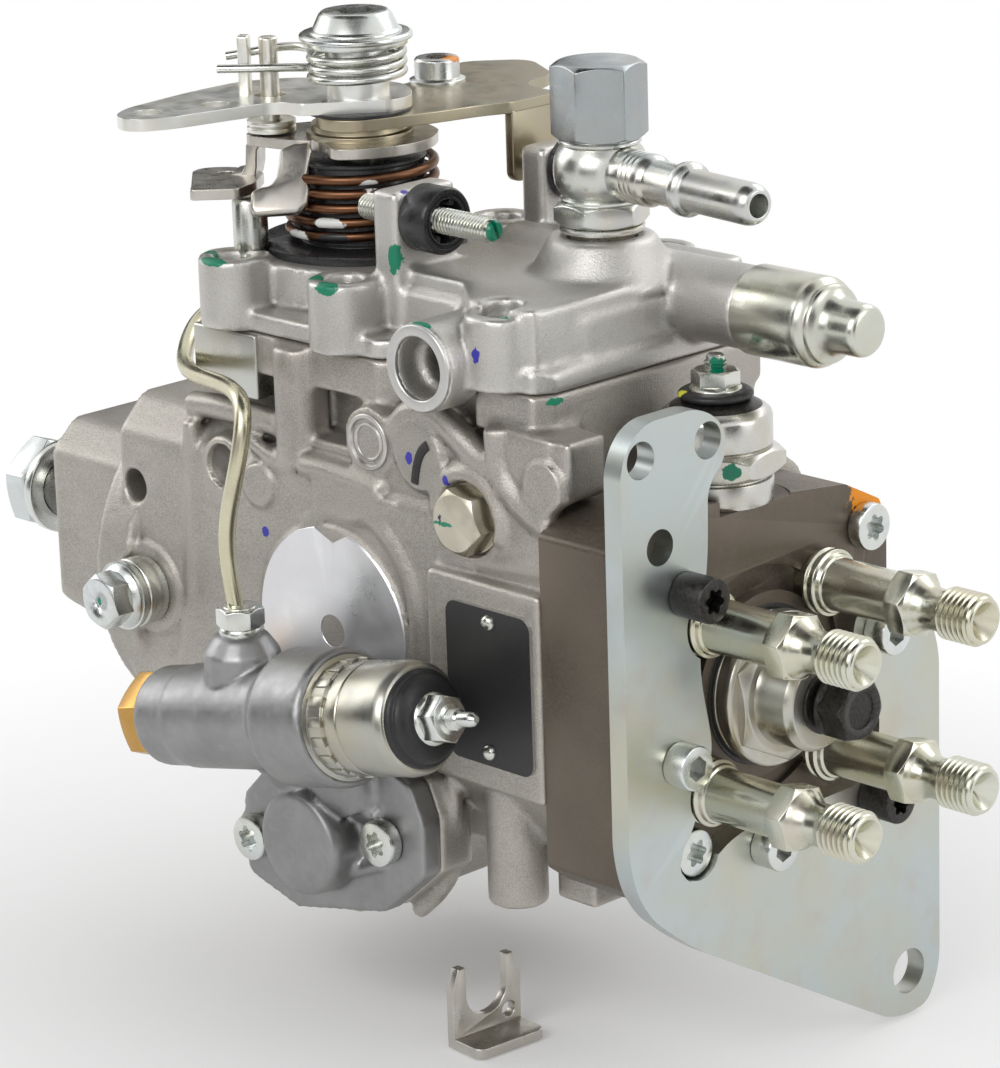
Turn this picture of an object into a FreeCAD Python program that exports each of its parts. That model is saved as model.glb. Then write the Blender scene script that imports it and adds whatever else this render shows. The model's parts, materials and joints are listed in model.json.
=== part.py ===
import FreeCAD, Part
import math
import os
import re
import Sketcher

# Rotary distributor diesel injection pump for a four-cylinder engine.
# X runs along the drive shaft towards the outlets, Z is up and Y points to the plain far side.
# The origin is on the shaft axis, in the flange face that bolts to the engine.

doc = FreeCAD.newDocument("InjectionPump")
sheet = doc.addObject("Spreadsheet::Sheet", "Sizes")

SIZES = [
    # fits
    ("run_gap", 0.05, "radial running clearance"),
    ("free_gap", 0.3, "gap between moving faces that only pass each other"),
    ("hole_gap", 0.1, "radial play of a screw in its hole"),
    ("edge", 0.6, "small chamfers"),
    # drive end
    ("shaft_reach", 48, "threaded end in front of the flange face"),
    ("flange_hole_dia", 6, "tapped holes in the flange face"),
    ("flange_hole_depth", 16, ""),
    ("flange_hole_y", 26, ""),
    ("flange_hole_top", 20, ""),
    ("flange_hole_low", 10, ""),
    ("pilot_dia", 46, "pilot that locates the pump in the timing case"),
    ("pilot_length", 8, ""),
    ("nose_length", 40, "cast nose behind the flange face"),
    ("nose_corner", 13, ""),
    ("rim_radius", 46.5, "round rim behind the nose"),
    ("rim_start", 32, ""),
    ("rim_width", 12, ""),
    ("journal_dia", 20, ""),
    ("taper_small_dia", 15.4, ""),
    ("taper_length", 27, ""),
    ("shaft_thread_dia", 14, ""),
    ("nut_flats", 22, ""),
    ("nut_thickness", 8.6, ""),
    ("washer_dia", 24.4, ""),
    ("washer_thickness", 3, ""),
    ("seal_dia", 30, ""),
    ("seal_depth", 7, ""),
    ("lock_x", 48, "lock bolt from the flange face"),
    ("lock_seat", 43.4, "seat of the lock bolt from the shaft axis"),
    ("lock_spacer_dia", 17, ""),
    ("lock_spacer_length", 8.2, ""),
    ("lock_thread_dia", 8, ""),
    ("lock_flange_dia", 16, ""),
    ("lock_flange_thickness", 2, ""),
    ("lock_flats", 12, ""),
    ("lock_head_height", 5.2, ""),
    ("side_hole_x", 43, "tapped hole in the near side of the nose"),
    ("side_hole_z", 24.5, ""),
    ("side_hole_dia", 8, ""),
    ("side_hole_depth", 14, ""),
    # housing
    ("body_start", 38, ""),
    ("body_end", 184.6, "joint face of the hydraulic head"),
    ("body_half_width", 42, ""),
    ("body_bottom", 46, ""),
    ("body_corner", 16, ""),
    ("chamber_dia", 68, ""),
    ("chamber_start", 78, ""),
    ("tower_left", 66, "upper box that carries the cover"),
    ("tower_right", 181, ""),
    ("tower_near", 30, ""),
    ("tower_far", 32, ""),
    ("tower_wall", 5, ""),
    ("tower_corner", 8, ""),
    ("cover_joint", 69, "height of the cover joint"),
    ("rim_height", 10, "thick rim of the tower under the joint"),
    ("pad_left", 149, "raised label pad"),
    ("pad_bottom", 23, ""),
    ("pad_top", 26, ""),
    ("pad_rise", 3.5, ""),
    ("plate_length", 27.5, "nameplate"),
    ("plate_height", 38.5, ""),
    ("plate_thickness", 0.8, ""),
    ("plate_centre_x", 168.5, ""),
    ("plate_centre_z", 2.8, ""),
    ("dish_x", 114.5, "machined round flat on the near side"),
    ("dish_z", 3, ""),
    ("dish_radius", 25, ""),
    ("foot_width", 12, ""),
    ("foot_drop", 6, ""),
    # timing device
    ("timing_x", 117.5, ""),
    ("timing_drop", 44.7, "axis of the timing piston below the shaft"),
    ("timing_dia", 24, ""),
    ("timing_boss_dia", 40, ""),
    ("timing_half_length", 46, ""),
    ("timing_tilt", 12.2, "tilt of the advance valve casting"),
    ("piston_back", 40, "pressure end of the timing piston"),
    ("piston_front", 16, "spring end of the timing piston"),
    ("timing_stroke", 5, ""),
    ("timing_pin_dia", 6, ""),
    ("timing_ball_dia", 9.6, ""),
    ("timing_spring_dia", 18, ""),
    ("timing_wire", 2.4, ""),
    ("rear_cover_thickness", 6, ""),
    ("screw_span", 22.8, "timing cover screw from the piston axis"),
    # advance valve
    ("valve_y", 65, "valve axis from the shaft plane"),
    ("valve_rise", 32.5, "valve axis above the piston axis, square to the tilt"),
    ("valve_dia", 25.2, ""),
    ("valve_start", 36.2, "left end of the valve from the piston axis"),
    ("collar_dia", 33.6, ""),
    ("collar_start", 5, ""),
    ("collar_end", 23, ""),
    ("valve_flange_thickness", 6, ""),
    ("cap_dia", 25, ""),
    ("cap_face", 58, "face of the timing cap from the shaft plane"),
    ("brass_flats", 19, ""),
    ("brass_length", 7.3, ""),
    ("brass_thread_dia", 14, ""),
    ("brass_thread_length", 10, ""),
    ("can_dia", 26, ""),
    ("can_end", 51, ""),
    ("can_seat_dia", 22, ""),
    ("can_seat_depth", 12, ""),
    ("boot_dia", 21.6, ""),
    ("boot_thickness", 4, ""),
    ("terminal_dia", 5, ""),
    ("terminal_flats", 10, ""),
    ("terminal_flange_dia", 12, ""),
    ("terminal_nut_height", 5.5, ""),
    ("terminal_end", 75.8, ""),
    ("line_boss_dia", 17, ""),
    ("line_dia", 4, ""),
    ("line_nut_flats", 10, ""),
    ("line_nut_height", 6.5, ""),
    # feed pump
    ("feed_start", 60, ""),
    ("feed_width", 14, ""),
    ("feed_ring_dia", 55, ""),
    ("feed_bore_dia", 40, ""),
    ("feed_offset", 2, ""),
    ("feed_rotor_dia", 34, ""),
    ("vane_thickness", 2.5, ""),
    # governor drive
    ("gear_module", 1.5, ""),
    ("gear_teeth", 34, ""),
    ("pinion_teeth", 22, ""),
    ("gear_start", 84, ""),
    ("gear_width", 8, ""),
    ("gear_backlash", 0.35, "half of the tooth play and tip play"),
    # cam drive
    ("ring_dia", 56, "roller ring"),
    ("ring_bore", 37, ""),
    ("ring_width", 15, ""),
    ("ring_start", 108, ""),
    ("land_start", 104, ""),
    ("roller_dia", 12, ""),
    ("roller_length", 7.5, ""),
    ("roller_circle", 23, ""),
    ("roller_proud", 3, ""),
    ("lobe_height", 1.6, ""),
    ("cam_dia", 58, ""),
    ("cam_thickness", 8, ""),
    ("claw_outer_dia", 32, ""),
    ("claw_inner_dia", 16, ""),
    ("claw_thickness", 9, ""),
    ("claw_hub", 5, ""),
    ("disc_start", 107, "cross disc between the claws"),
    ("disc_width", 7, ""),
    ("claw_root", 101, ""),
    ("claw_tip", 121, ""),
    ("plunger_dia", 12, ""),
    ("plunger_foot_dia", 26, ""),
    ("plunger_foot", 4, ""),
    ("plunger_end", 195, ""),
    ("return_offset", 22, "plunger return springs beside the plunger"),
    ("return_dia", 14, ""),
    ("return_wire", 2.4, ""),
    ("sleeve_dia", 24, "control sleeve on the plunger"),
    ("sleeve_start", 150, ""),
    ("sleeve_width", 12, ""),
    ("sleeve_groove", 5, ""),
    # governor
    ("carrier_dia", 34, ""),
    ("carrier_plate", 2.6, ""),
    ("weight_length", 12.4, ""),
    ("weight_inner", 9, ""),
    ("weight_outer", 16.5, ""),
    ("weight_width", 10, ""),
    ("spindle_dia", 8, ""),
    ("spindle_end", 150, ""),
    ("slider_dia", 13, ""),
    ("lever_plane", 154, "near face of the governor lever"),
    ("lever_plate", 4, ""),
    ("lever_pivot_z", 30, ""),
    ("lever_pin_dia", 6, ""),
    ("lever_top", 60, ""),
    ("lever_width", 14, ""),
    ("ball_dia", 4.6, ""),
    # hydraulic head
    ("head_front", 208, ""),
    ("head_corner", 9, ""),
    ("spigot_dia", 60, ""),
    ("spigot_length", 10, ""),
    ("outlet_offset", 19.64, "outlets from the axis, sideways and up"),
    ("outlet_body_dia", 12, ""),
    ("outlet_collar_dia", 15.4, ""),
    ("outlet_collar_end", 215.2, ""),
    ("outlet_hex_start", 233.8, ""),
    ("outlet_hex_end", 239.5, ""),
    ("outlet_flats", 14, ""),
    ("outlet_neck_dia", 9.6, ""),
    ("outlet_thread_start", 247.3, ""),
    ("outlet_thread_dia", 12, ""),
    ("outlet_tip", 257.3, ""),
    ("outlet_root", 10, "length of the union inside the head"),
    ("outlet_bore_dia", 5, ""),
    ("outlet_cone_dia", 8.6, ""),
    ("outlet_cone_depth", 3.6, ""),
    ("delivery_dia", 4.9, ""),
    ("delivery_length", 14, ""),
    ("plug_dia", 36, ""),
    ("plug_face", 218, ""),
    ("plug_neck_dia", 24, ""),
    ("plug_neck_end", 228, ""),
    ("plug_thread_dia", 22, ""),
    ("plug_thread_length", 12, ""),
    ("head_ring_dia", 42.8, ""),
    ("head_ring_height", 2, ""),
    ("head_groove_dia", 54, ""),
    ("head_groove_depth", 1.5, ""),
    ("bolt_flange_dia", 15, ""),
    ("bolt_flats", 13, ""),
    ("bolt_head", 8, ""),
    ("bolt_flange_height", 2.8, ""),
    ("bolt_dia", 8, ""),
    ("bolt_length", 10, ""),
    # line bracket
    ("bracket_thickness", 5, ""),
    ("bracket_low", 94.3, ""),
    ("ear_hole_dia", 8.4, "bracket holes for the line clamps"),
    ("ear_hole_z", 61.4, ""),
    ("ear_hole_near_y", 41.2, ""),
    ("ear_hole_far_y", 20.3, ""),
    ("mid_hole_dia", 8.2, ""),
    ("mid_hole_y", 35.8, ""),
    ("mid_hole_z", 40.8, ""),
    ("low_hole_dia", 11, ""),
    ("low_hole_y", 45.4, ""),
    ("low_hole_z", 82.4, ""),
    ("cap_screw_dia", 6, ""),
    ("cap_head_dia", 10.2, ""),
    ("cap_head_height", 9, ""),
    ("cap_socket_flats", 5, ""),
    # stop solenoid
    ("stop_x", 196.6, ""),
    ("stop_seat", 41, ""),
    ("stop_base_dia", 25.4, ""),
    ("stop_base_top", 47, ""),
    ("stop_flats", 27, ""),
    ("stop_hex_top", 53.6, ""),
    ("stop_can_dia", 25.2, ""),
    ("stop_can_top", 62, ""),
    ("stop_dome_top", 63.6, ""),
    ("stop_boot_dia", 17, ""),
    ("stop_boot_top", 66, ""),
    ("stop_stud_top", 74, ""),
    ("stop_thread_dia", 22, ""),
    ("stop_thread_depth", 10, ""),
    ("armature_dia", 7, ""),
    ("armature_stroke", 2, ""),
    ("armature_length", 22, ""),
    # governor cover
    ("cover_left", 68.5, ""),
    ("cover_right", 181, ""),
    ("cover_flange", 5, ""),
    ("cover_wall", 5, ""),
    ("deck_height", 84, "top of the lever boss"),
    ("deck_radius", 28, ""),
    ("ear_height", 86, ""),
    ("ear_radius", 8.5, ""),
    ("ear_near_y", 36, ""),
    ("ear_first_x", 77.5, ""),
    ("ear_second_x", 115.4, ""),
    ("post_x", 166.7, ""),
    ("ear_far_y", 31.5, ""),
    ("ear_sink", 7, "depth of the screw seat below the ear's top"),
    ("cover_screw_dia", 5, ""),
    ("cover_head_dia", 8.5, ""),
    ("cover_head_height", 5, ""),
    ("cover_socket", 4, ""),
    ("far_first_x", 98, ""),
    ("far_second_x", 150, ""),
    ("roof_left", 122, ""),
    ("roof_height", 88, ""),
    ("port_x", 153.9, ""),
    ("port_z", 73.7, ""),
    ("port_dia", 20.6, ""),
    ("port_bore", 10.4, ""),
    ("port_counterbore", 14, ""),
    ("port_counterbore_depth", 7, ""),
    ("port_face", 50, ""),
    ("lug_left", 120, "upright lug of the front stop screw"),
    ("lug_right", 128, ""),
    ("lug_near", 31, ""),
    ("lug_far", 12, ""),
    ("lug_top", 106, ""),
    ("rear_lug_left", 116, ""),
    ("rear_lug_right", 124, ""),
    ("rear_lug_near", 20, ""),
    ("rear_lug_far", 38, ""),
    ("stop_screw_y", 22.5, ""),
    ("stop_screw_z", 99.3, ""),
    ("rear_screw_y", 29, ""),
    ("rear_screw_z", 101.5, ""),
    ("stop_screw_dia", 6, ""),
    ("stop_screw_tip", 108.5, ""),
    ("stop_screw_end", 151.8, ""),
    ("rear_screw_tip", 110.5, ""),
    ("rear_screw_end", 142, ""),
    ("ring_cap_dia", 15.5, ""),
    ("ring_cap_bore", 10, ""),
    ("ring_cap_length", 8, ""),
    ("load_y", 12, "full-load screw boss"),
    ("load_z", 82, ""),
    ("load_boss_dia", 19, ""),
    ("load_boss_end", 198.8, ""),
    ("load_cap_dia", 20.5, ""),
    ("load_cap_end", 221.6, ""),
    ("load_nose_dia", 12, ""),
    ("load_nose_start", 226, ""),
    ("load_tip", 231.4, ""),
    # inlet banjo
    ("inlet_x", 162.6, ""),
    ("inlet_boss_top", 97.4, ""),
    ("inlet_boss_dia", 24, ""),
    ("inlet_cone_dia", 36, ""),
    ("inlet_flats", 19, ""),
    ("adapter_ring_top", 98.8, ""),
    ("adapter_top", 104, ""),
    ("seal_thickness", 1, ""),
    ("eye_height", 12.2, ""),
    ("eye_dia", 21.4, ""),
    ("eye_face_dia", 17.5, ""),
    ("inlet_bolt_dia", 12, ""),
    ("cap_nut_height", 17.4, ""),
    ("nipple_turn", 7, "nipple turned towards the near side"),
    ("nipple_length", 54.2, ""),
    ("nipple_root_dia", 11.9, ""),
    ("nipple_mid_dia", 9.7, ""),
    ("nipple_bead_dia", 12.2, ""),
    ("nipple_hose_dia", 9.5, ""),
    ("nipple_bore", 5.3, ""),
    # control lever stack
    ("lever_x", 87.5, "vertical axis of the control lever"),
    ("lever_y", 4, "near side of the shaft plane"),
    ("control_dia", 10, ""),
    ("control_low", 70, ""),
    ("base_radius", 24.5, ""),
    ("base_thickness", 2, ""),
    ("bush_dia", 30, ""),
    ("bush_top", 105.6, ""),
    ("coil_dia", 37, ""),
    ("coil_wire", 2.45, ""),
    ("coil_turns", 5, ""),
    ("coil_steps", 12, "straight pieces in one turn of a spring"),
    ("coil_sides", 6, "flat sides round the wire"),
    ("tube_steps", 34, "straight pieces of the bent tube"),
    ("tube_sides", 8, ""),
    ("lower_plate_bottom", 106, ""),
    ("lower_plate_top", 108.8, ""),
    ("gold_bottom", 108.8, ""),
    ("gold_top", 112, ""),
    ("lever_bottom", 114.8, ""),
    ("lever_top_face", 118.6, ""),
    ("sleeve_neck_dia", 14.8, ""),
    ("spring_low", 121.6, ""),
    ("spring_high", 131.2, ""),
    ("spring_dia", 24.5, ""),
    ("spring_wire", 1.9, ""),
    ("disc_dia", 26.6, ""),
    ("disc_bottom", 131.6, ""),
    ("disc_top", 134.6, ""),
    ("nut_top", 139.6, ""),
    ("nut_low_dia", 20, ""),
    ("nut_top_dia", 18, ""),
    ("nut_socket", 8, ""),
    ("lever_hole_dia", 8, ""),
    ("pin_x", 63.3, ""),
    ("pin_y", 11, ""),
    ("pin_dia", 5.5, ""),
    ("pin_top", 131, ""),
    ("carrier_low", 98.6, ""),
    ("carrier_thickness", 3, ""),
    ("collar_screw_dia", 12, ""),
    ("anchor_post_dia", 8.3, ""),
    ("anchor_post_x", 75.5, ""),
    ("anchor_post_y", 27, ""),
    ("anchor_post_top", 95, ""),
    ("torx_head_dia", 11, ""),
    ("torx_head_height", 3.8, ""),
    ("torx_socket", 5, ""),
    ("inlet_thread_dia", 16, "adapter thread in the inlet boss"),
    ("inlet_depth", 12, ""),
    ("load_thread_dia", 10, ""),
    ("line_boss_height", 17, "cone boss above the valve axis"),
    ("line_along", 1, "line boss along the valve from the piston axis"),
    ("spring_room", 4, "depth of the spring pocket in the timing cap"),
    ("timing_nose", 3, ""),
    ("timing_pitch", 5.75, ""),
    ("carrier_out", 26.5, ""),
    ("carrier_in", 21.5, ""),
    ("carrier_near", 13, ""),
    ("tab_left", 6, ""),
    ("tab_right", 4, ""),
    ("tab_near", 23.5, ""),
    ("tab_low", 90, ""),
    ("gold_tab_low", 95, ""),
    ("gold_screw_x", 11, ""),
    ("gold_screw_y", 34, ""),
    ("eye_x", 33.1, ""),
    ("eye_y", 36.5, ""),
    ("slot_x", 27.9, ""),
    ("slot_y", 20.1, ""),
    # loose forked spacer
    ("fork_x", 147.5, ""),
    ("fork_y", 40.2, ""),
    ("fork_floor", 93.6, ""),
    ("fork_turn", 85.4, "how far the fork is turned from the shaft axis"),
    ("fork_thickness", 2.6, ""),
    ("fork_width", 20.3, ""),
    ("fork_height", 19.6, ""),
    ("fork_gap", 12.2, ""),
    ("fork_depth", 13.2, "from the tips to the root of the mouth"),
    ("fork_taper", 1.9, "how far the tips lean in"),
    ("fork_foot", 9.2, ""),
    ("fork_corner", 2.5, ""),
    ("fork_hole", 3.7, ""),
]

# Outlines measured as corner points; the two numbers are the two directions of the plane.
OUTLINES = {
    "nose": [(-33, -14), (-20, -24), (18, -24), (31, -12), (31, 24), (22, 31), (-25, 31), (-33, 24)],
    "flank": [(-42, -24), (-26, -46), (30, -46), (42, -30), (42, 36), (30, 46), (-34, 46), (-42, 38)],
    "head": [(-44.5, -37), (-38, -42), (36, -42), (44, -31), (44, 28), (41.5, 33.4), (30, 39.3), (-15, 44.8),
             (-34, 45.5), (-44.5, 40)],
    "bracket": [(-47.5, -30), (-47.5, 62), (-41, 69.3), (-22, 69.3), (-14.2, 63), (-15, 56), (-20.5, 51),
                (-20.9, 34.5), (-23.6, 19.2), (-23.9, 8.5), (-20, -10), (-25.3,
                                                                         -22.6), (-32, -34.2), (-28, -39.2), (-12.8, -31),
                (30.2, -31), (36.1, -20.8), (34, -8.5), (26, 3), (28, 11), (36, 13), (50, 9), (56.6, -4),
                (56.6, -85), (52, -92.5), (40.7, -93.6), (-28.2, -54), (-42.7, -42)],
    "flange": [(-30, -9), (-26, 10), (-12, 19), (20, 22), (34, 13), (36, 4), (33, -9), (17, -17.5),
               (-14, -17.5)],
    "cover": [(68.5, -30), (74, -39), (128, -39), (134, -34), (158, -34), (160, -39), (178, -39), (181, -34),
              (181, 32), (176, 36), (74, 36), (68.5, 30)],
    "roof": [(118, -28), (146, -28), (158, -38), (178, -38), (179, -28), (179, 30), (118, 30)],
    "lever": [(-27, -51.6), (-6.7, -11.9), (6, -13.5), (14.5, -4), (13, 8), (-3.6, 20.2), (-34.5, 15.8),
              (-46.5, 3.8), (-44.5, -36.4), (-37, -49)],
    "gold": [(-12, -6), (-2.5, -13), (9, -10), (13, 2), (10, 14), (22.7, 20), (22.7, 36), (8, 42), (6, 59),
             (-12.5, 70), (-25.5, 56), (-16, 40), (-13, 10)],
    "lower": [(-27, -14), (-18, -19), (-6, -24), (4, -24), (9, -14), (14, 0), (8, 14), (-6, 15), (-16, 8),
              (-27, 0)],
    "headscrew": [(35.8, 28.5), (-24.9, -32.8)],
    "longscrew": [(-28.5, 28.7), (32.7, -34.6)],
    "shortscrew": [(-31.5, -9.5), (-3.8, -36.3), (35.1, 4.8)],
    "arm": [(-40, -12), (-30, -30), (-24, -32), (-19, -24), (-21, -10), (-22, -1), (-36, -2)],
}
for outline, corners in OUTLINES.items():
    for number, (across, along) in enumerate(corners, start=1):
        SIZES.append(("%s_a%d" % (outline, number), across, ""))
        SIZES.append(("%s_b%d" % (outline, number), along, ""))

# Centre line of the steel tube from the housing to the advance valve.
TUBE = [(65.7, -10, 62), (60, -10.3, 62.6), (53, -14, 65), (50.9, -21, 66), (52, -27, 63.2), (57, -34, 60.8),
        (64.5, -42, 58.6), (72, -46, 58.4), (82, -50, 59.6), (93.5, -54, 60.9), (102.3, -58, 61.3),
        (107.3, -61, 59.8), (109.4, -63.3, 55), (108.2, -65.2, 45), (104.6, -65.6, 33), (104.5, -65.3, 22),
        (105.6, -65, 15), (107, -65, 9)]
for number, spot in enumerate(TUBE, start=1):
    for letter, reach in zip("xyz", spot):
        SIZES.append(("tube_%s%d" % (letter, number), reach, ""))

aliases = []
for row, (alias, number, note) in enumerate(SIZES, start=1):
    sheet.set("A%d" % row, alias)
    sheet.set("B%d" % row, str(number))
    sheet.set("C%d" % row, note)
    sheet.setAlias("B%d" % row, alias)
    aliases.append(alias)
doc.recompute()

size = {alias: float(sheet.get(alias)) for alias in aliases}
word = re.compile(r"[a-z][a-z0-9_]*")
GOVERNOR_AXIS = "gear_module * (gear_teeth + pinion_teeth) / 2"
X_AXIS = FreeCAD.Vector(1, 0, 0)
Y_AXIS = FreeCAD.Vector(0, 1, 0)
Z_AXIS = FreeCAD.Vector(0, 0, 1)
ORIGIN = FreeCAD.Vector(0, 0, 0)
ALONG_X = FreeCAD.Rotation()
ALONG_Y = FreeCAD.Rotation(Z_AXIS, 90)
TO_NEAR = FreeCAD.Rotation(Z_AXIS, -90)
UPRIGHT = FreeCAD.Rotation(Y_AXIS, -90)
UP_TO_X = FreeCAD.Rotation(Y_AXIS, 90)
UP_TO_NEAR = FreeCAD.Rotation(X_AXIS, 90)
tilt = math.radians(size["timing_tilt"])
ALONG_VALVE = FreeCAD.Rotation(Y_AXIS, -size["timing_tilt"])


def bound(text):
    """An expression with every size name pointing into the sheet."""
    return word.sub(lambda m: "Sizes." + m.group(0) if m.group(0) in size else m.group(0), str(text))


def value(text):
    """The number that an expression of sizes gives now."""
    return float(sheet.evalExpression(bound(text)))


def corners_of(outline):
    """The bound corner points of a measured outline."""
    count = len(OUTLINES[outline])
    return [("%s_a%d" % (outline, i), "%s_b%d" % (outline, i)) for i in range(1, count + 1)]


def bind(thing, prop, text):
    thing.setExpression(prop, bound(text))


def place(thing, where=("0", "0", "0"), turn=ALONG_X):
    """Put a piece at three bound coordinates, turned by a fixed rotation."""
    thing.Placement = FreeCAD.Placement(FreeCAD.Vector(*[value(w) for w in where]), turn)
    for axis, text in zip("xyz", where):
        bind(thing, "Placement.Base." + axis, text)
    return thing


def made(kind, name, sizes, where=("0", "0", "0"), turn=ALONG_X):
    """A Part primitive whose sizes are bound to the sheet."""
    thing = doc.addObject("Part::" + kind, name)
    for prop, text in sizes.items():
        bind(thing, prop, text)
    return place(thing, where, turn)


def box(name, low, high):
    """A block between two corners, each given as three expressions."""
    spans = ["(%s) - (%s)" % (b, a) for a, b in zip(low, high)]
    return made("Box", name, dict(zip(("Length", "Width", "Height"), spans)), low)


def rod(name, radius, length, where, turn=UPRIGHT):
    """A cylinder that starts at a point; by default it stands up."""
    turned_up = turn.multiply(UP_TO_X)
    return made("Cylinder", name, {"Radius": radius, "Height": length}, where, turned_up)


def hexagon(name, flats, length, where, turn=UPRIGHT, spin=0):
    """A hexagon bar across its flats, with both ends chamfered by a turned barrel."""
    turned_up = turn.multiply(UP_TO_X).multiply(FreeCAD.Rotation(Z_AXIS, spin))
    bar = made("Prism", name + "_bar", {"Circumradius": "(%s) / sqrt(3)" % flats, "Height": length},
               where, turned_up)
    bar.Polygon = 6
    corner = "(%s) / sqrt(3)" % flats
    barrel = turned(name + "_barrel", [
        ("0", "0"), ("0", "%s * 0.9" % corner), ("%s * 0.06" % corner, "%s * 1.01" % corner),
        ("(%s) - %s * 0.06" % (length, corner), "%s * 1.01" % corner),
        (length, "%s * 0.9" % corner), (length, "0")], where, turn)
    return common(name, bar, barrel)


def origin_plane(body, role):
    return next(f for f in body.Origin.OriginFeatures if f.Role == role)


def outline_sketch(body, role, points):
    """A closed outline of straight lines with every corner bound to the sheet."""
    sketch = body.newObject("Sketcher::SketchObject", body.Name + "_outline")
    sketch.AttachmentSupport = (origin_plane(body, role), [""])
    sketch.MapMode = "FlatFace"
    spots = [FreeCAD.Vector(value(a), value(b), 0) for a, b in points]
    lines = [Part.LineSegment(spots[i], spots[(i + 1) % len(spots)]) for i in range(len(spots))]
    sketch.addGeometry(lines, False)
    rules = [Sketcher.Constraint("Coincident", i, 2, (i + 1) % len(spots), 1) for i in range(len(spots))]
    drives = []
    for i, (a, b) in enumerate(points):
        if a == "0":
            rules.append(Sketcher.Constraint("PointOnObject", i, 1, -2))
        else:
            drives.append((len(rules), a))
            rules.append(Sketcher.Constraint("DistanceX", -1, 1, i, 1, spots[i].x))
        if b == "0":
            rules.append(Sketcher.Constraint("PointOnObject", i, 1, -1))
        else:
            drives.append((len(rules), b))
            rules.append(Sketcher.Constraint("DistanceY", -1, 1, i, 1, spots[i].y))
    sketch.addConstraint(rules)
    for index, text in drives:
        bind(sketch, "Constraints[%d]" % index, text)
    return sketch


def turned(name, points, where=("0", "0", "0"), turn=ALONG_X):
    """A piece turned about its own X axis from (along, radius) corners."""
    body = doc.addObject("PartDesign::Body", name)
    sketch = outline_sketch(body, "XY_Plane", points)
    spin = body.newObject("PartDesign::Revolution", name + "_turn")
    spin.Profile = sketch
    spin.ReferenceAxis = (sketch, ["H_Axis"])
    spin.Angle = 360
    return place(body, where, turn)


def padded(name, role, points, length, where=("0", "0", "0"), turn=ALONG_X, round_edges=None):
    """A plate or block pushed out of an outline, its upright edges rounded if asked."""
    body = doc.addObject("PartDesign::Body", name)
    sketch = outline_sketch(body, role, points)
    pad = body.newObject("PartDesign::Pad", name + "_pad")
    pad.Profile = sketch
    bind(pad, "Length", length)
    if round_edges:
        doc.recompute()
        normal = {"XY_Plane": Z_AXIS, "XZ_Plane": Y_AXIS, "YZ_Plane": X_AXIS}[role]
        names = []
        for number, edge in enumerate(pad.Shape.Edges, start=1):
            run = edge.Vertexes[-1].Point - edge.Vertexes[0].Point
            if run.Length > 0 and abs(run.normalize().dot(normal)) > 0.999:
                names.append("Edge%d" % number)
        fillet = body.newObject("PartDesign::Fillet", name + "_rounds")
        fillet.Base = (pad, names)
        bind(fillet, "Radius", round_edges)
    return place(body, where, turn)


def joined(name, pieces):
    thing = doc.addObject("Part::MultiFuse", name)
    thing.Shapes = pieces
    return thing


def cut(name, base, tools):
    thing = doc.addObject("Part::Cut", name)
    thing.Base = base
    thing.Tool = tools[0] if len(tools) == 1 else joined(name + "_tools", tools)
    return thing


def cut_in_turn(name, base, tools):
    """The same cut made one tool at a time."""
    for number, tool in enumerate(tools[:-1], start=1):
        base = cut("%s_step_%d" % (name, number), base, [tool])
    return cut(name, base, tools[-1:])


def common(name, first, second):
    thing = doc.addObject("Part::Common", name)
    thing.Base = first
    thing.Tool = second
    return thing


def group(name, pieces):
    """Several separate solids that share one node."""
    thing = doc.addObject("Part::Compound", name)
    thing.Links = pieces
    return thing


def faceted_rod(spots, radius, sides):
    """A round bar with flat sides along a line of points, as a closed solid."""
    rings = []
    side = None
    for number, spot in enumerate(spots):
        ahead = spots[min(number + 1, len(spots) - 1)] - spots[max(number - 1, 0)]
        ahead.normalize()
        if side is None:
            side = ahead.cross(Z_AXIS if abs(ahead.z) < abs(ahead.x) + abs(ahead.y) else X_AXIS)
        side = side - ahead * side.dot(ahead)
        side.normalize()
        other = ahead.cross(side)
        turns = [2 * math.pi * k / sides for k in range(sides)]
        rings.append([spot + side * (radius * math.cos(t)) + other * (radius * math.sin(t)) for t in turns])
    faces = []
    for first, second in zip(rings, rings[1:]):
        for k in range(sides):
            after = (k + 1) % sides
            faces.append(Part.Face(Part.makePolygon([first[k], first[after], second[after], first[k]])))
            faces.append(Part.Face(Part.makePolygon([first[k], second[after], second[k], first[k]])))
    for ring in (rings[0], rings[-1]):
        middle = sum(ring, FreeCAD.Vector()) * (1 / sides)
        for k in range(sides):
            faces.append(Part.Face(Part.makePolygon([middle, ring[k], ring[(k + 1) % sides], middle])))
    shell = Part.Shell(faces)
    shell.sewShape()
    solid = Part.Solid(shell)
    if solid.Volume < 0:
        solid.reverse()
    return solid


def coil(name, wire, mean, pitch, height, where, turn):
    """A round-wire spring with open ends, drawn with flat sides."""
    thin, wide, rise, tall = value(wire), value(mean), value(pitch), value(height)
    count = int(size["coil_steps"] * tall / rise)
    turns = [2 * math.pi * tall / rise * k / count for k in range(count + 1)]
    spots = [FreeCAD.Vector(wide * math.cos(t), wide * math.sin(t), rise * t / (2 * math.pi)) for t in turns]
    thing = doc.addObject("Part::Feature", name)
    thing.Shape = faceted_rod(spots, thin, int(size["coil_sides"]))
    return place(thing, where, turn)


nodes = []


def keep(thing, name):
    """Mark a finished sub-part; its label names its file."""
    thing.Label = name
    nodes.append(thing)
    return thing


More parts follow.
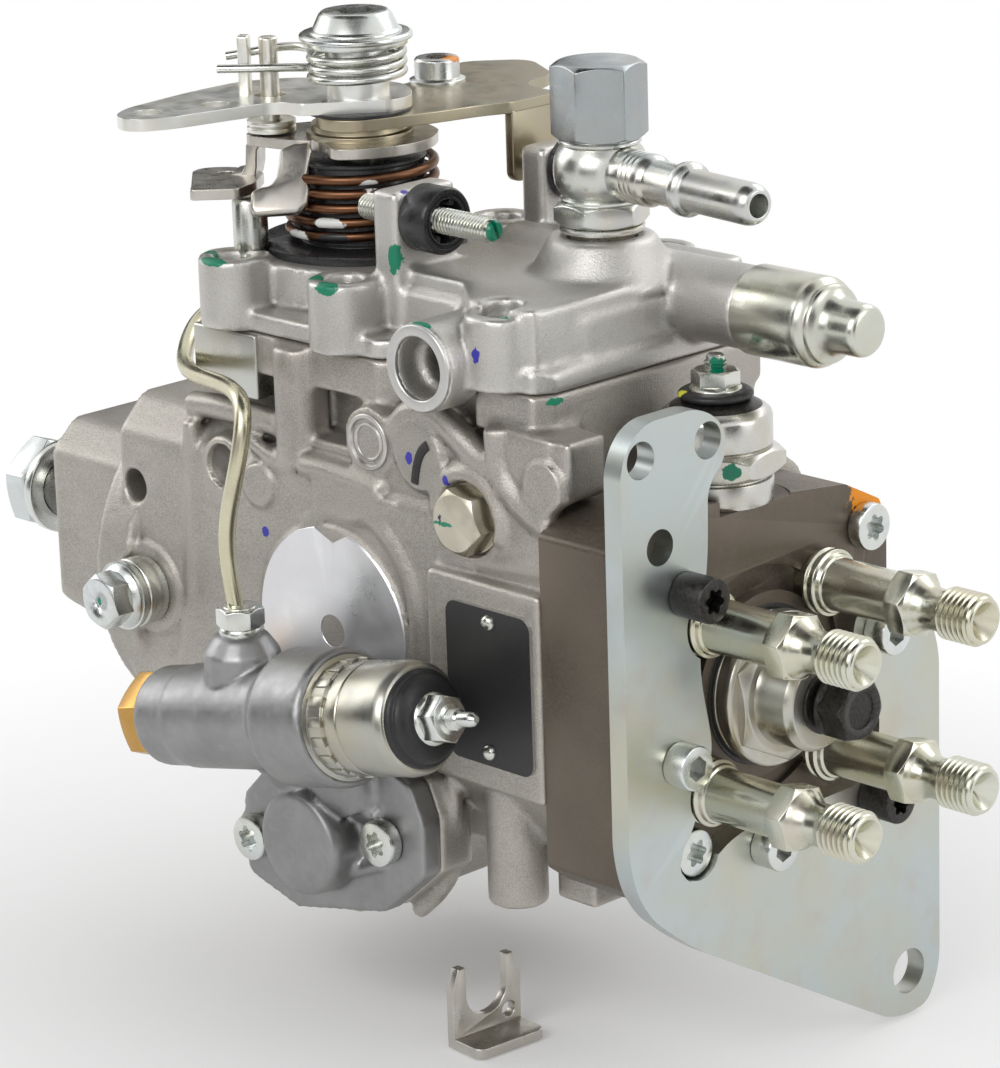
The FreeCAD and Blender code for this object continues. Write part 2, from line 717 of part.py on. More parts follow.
def tube(name, outer, inner, start, length, where=("0", "0", "0"), turn=ALONG_X):
    """A plain ring or tube along X."""
    end = "(%s) + (%s)" % (start, length)
    return turned(name, [(start, inner), (start, outer), (end, outer), (end, inner)], where, turn)


def plain(name, radius, start, length, where=("0", "0", "0"), turn=ALONG_X):
    """A solid round bar along X with a start offset."""
    end = "(%s) + (%s)" % (start, length)
    return turned(name, [(start, "0"), (start, radius), (end, radius), (end, "0")], where, turn)


def screw(name, head, height, socket, sides, shank, length, where, turn):
    """A socket screw whose head rests on the plane through its origin."""
    blank = turned(name + "_blank", [
        ("edge - (%s)" % length, "0"), ("0 - (%s)" % length, "0.5 * (%s) - edge" % shank),
        ("edge - (%s)" % length, "0.5 * (%s)" % shank), ("0", "0.5 * (%s)" % shank),
        ("0", "0.5 * (%s)" % head), ("(%s) - edge" % height, "0.5 * (%s)" % head),
        (height, "0.5 * (%s) - edge" % head), (height, "0")])
    recess = made("Prism", name + "_recess", {"Circumradius": "(%s) / sqrt(3)" % socket, "Height": height},
                  ("0.45 * (%s)" % height, "0", "0"), UP_TO_X)
    recess.Polygon = sides
    return place(cut(name, blank, [recess]), where, turn)


def sector(name, outer, inner, width, start, length, along_z):
    """Two opposite dogs cut out of a tube."""
    ring = tube(name + "_ring", outer, inner, start, length)
    half = "0.5 * (%s)" % width
    wide = ("-(%s)" % outer, outer)
    thin = ("-(%s)" % half, half)
    across, upward = (thin, wide) if along_z else (wide, thin)
    slab = box(name + "_slab", (start, across[0], upward[0]), ("(%s) + (%s)" % (start, length), across[1],
                                                               upward[1]))
    return common(name, ring, slab)


def gear_shape(teeth, bore, first):
    """An involute spur gear along X, thinned by the tooth play."""
    module = size["gear_module"]
    play = size["gear_backlash"]
    pitch = module * teeth / 2
    base = pitch * math.cos(math.radians(20))
    tip = pitch + module - play
    root = pitch - module - play
    full = math.pi / (2 * teeth) - play / pitch + math.tan(math.radians(20)) - math.radians(20)
    radii = [root, base, (base + tip) / 2, tip]
    turns = [full]
    for radius in radii[1:]:
        lean = math.acos(base / radius)
        turns.append(full - math.tan(lean) + lean)
    points = []
    for tooth in range(teeth):
        middle = first + 2 * math.pi * tooth / teeth
        for radius, turn in zip(radii, turns):
            points.append((radius, middle - turn))
        for radius, turn in zip(radii[::-1], turns[::-1]):
            points.append((radius, middle + turn))
    spots = [FreeCAD.Vector(0, r * math.cos(t), r * math.sin(t)) for r, t in points]
    face = Part.Face(Part.makePolygon(spots + spots[:1]))
    disc = face.extrude(FreeCAD.Vector(size["gear_width"], 0, 0))
    hole = Part.makeCylinder(bore, size["gear_width"], ORIGIN, X_AXIS)
    return disc.cut(hole)


def drive_shaft():
    """Tapered shaft with the two claws that drive the cam plate."""
    seat = "nut_thickness + washer_thickness - shaft_reach"
    blank = turned("shaft_blank", [
        ("edge - shaft_reach", "0"), ("edge - shaft_reach", "shaft_thread_dia / 2 - edge"),
        ("edge * 2 - shaft_reach", "shaft_thread_dia / 2"), (seat, "shaft_thread_dia / 2"),
        (seat, "taper_small_dia / 2"), (seat + " + taper_length", "journal_dia / 2"),
        ("claw_root - claw_hub", "journal_dia / 2"), ("claw_root - claw_hub", "claw_outer_dia / 2"),
        ("claw_root", "claw_outer_dia / 2"), ("claw_root", "0")])
    claws = sector("shaft_claws", "claw_outer_dia / 2", "claw_inner_dia / 2", "claw_thickness",
                   "claw_root - edge", "claw_tip - claw_root", False)
    keep(joined("shaft_whole", [blank, claws]), "drive_shaft")


def shaft_nut():
    bar = hexagon("nut_hex", "nut_flats", "nut_thickness", ("-shaft_reach", "0", "0"), ALONG_X, 20.3)
    hole = plain("nut_hole", "shaft_thread_dia / 2", "-shaft_reach - edge", "nut_thickness + edge * 2")
    keep(cut("nut_whole", bar, [hole]), "shaft_nut")


def shaft_washer():
    keep(tube("washer_whole", "washer_dia / 2", "shaft_thread_dia / 2", "nut_thickness - shaft_reach",
              "washer_thickness"), "shaft_washer")


def shaft_seal():
    """Lip seal in the mouth of the nose, a running gap off the journal."""
    keep(turned("seal_whole", [
        ("edge - pilot_length", "journal_dia / 2 + free_gap * 3"), ("edge - pilot_length", "seal_dia / 2"),
        ("seal_depth - pilot_length", "seal_dia / 2"), ("seal_depth - pilot_length",
                                                        "seal_dia / 2 - edge * 2"),
        ("edge * 3 - pilot_length", "seal_dia / 2 - edge * 2"),
        ("seal_depth - pilot_length - edge", "journal_dia / 2 + run_gap")]), "shaft_seal")


def lock_bolt():
    """Bolt that clamps the shaft for transport, with the spacer under its flange."""
    seat = ("lock_x", "-lock_seat - lock_spacer_length", "0")
    stem = plain("lock_stem", "lock_thread_dia / 2", "-lock_spacer_length - lock_thread_dia * 1.5",
                 "lock_spacer_length + lock_thread_dia * 1.5")
    flange = plain("lock_flange", "lock_flange_dia / 2", "0", "lock_flange_thickness")
    head = hexagon("lock_hex", "lock_flats", "lock_head_height", ("lock_flange_thickness", "0", "0"), ALONG_X)
    keep(place(joined("lock_whole", [stem, flange, head]), seat, TO_NEAR), "lock_bolt")


def lock_spacer():
    keep(tube("spacer_whole", "lock_spacer_dia / 2", "lock_thread_dia / 2", "0", "lock_spacer_length",
              ("lock_x", "-lock_seat", "0"), TO_NEAR), "lock_spacer")


def lock_fork():
    """Loose forked plate that goes under the lock bolt once the pump is fitted."""
    plate = padded("fork_plate", "XZ_Plane", [
        ("0", "0"), ("fork_width", "0"), ("fork_width", "fork_height - fork_taper * 2.8"),
        ("fork_width - fork_taper", "fork_height"), ("fork_taper", "fork_height"),
        ("0", "fork_height - fork_taper * 2.8")], "fork_thickness", ("0", "fork_thickness", "0"))
    root_height = "fork_height - fork_depth + fork_gap / 2"
    mouth = box("fork_mouth", ("(fork_width - fork_gap) / 2", "-edge", root_height),
                ("(fork_width + fork_gap) / 2", "fork_thickness + edge", "fork_height + edge"))
    root = rod("fork_root", "fork_gap / 2", "fork_thickness + edge * 2", ("fork_width / 2", "-edge", root_height),
               ALONG_Y)
    foot = padded("fork_foot", "XY_Plane", [
        ("0", "-fork_foot"), ("fork_width", "-fork_foot"), ("fork_width", "fork_thickness"),
        ("0", "fork_thickness")], "fork_thickness", ("0", "0", "0"), round_edges="fork_corner")
    hole = rod("fork_eye", "fork_hole / 2", "fork_thickness + edge * 2",
               ("fork_width - fork_hole", "-edge", "fork_hole * 1.5"), ALONG_Y)
    whole = cut("fork_whole", joined("fork_blank", [plate, foot]), [mouth, root, hole])
    keep(place(whole, ("fork_x", "-fork_y", "-fork_floor"), FreeCAD.Rotation(Z_AXIS, size["fork_turn"])),
         "lock_fork")


def cover_screws(prefix, make):
    """The five cover screws; the same spots cut their holes or make the screws."""
    spots = [("ear_first_x", "-ear_near_y", "ear_height - ear_sink"), ("ear_second_x", "-ear_near_y",
                                                                       "ear_height - ear_sink"),
             ("post_x", "-ear_near_y", "ear_height - ear_sink"), ("far_first_x", "ear_far_y",
                                                                  "ear_height - ear_sink"),
             ("far_second_x", "ear_far_y", "ear_height - ear_sink")]
    return [make("%s_%d" % (prefix, i), spot) for i, spot in enumerate(spots)]


def shank_hole(name, spot):
    """The hole that a cover screw fills down to the housing thread."""
    foot = (spot[0], spot[1], "cover_joint - rim_height")
    return rod(name, "cover_screw_dia / 2", "(%s) - cover_joint + rim_height" % spot[2], foot)


def head_room(name, spot):
    """Room for a cover screw's head where the casting stands higher."""
    return rod(name, "cover_head_dia / 2 + free_gap", "ear_sink + ear_radius", spot)


def cover_screw(name, spot):
    return screw(name, "cover_head_dia", "cover_head_height", "cover_socket", 6, "cover_screw_dia",
                 "(%s) - cover_joint + rim_height" % spot[2], spot, UPRIGHT)


def pump_housing():
    """Cast housing: nose, round rim, main body, tower for the cover and crosswise timing bore."""
    nose = padded("housing_nose", "YZ_Plane", corners_of("nose"), "nose_length + edge",
                  round_edges="nose_corner / 3")
    rim = plain("housing_rim", "rim_radius", "rim_start", "rim_width")
    body = padded("housing_body", "YZ_Plane", corners_of("flank"), "body_end - body_start",
                  ("body_start", "0", "0"), round_edges="body_corner / 3")
    pilot = plain("housing_pilot", "pilot_dia / 2", "-pilot_length", "pilot_length + edge")
    tower = padded("housing_tower", "XY_Plane", [
        ("tower_left", "-tower_near"), ("tower_right", "-tower_near"), ("tower_right", "tower_far"),
        ("tower_left", "tower_far")], "cover_joint - body_corner", ("0", "0",
                                                                    "body_corner"), round_edges="tower_corner / 2")
    ledge = padded("housing_ledge", "XY_Plane", corners_of("cover"), "rim_height", ("0", "0", "cover_joint - rim_height"))
    timing = rod("housing_timing", "timing_boss_dia / 2", "timing_half_length * 2",
                 ("timing_x", "-timing_half_length", "-timing_drop"), ALONG_Y)
    flange = padded("housing_flange", "XZ_Plane", corners_of("flange"), "rim_height",
                    ("timing_x", "rim_height - timing_half_length", "-timing_drop"), ALONG_VALVE)
    pad = box("housing_pad", ("pad_left", "-body_half_width - pad_rise", "-pad_bottom"),
              ("body_end", "0", "pad_top"))
    dish = rod("housing_dish", "dish_radius", "body_half_width + edge * 2", ("dish_x", "0", "dish_z"),
               TO_NEAR)
    seat = rod("housing_seat", "lock_spacer_dia / 2 + edge * 4", "lock_seat", ("lock_x", "0", "0"), TO_NEAR)
    foot = box("housing_foot", ("body_end - foot_width", "-tower_near", "-body_bottom - foot_drop"),
               ("body_end", "-tower_near + foot_width", "0"))
    far_flange = box("housing_far", ("timing_x - screw_span - cap_screw_dia",
                                     "timing_half_length - rim_height * 1.4",
                                     "-timing_drop - cap_screw_dia * 1.6"),
                     ("timing_x + screw_span + cap_screw_dia", "timing_half_length",
                      "-timing_drop + cap_screw_dia * 1.6"))
    solid = joined("housing_solid", [nose, rim, body, pilot, tower, ledge, timing, flange, pad, dish,
                                     seat, foot,
                                     far_flange])
    chamber = plain("housing_chamber", "chamber_dia / 2", "chamber_start",
                    "body_end - spigot_length - chamber_start")
    land = cut("housing_land", plain("land_outer", "chamber_dia / 2 + edge", "land_start",
                                     "ring_width + edge * 12"),
               [plain("land_bore", "ring_dia / 2 + run_gap", "land_start - edge", "ring_width + edge * 14")])
    cavity = box("housing_cavity", ("tower_left + tower_wall", "tower_wall - tower_near", "0"),
                 ("tower_right - tower_wall * 2", "tower_far - tower_wall", "cover_joint + edge"))
    hollow = joined("housing_hollow", [cut("housing_round", chamber, [land]), cavity])
    tools = [hollow,
             plain("housing_journal", "journal_dia / 2 + run_gap", "-pilot_length",
                   "chamber_start + pilot_length + edge"),
             plain("housing_seal", "seal_dia / 2", "-pilot_length", "seal_depth"),
             plain("housing_feed", "feed_ring_dia / 2", "feed_start", "chamber_start - feed_start + edge"),
             plain("housing_open", "ring_dia / 2 + run_gap", "chamber_start", "body_end - chamber_start"),
             plain("housing_spigot", "spigot_dia / 2", "body_end - spigot_length - edge",
                   "spigot_length + edge * 2"),
             rod("housing_bore", "timing_dia / 2", "timing_half_length * 2 + edge * 2",
                 ("timing_x", "-timing_half_length - edge", "-timing_drop"), ALONG_Y),
             rod("housing_spotface", "lock_spacer_dia / 2 + free_gap", "lock_spacer_length",
                 ("lock_x", "-lock_seat", "0"), TO_NEAR),
             rod("housing_lock", "lock_thread_dia / 2", "lock_seat", ("lock_x", "0", "0"), TO_NEAR),
             rod("housing_stop", "stop_base_dia / 2 + free_gap", "stop_base_top - stop_seat + edge",
                 ("stop_x", "0", "stop_seat")),
             rod("housing_side", "side_hole_dia / 2", "side_hole_depth + body_half_width",
                 ("side_hole_x", "side_hole_depth - body_half_width", "side_hole_z"), TO_NEAR),
             rod("housing_spindle", "spindle_dia / 2", "tower_wall + edge",
                 ("tower_left + edge", "0", GOVERNOR_AXIS), ALONG_X),
             rod("housing_pin", "lever_pin_dia / 2", "tower_near + tower_far - edge * 8",
                 ("lever_plane + lever_plate / 2", "-tower_near + edge * 4", "lever_pivot_z"), ALONG_Y)]
    tools.append(box("housing_slot", ("timing_x - timing_pin_dia * 0.8", "-timing_pin_dia * 1.4",
                                      "-chamber_dia / 2"),
                     ("timing_x + timing_pin_dia * 0.8", "timing_pin_dia", "edge * 3 - ring_dia / 2")))
    for i, side in enumerate(("", "-")):
        for j, level in enumerate(("flange_hole_top", "-flange_hole_low")):
            tools.append(rod("housing_tap_%d%d" % (i, j), "flange_hole_dia / 2", "flange_hole_depth + edge",
                             ("-edge", side + "flange_hole_y", level), ALONG_X))
    tools += cover_screws("housing_thread", shank_hole)
    tools += [timing_screw_hole("housing_near_%d" % i, side, "timing_half_length") for i,
              side in enumerate(("", "-"))]
    tools += [far_screw_hole("housing_far_%d" % i, side) for i, side in enumerate(("", "-"))]
    tools += head_screw_holes("housing_head")
    keep(cut_in_turn("housing_whole", solid, tools), "pump_housing")


def timing_screw_hole(name, side, start):
    """Hole of a timing cover screw on the near side."""
    return rod(name, "cap_screw_dia / 2", "valve_flange_thickness + cap_screw_dia * 2",
               ("timing_x + %sscrew_span * cos(timing_tilt)" % side,
                "cap_screw_dia * 1.6 - timing_half_length",
                "%sscrew_span * sin(timing_tilt) - timing_drop" % side), TO_NEAR)


def far_screw_hole(name, side):
    """Hole of a rear cover screw on the far side."""
    return rod(name, "cap_screw_dia / 2", "rear_cover_thickness + cap_screw_dia * 1.6",
               ("timing_x + %sscrew_span" % side, "timing_half_length - cap_screw_dia * 1.6",
                "-timing_drop"), ALONG_Y)


def head_screw_holes(prefix):
    return [rod("%s_%d" % (prefix, i), "cap_screw_dia / 2", "head_front - body_end + cap_screw_dia * 2",
                ("body_end - cap_screw_dia * 2", y, z), ALONG_X)
            for i, (y, z) in enumerate(corners_of("headscrew") + corners_of("longscrew"))]


def governor_cover():
    """Cast cover with the lever deck, screw ears, stop-screw lugs, inlet boss and side port."""
    top = ("0", "0", "cover_joint")
    flange = padded("cover_flange_plate", "XY_Plane", corners_of("cover"), "cover_flange", top)
    shell = padded("cover_shell", "XY_Plane", [
        ("cover_left + edge * 2", "-tower_near"), ("cover_right - edge * 2", "-tower_near"),
        ("cover_right - edge * 2", "tower_far"), ("cover_left + edge * 2", "tower_far")],
        "deck_height - cover_joint - edge", top, round_edges="tower_corner")
    deck = rod("cover_deck", "deck_radius", "deck_height - cover_joint", ("lever_x", "-lever_y",
                                                                          "cover_joint"))
    roof = padded("cover_roof", "XY_Plane", corners_of("roof"), "roof_height - cover_joint", top,
                  round_edges="edge * 4")
    parts = [flange, shell, deck, roof]
    for i, x in enumerate(("ear_first_x", "ear_second_x", "post_x")):
        parts.append(rod("cover_ear_%d" % i, "ear_radius", "ear_height - cover_joint",
                         (x, "-ear_near_y", "cover_joint")))
        parts.append(box("cover_web_%d" % i, (x + " - ear_radius", "-ear_near_y", "cover_joint"),
                         (x + " + ear_radius", "0", "deck_height - edge")))
    for i, x in enumerate(("far_first_x", "far_second_x")):
        parts.append(rod("cover_far_ear_%d" % i, "ear_radius", "ear_height - cover_joint",
                         (x, "ear_far_y", "cover_joint")))
    parts.append(box("cover_lug", ("lug_left", "-lug_near", "cover_joint"), ("lug_right", "-lug_far",
                                                                             "lug_top")))
    parts.append(box("cover_rear_lug", ("rear_lug_left", "rear_lug_near", "cover_joint"),
                     ("rear_lug_right", "rear_lug_far", "lug_top + edge * 2")))
    floor = box("cover_floor", ("port_x - port_dia", "-ear_near_y - edge * 6", "0"),
                ("port_x + port_dia", "edge", "cover_joint"))
    parts.append(cut("cover_port", rod("cover_port_bar", "port_dia / 2", "port_face", ("port_x", "0", "port_z"), TO_NEAR),
                     [floor]))
    parts.append(turned("cover_inlet", [
        ("0", "0"), ("0", "inlet_cone_dia / 2"), ("inlet_boss_top - roof_height + edge * 2",
                                                  "inlet_boss_dia / 2"),
        ("inlet_boss_top - roof_height + edge * 4", "0")], ("inlet_x", "0",
                                                            "roof_height - edge * 4"), UPRIGHT))
    parts.append(rod("cover_load", "load_boss_dia / 2", "load_boss_end - roof_left",
                     ("roof_left", "load_y", "load_z"), ALONG_X))
    solid = joined("cover_solid", parts)
    tools = [
        box("cover_cavity", ("tower_left + tower_wall * 2", "cover_wall - tower_near", "cover_joint - edge"),
            ("cover_right - cover_wall * 2", "tower_far - cover_wall", "deck_height - cover_wall * 1.4")),
        rod("cover_shaft_hole", "control_dia / 2 + run_gap", "deck_height", ("lever_x", "-lever_y", "edge")),
        rod("cover_port_bore", "port_bore / 2", "port_face", ("port_x", "-edge - tower_near / 2",
                                                              "port_z"), TO_NEAR),
        rod("cover_port_recess", "port_counterbore / 2", "port_counterbore_depth + edge",
            ("port_x", "port_counterbore_depth - port_face", "port_z"), TO_NEAR),
        rod("cover_inlet_hole", "inlet_thread_dia / 2", "inlet_boss_top", ("inlet_x", "0",
                                                                           "inlet_boss_top - inlet_depth")),
        rod("cover_load_hole", "load_thread_dia / 2", "load_boss_end",
            ("cover_right - cover_wall * 2 - edge", "load_y", "load_z"),
            ALONG_X),
        rod("cover_front_screw", "stop_screw_dia / 2", "lug_right - lug_left + edge * 4",
            ("lug_left - edge * 2", "-stop_screw_y", "stop_screw_z"), ALONG_X),
        rod("cover_rear_screw", "stop_screw_dia / 2", "rear_lug_right - rear_lug_left + edge * 4",
            ("rear_lug_left - edge * 2", "rear_screw_y", "rear_screw_z"), ALONG_X),
        rod("cover_post_hole", "anchor_post_dia / 2", "ear_height", ("anchor_post_x", "-anchor_post_y",
                                                                     "cover_joint + cover_flange * 2")),
        ] + cover_screws("cover_thread", shank_hole) + cover_screws("cover_room", head_room)
    keep(cut_in_turn("cover_whole", solid, tools), "governor_cover")


def torx_screws():
    """All socket-head casting screws: cover, head and timing covers."""
    screws = cover_screws("cover_screw", cover_screw)
    length = "head_front - body_end + cap_screw_dia * 2"
    screws += [screw("head_screw_%d" % i, "torx_head_dia", "torx_head_height", "torx_socket", 6,
                     "cap_screw_dia",
                     length, ("head_front", y,
                              z), ALONG_X) for i, (y, z) in enumerate(corners_of("headscrew"))]
    for i, side in enumerate(("", "-")):
        spot = ("timing_x + %sscrew_span * cos(timing_tilt)" % side,
                "-timing_half_length - valve_flange_thickness",
                "%sscrew_span * sin(timing_tilt) - timing_drop" % side)
        screws.append(screw("valve_screw_%d" % i, "torx_head_dia", "torx_head_height", "torx_socket", 6,
                            "cap_screw_dia", "valve_flange_thickness + cap_screw_dia * 1.6", spot, TO_NEAR))
        spot = ("timing_x + %sscrew_span" % side, "timing_half_length + rear_cover_thickness", "-timing_drop")
        screws.append(screw("rear_screw_%d" % i, "torx_head_dia", "torx_head_height", "torx_socket", 6,
                            "cap_screw_dia", "rear_cover_thickness + cap_screw_dia * 1.6", spot, ALONG_Y))
    keep(group("screws_whole", screws), "torx_screws")


def outlet_spots():
    return [(a + "outlet_offset", b + "outlet_offset") for a in ("", "-") for b in ("", "-")]


def hydraulic_head():
    """Steel head that closes the housing and carries plunger bore, outlets and plug."""
    slab = padded("head_slab", "YZ_Plane", corners_of("head"), "head_front - body_end", ("body_end", "0", "0"),
                  round_edges="edge * 3")
    spigot = plain("head_spigot", "spigot_dia / 2 - run_gap", "body_end - spigot_length",
                   "spigot_length + edge")
    ring = plain("head_ring", "head_ring_dia / 2", "head_front - edge", "head_ring_height + edge")
    tools = [
        tube("head_groove", "head_groove_dia / 2", "head_ring_dia / 2", "head_front - head_groove_depth",
             "head_groove_depth + edge"),
        plain("head_bore", "plunger_dia / 2 + run_gap", "body_end - spigot_length - edge",
              "spigot_length + plunger_end - body_end + edge * 3"),
        plain("head_plug_hole", "plug_thread_dia / 2", "head_front - plug_thread_length",
              "plug_thread_length + head_ring_height + edge"),
        rod("head_stop_hole", "stop_thread_dia / 2", "stop_thread_depth + edge", ("stop_x", "0", "stop_seat - stop_thread_depth")),
        rod("head_stop_face", "stop_flats * 0.6", "head_corner", ("stop_x", "0", "stop_seat")),
        rod("head_valve_bore", "armature_dia / 2 + run_gap", "armature_length",
            ("stop_x", "0", "stop_seat - armature_length - armature_stroke")),
    ]
    for i, (y, z) in enumerate(outlet_spots()):
        tools.append(rod("head_outlet_%d" % i, "outlet_body_dia / 2", "outlet_root + edge * 6",
                         ("head_front - outlet_root", y, z), ALONG_X))
    tools += head_screw_holes("head_bolt")
    tools += [rod("head_short_%d" % i, "cap_screw_dia / 2", "cap_screw_dia * 2 + edge",
                  ("head_front - cap_screw_dia * 2", y, z), ALONG_X)
              for i, (y, z) in enumerate(corners_of("shortscrew"))]
    keep(cut("head_whole", joined("head_solid", [slab, spigot, ring]), tools), "hydraulic_head")


def outlet_unions():
    """Four threaded outlets with a cone seat for the line nuts."""
    start = "0"
    unions = []
    for i, (y, z) in enumerate(outlet_spots()):
        base = "head_front - outlet_root"
        stem = turned("union_stem_%d" % i, [
            (start, "0"), (start, "outlet_body_dia / 2"),
            ("outlet_root + head_ring_height", "outlet_body_dia / 2"),
            ("outlet_root + head_ring_height", "outlet_collar_dia / 2"),
            ("outlet_collar_end - head_front + outlet_root", "outlet_collar_dia / 2"),
            ("outlet_collar_end - head_front + outlet_root", "outlet_body_dia / 2"),
            ("outlet_hex_end - head_front + outlet_root", "outlet_body_dia / 2"),
            ("outlet_hex_end - head_front + outlet_root", "outlet_neck_dia / 2"),
            ("outlet_thread_start - head_front + outlet_root", "outlet_neck_dia / 2"),
            ("outlet_thread_start - head_front + outlet_root", "outlet_thread_dia / 2"),
            ("outlet_tip - head_front + outlet_root - edge", "outlet_thread_dia / 2"),
            ("outlet_tip - head_front + outlet_root", "outlet_thread_dia / 2 - edge"),
            ("outlet_tip - head_front + outlet_root", "0")])
        bar = hexagon("union_hex_%d" % i, "outlet_flats", "outlet_hex_end - outlet_hex_start",
                      ("outlet_hex_start - head_front + outlet_root", "0", "0"), ALONG_X)
        bore = turned("union_bore_%d" % i, [
            ("-edge", "0"), ("-edge", "outlet_bore_dia / 2"),
            ("outlet_tip - head_front + outlet_root - outlet_cone_depth", "outlet_bore_dia / 2"),
            ("outlet_tip - head_front + outlet_root", "outlet_cone_dia / 2"),
            ("outlet_tip - head_front + outlet_root + edge", "outlet_cone_dia / 2"),
            ("outlet_tip - head_front + outlet_root + edge", "0")])
        whole = cut("union_%d" % i, joined("union_solid_%d" % i, [stem, bar]), [bore])
        unions.append(place(whole, (base, y, z)))
    keep(group("unions_whole", unions), "outlet_unions")


def delivery_valves():
    """Small fluted valves that sit in the bores of the outlets."""
    valves = [turned("valve_%d" % i, [
        ("0", "0"), ("0", "delivery_dia / 2"), ("delivery_length * 0.3", "delivery_dia / 2"),
        ("delivery_length * 0.3", "delivery_dia / 3"), ("delivery_length * 0.5", "delivery_dia / 3"),
        ("delivery_length * 0.5", "delivery_dia / 2"), ("delivery_length * 0.9", "delivery_dia / 2"),
        ("delivery_length", "delivery_dia / 4"), ("delivery_length", "0")],
        ("head_front + outlet_root * 0.4", y, z)) for i, (y, z) in enumerate(outlet_spots())]
    keep(group("valves_whole", valves), "delivery_valves")


def head_plug():
    keep(turned("plug_whole", [
        ("head_front - plug_thread_length", "0"), ("head_front - plug_thread_length", "plug_thread_dia / 2"),
        ("head_front + head_ring_height", "plug_thread_dia / 2"), ("head_front + head_ring_height",
                                                                   "plug_dia / 2"),
        ("plug_face - edge", "plug_dia / 2"), ("plug_face", "plug_dia / 2 - edge"), ("plug_face", "plug_neck_dia / 2"),
        ("plug_neck_end - edge", "plug_neck_dia / 2"), ("plug_neck_end", "plug_neck_dia / 2 - edge"),
        ("plug_neck_end", "bolt_dia / 2"), ("plug_neck_end - bolt_length", "bolt_dia / 2"),
        ("plug_neck_end - bolt_length", "0")]), "head_plug")


def plug_bolt():
    stem = plain("plug_stem", "bolt_dia / 2", "plug_neck_end - bolt_length", "bolt_length + edge")
    flange = plain("plug_collar", "bolt_flange_dia / 2", "plug_neck_end", "bolt_flange_height")
    head = hexagon("plug_hex", "bolt_flats", "bolt_head", ("plug_neck_end + bolt_flange_height", "0",
                                                           "0"), ALONG_X)
    keep(joined("plug_bolt_whole", [stem, flange, head]), "plug_bolt")


def line_bracket():
    """Plate for the clamps of the delivery lines, screwed on the head."""
    plate = padded("bracket_plate", "YZ_Plane", corners_of("bracket"), "bracket_thickness", ("head_front", "0", "0"),
                   round_edges="edge * 2")
    behind = "head_front - edge"
    through = "bracket_thickness + edge * 2"
    tools = [rod("bracket_ear_a", "ear_hole_dia / 2", through, (behind, "-ear_hole_near_y", "ear_hole_z"),
                 ALONG_X),
             rod("bracket_ear_b", "ear_hole_dia / 2", through, (behind, "-ear_hole_far_y", "ear_hole_z"),
                 ALONG_X),
             rod("bracket_mid", "mid_hole_dia / 2", through, (behind, "-mid_hole_y", "mid_hole_z"), ALONG_X),
             rod("bracket_low", "low_hole_dia / 2", through, (behind, "low_hole_y", "-low_hole_z"), ALONG_X)]
    for i, (y, z) in enumerate(outlet_spots()):
        tools.append(rod("bracket_clear_%d" % i, "outlet_collar_dia / 2 + free_gap", through, (behind, y, z), ALONG_X))
    for i, (y, z) in enumerate(corners_of("longscrew") + corners_of("shortscrew")):
        tools.append(rod("bracket_screw_%d" % i, "cap_screw_dia / 2", through, (behind, y, z), ALONG_X))
    for i, (y, z) in enumerate(corners_of("headscrew")):
        tools.append(rod("bracket_pass_%d" % i, "torx_head_dia / 2 + free_gap", through, (behind, y, z),
                         ALONG_X))
    keep(cut("bracket_whole", plate, tools), "line_bracket")


def bracket_screws():
    """Long black screws into the housing and short zinc ones into the head."""
    front = "head_front + bracket_thickness"
    black = [screw("black_%d" % i, "cap_head_dia", "cap_head_height", "cap_socket_flats", 6, "cap_screw_dia",
                   "bracket_thickness + head_front - body_end + cap_screw_dia * 2", (front, y, z), ALONG_X)
             for i, (y, z) in enumerate(corners_of("longscrew"))]
    zinc = [screw("zinc_%d" % i, "cap_head_dia", "cap_head_height * 0.65", "cap_socket_flats", 6,
                  "cap_screw_dia",
                  "bracket_thickness + cap_screw_dia * 2", (front, y, z), ALONG_X)
            for i, (y, z) in enumerate(corners_of("shortscrew"))]
    keep(group("black_whole", black), "bracket_screws_black")
    keep(group("zinc_whole", zinc), "bracket_screws_zinc")


def stop_solenoid():
    """Fuel cut-off magnet screwed into the top of the head."""
    low = "stop_seat - stop_thread_depth"
    spot = ("stop_x", "0", "0")
    case = turned("stop_case", [
        (low, "0"), (low, "stop_thread_dia / 2"), ("stop_seat", "stop_thread_dia / 2"), ("stop_seat", "stop_base_dia / 2"),
        ("stop_base_top", "stop_base_dia / 2"), ("stop_base_top", "stop_can_dia / 2 - edge"),
        ("stop_hex_top + edge", "stop_can_dia / 2 - edge"), ("stop_hex_top + edge", "stop_can_dia / 2"),
        ("stop_can_top", "stop_can_dia / 2"), ("stop_dome_top", "stop_can_dia / 2 - edge * 4"),
        ("stop_dome_top", "terminal_dia / 2"), ("stop_stud_top", "terminal_dia / 2"), ("stop_stud_top", "0")],
        spot, UPRIGHT)
    bar = hexagon("stop_hex", "stop_flats", "stop_hex_top - stop_base_top", ("stop_x", "0", "stop_base_top"))
    bore = rod("stop_bore", "armature_dia / 2 + run_gap", "stop_thread_depth + armature_stroke * 2 + edge",
               ("stop_x", "0", low + " - edge"))
    keep(cut("stop_whole", joined("stop_solid", [case, bar]), [bore]), "stop_solenoid")


def solenoid_armature():
    """Plunger of the cut-off magnet with its cone seat; it lifts to let fuel pass."""
    start = "stop_seat - armature_length"
    keep(turned("armature_whole", [
        (start, "0"), (start, "armature_dia / 4"), (start + " + edge * 3", "armature_dia / 2"),
        ("stop_seat + edge", "armature_dia / 2"), ("stop_seat + edge", "0")], ("stop_x", "0", "0"), UPRIGHT),
        "solenoid_armature")


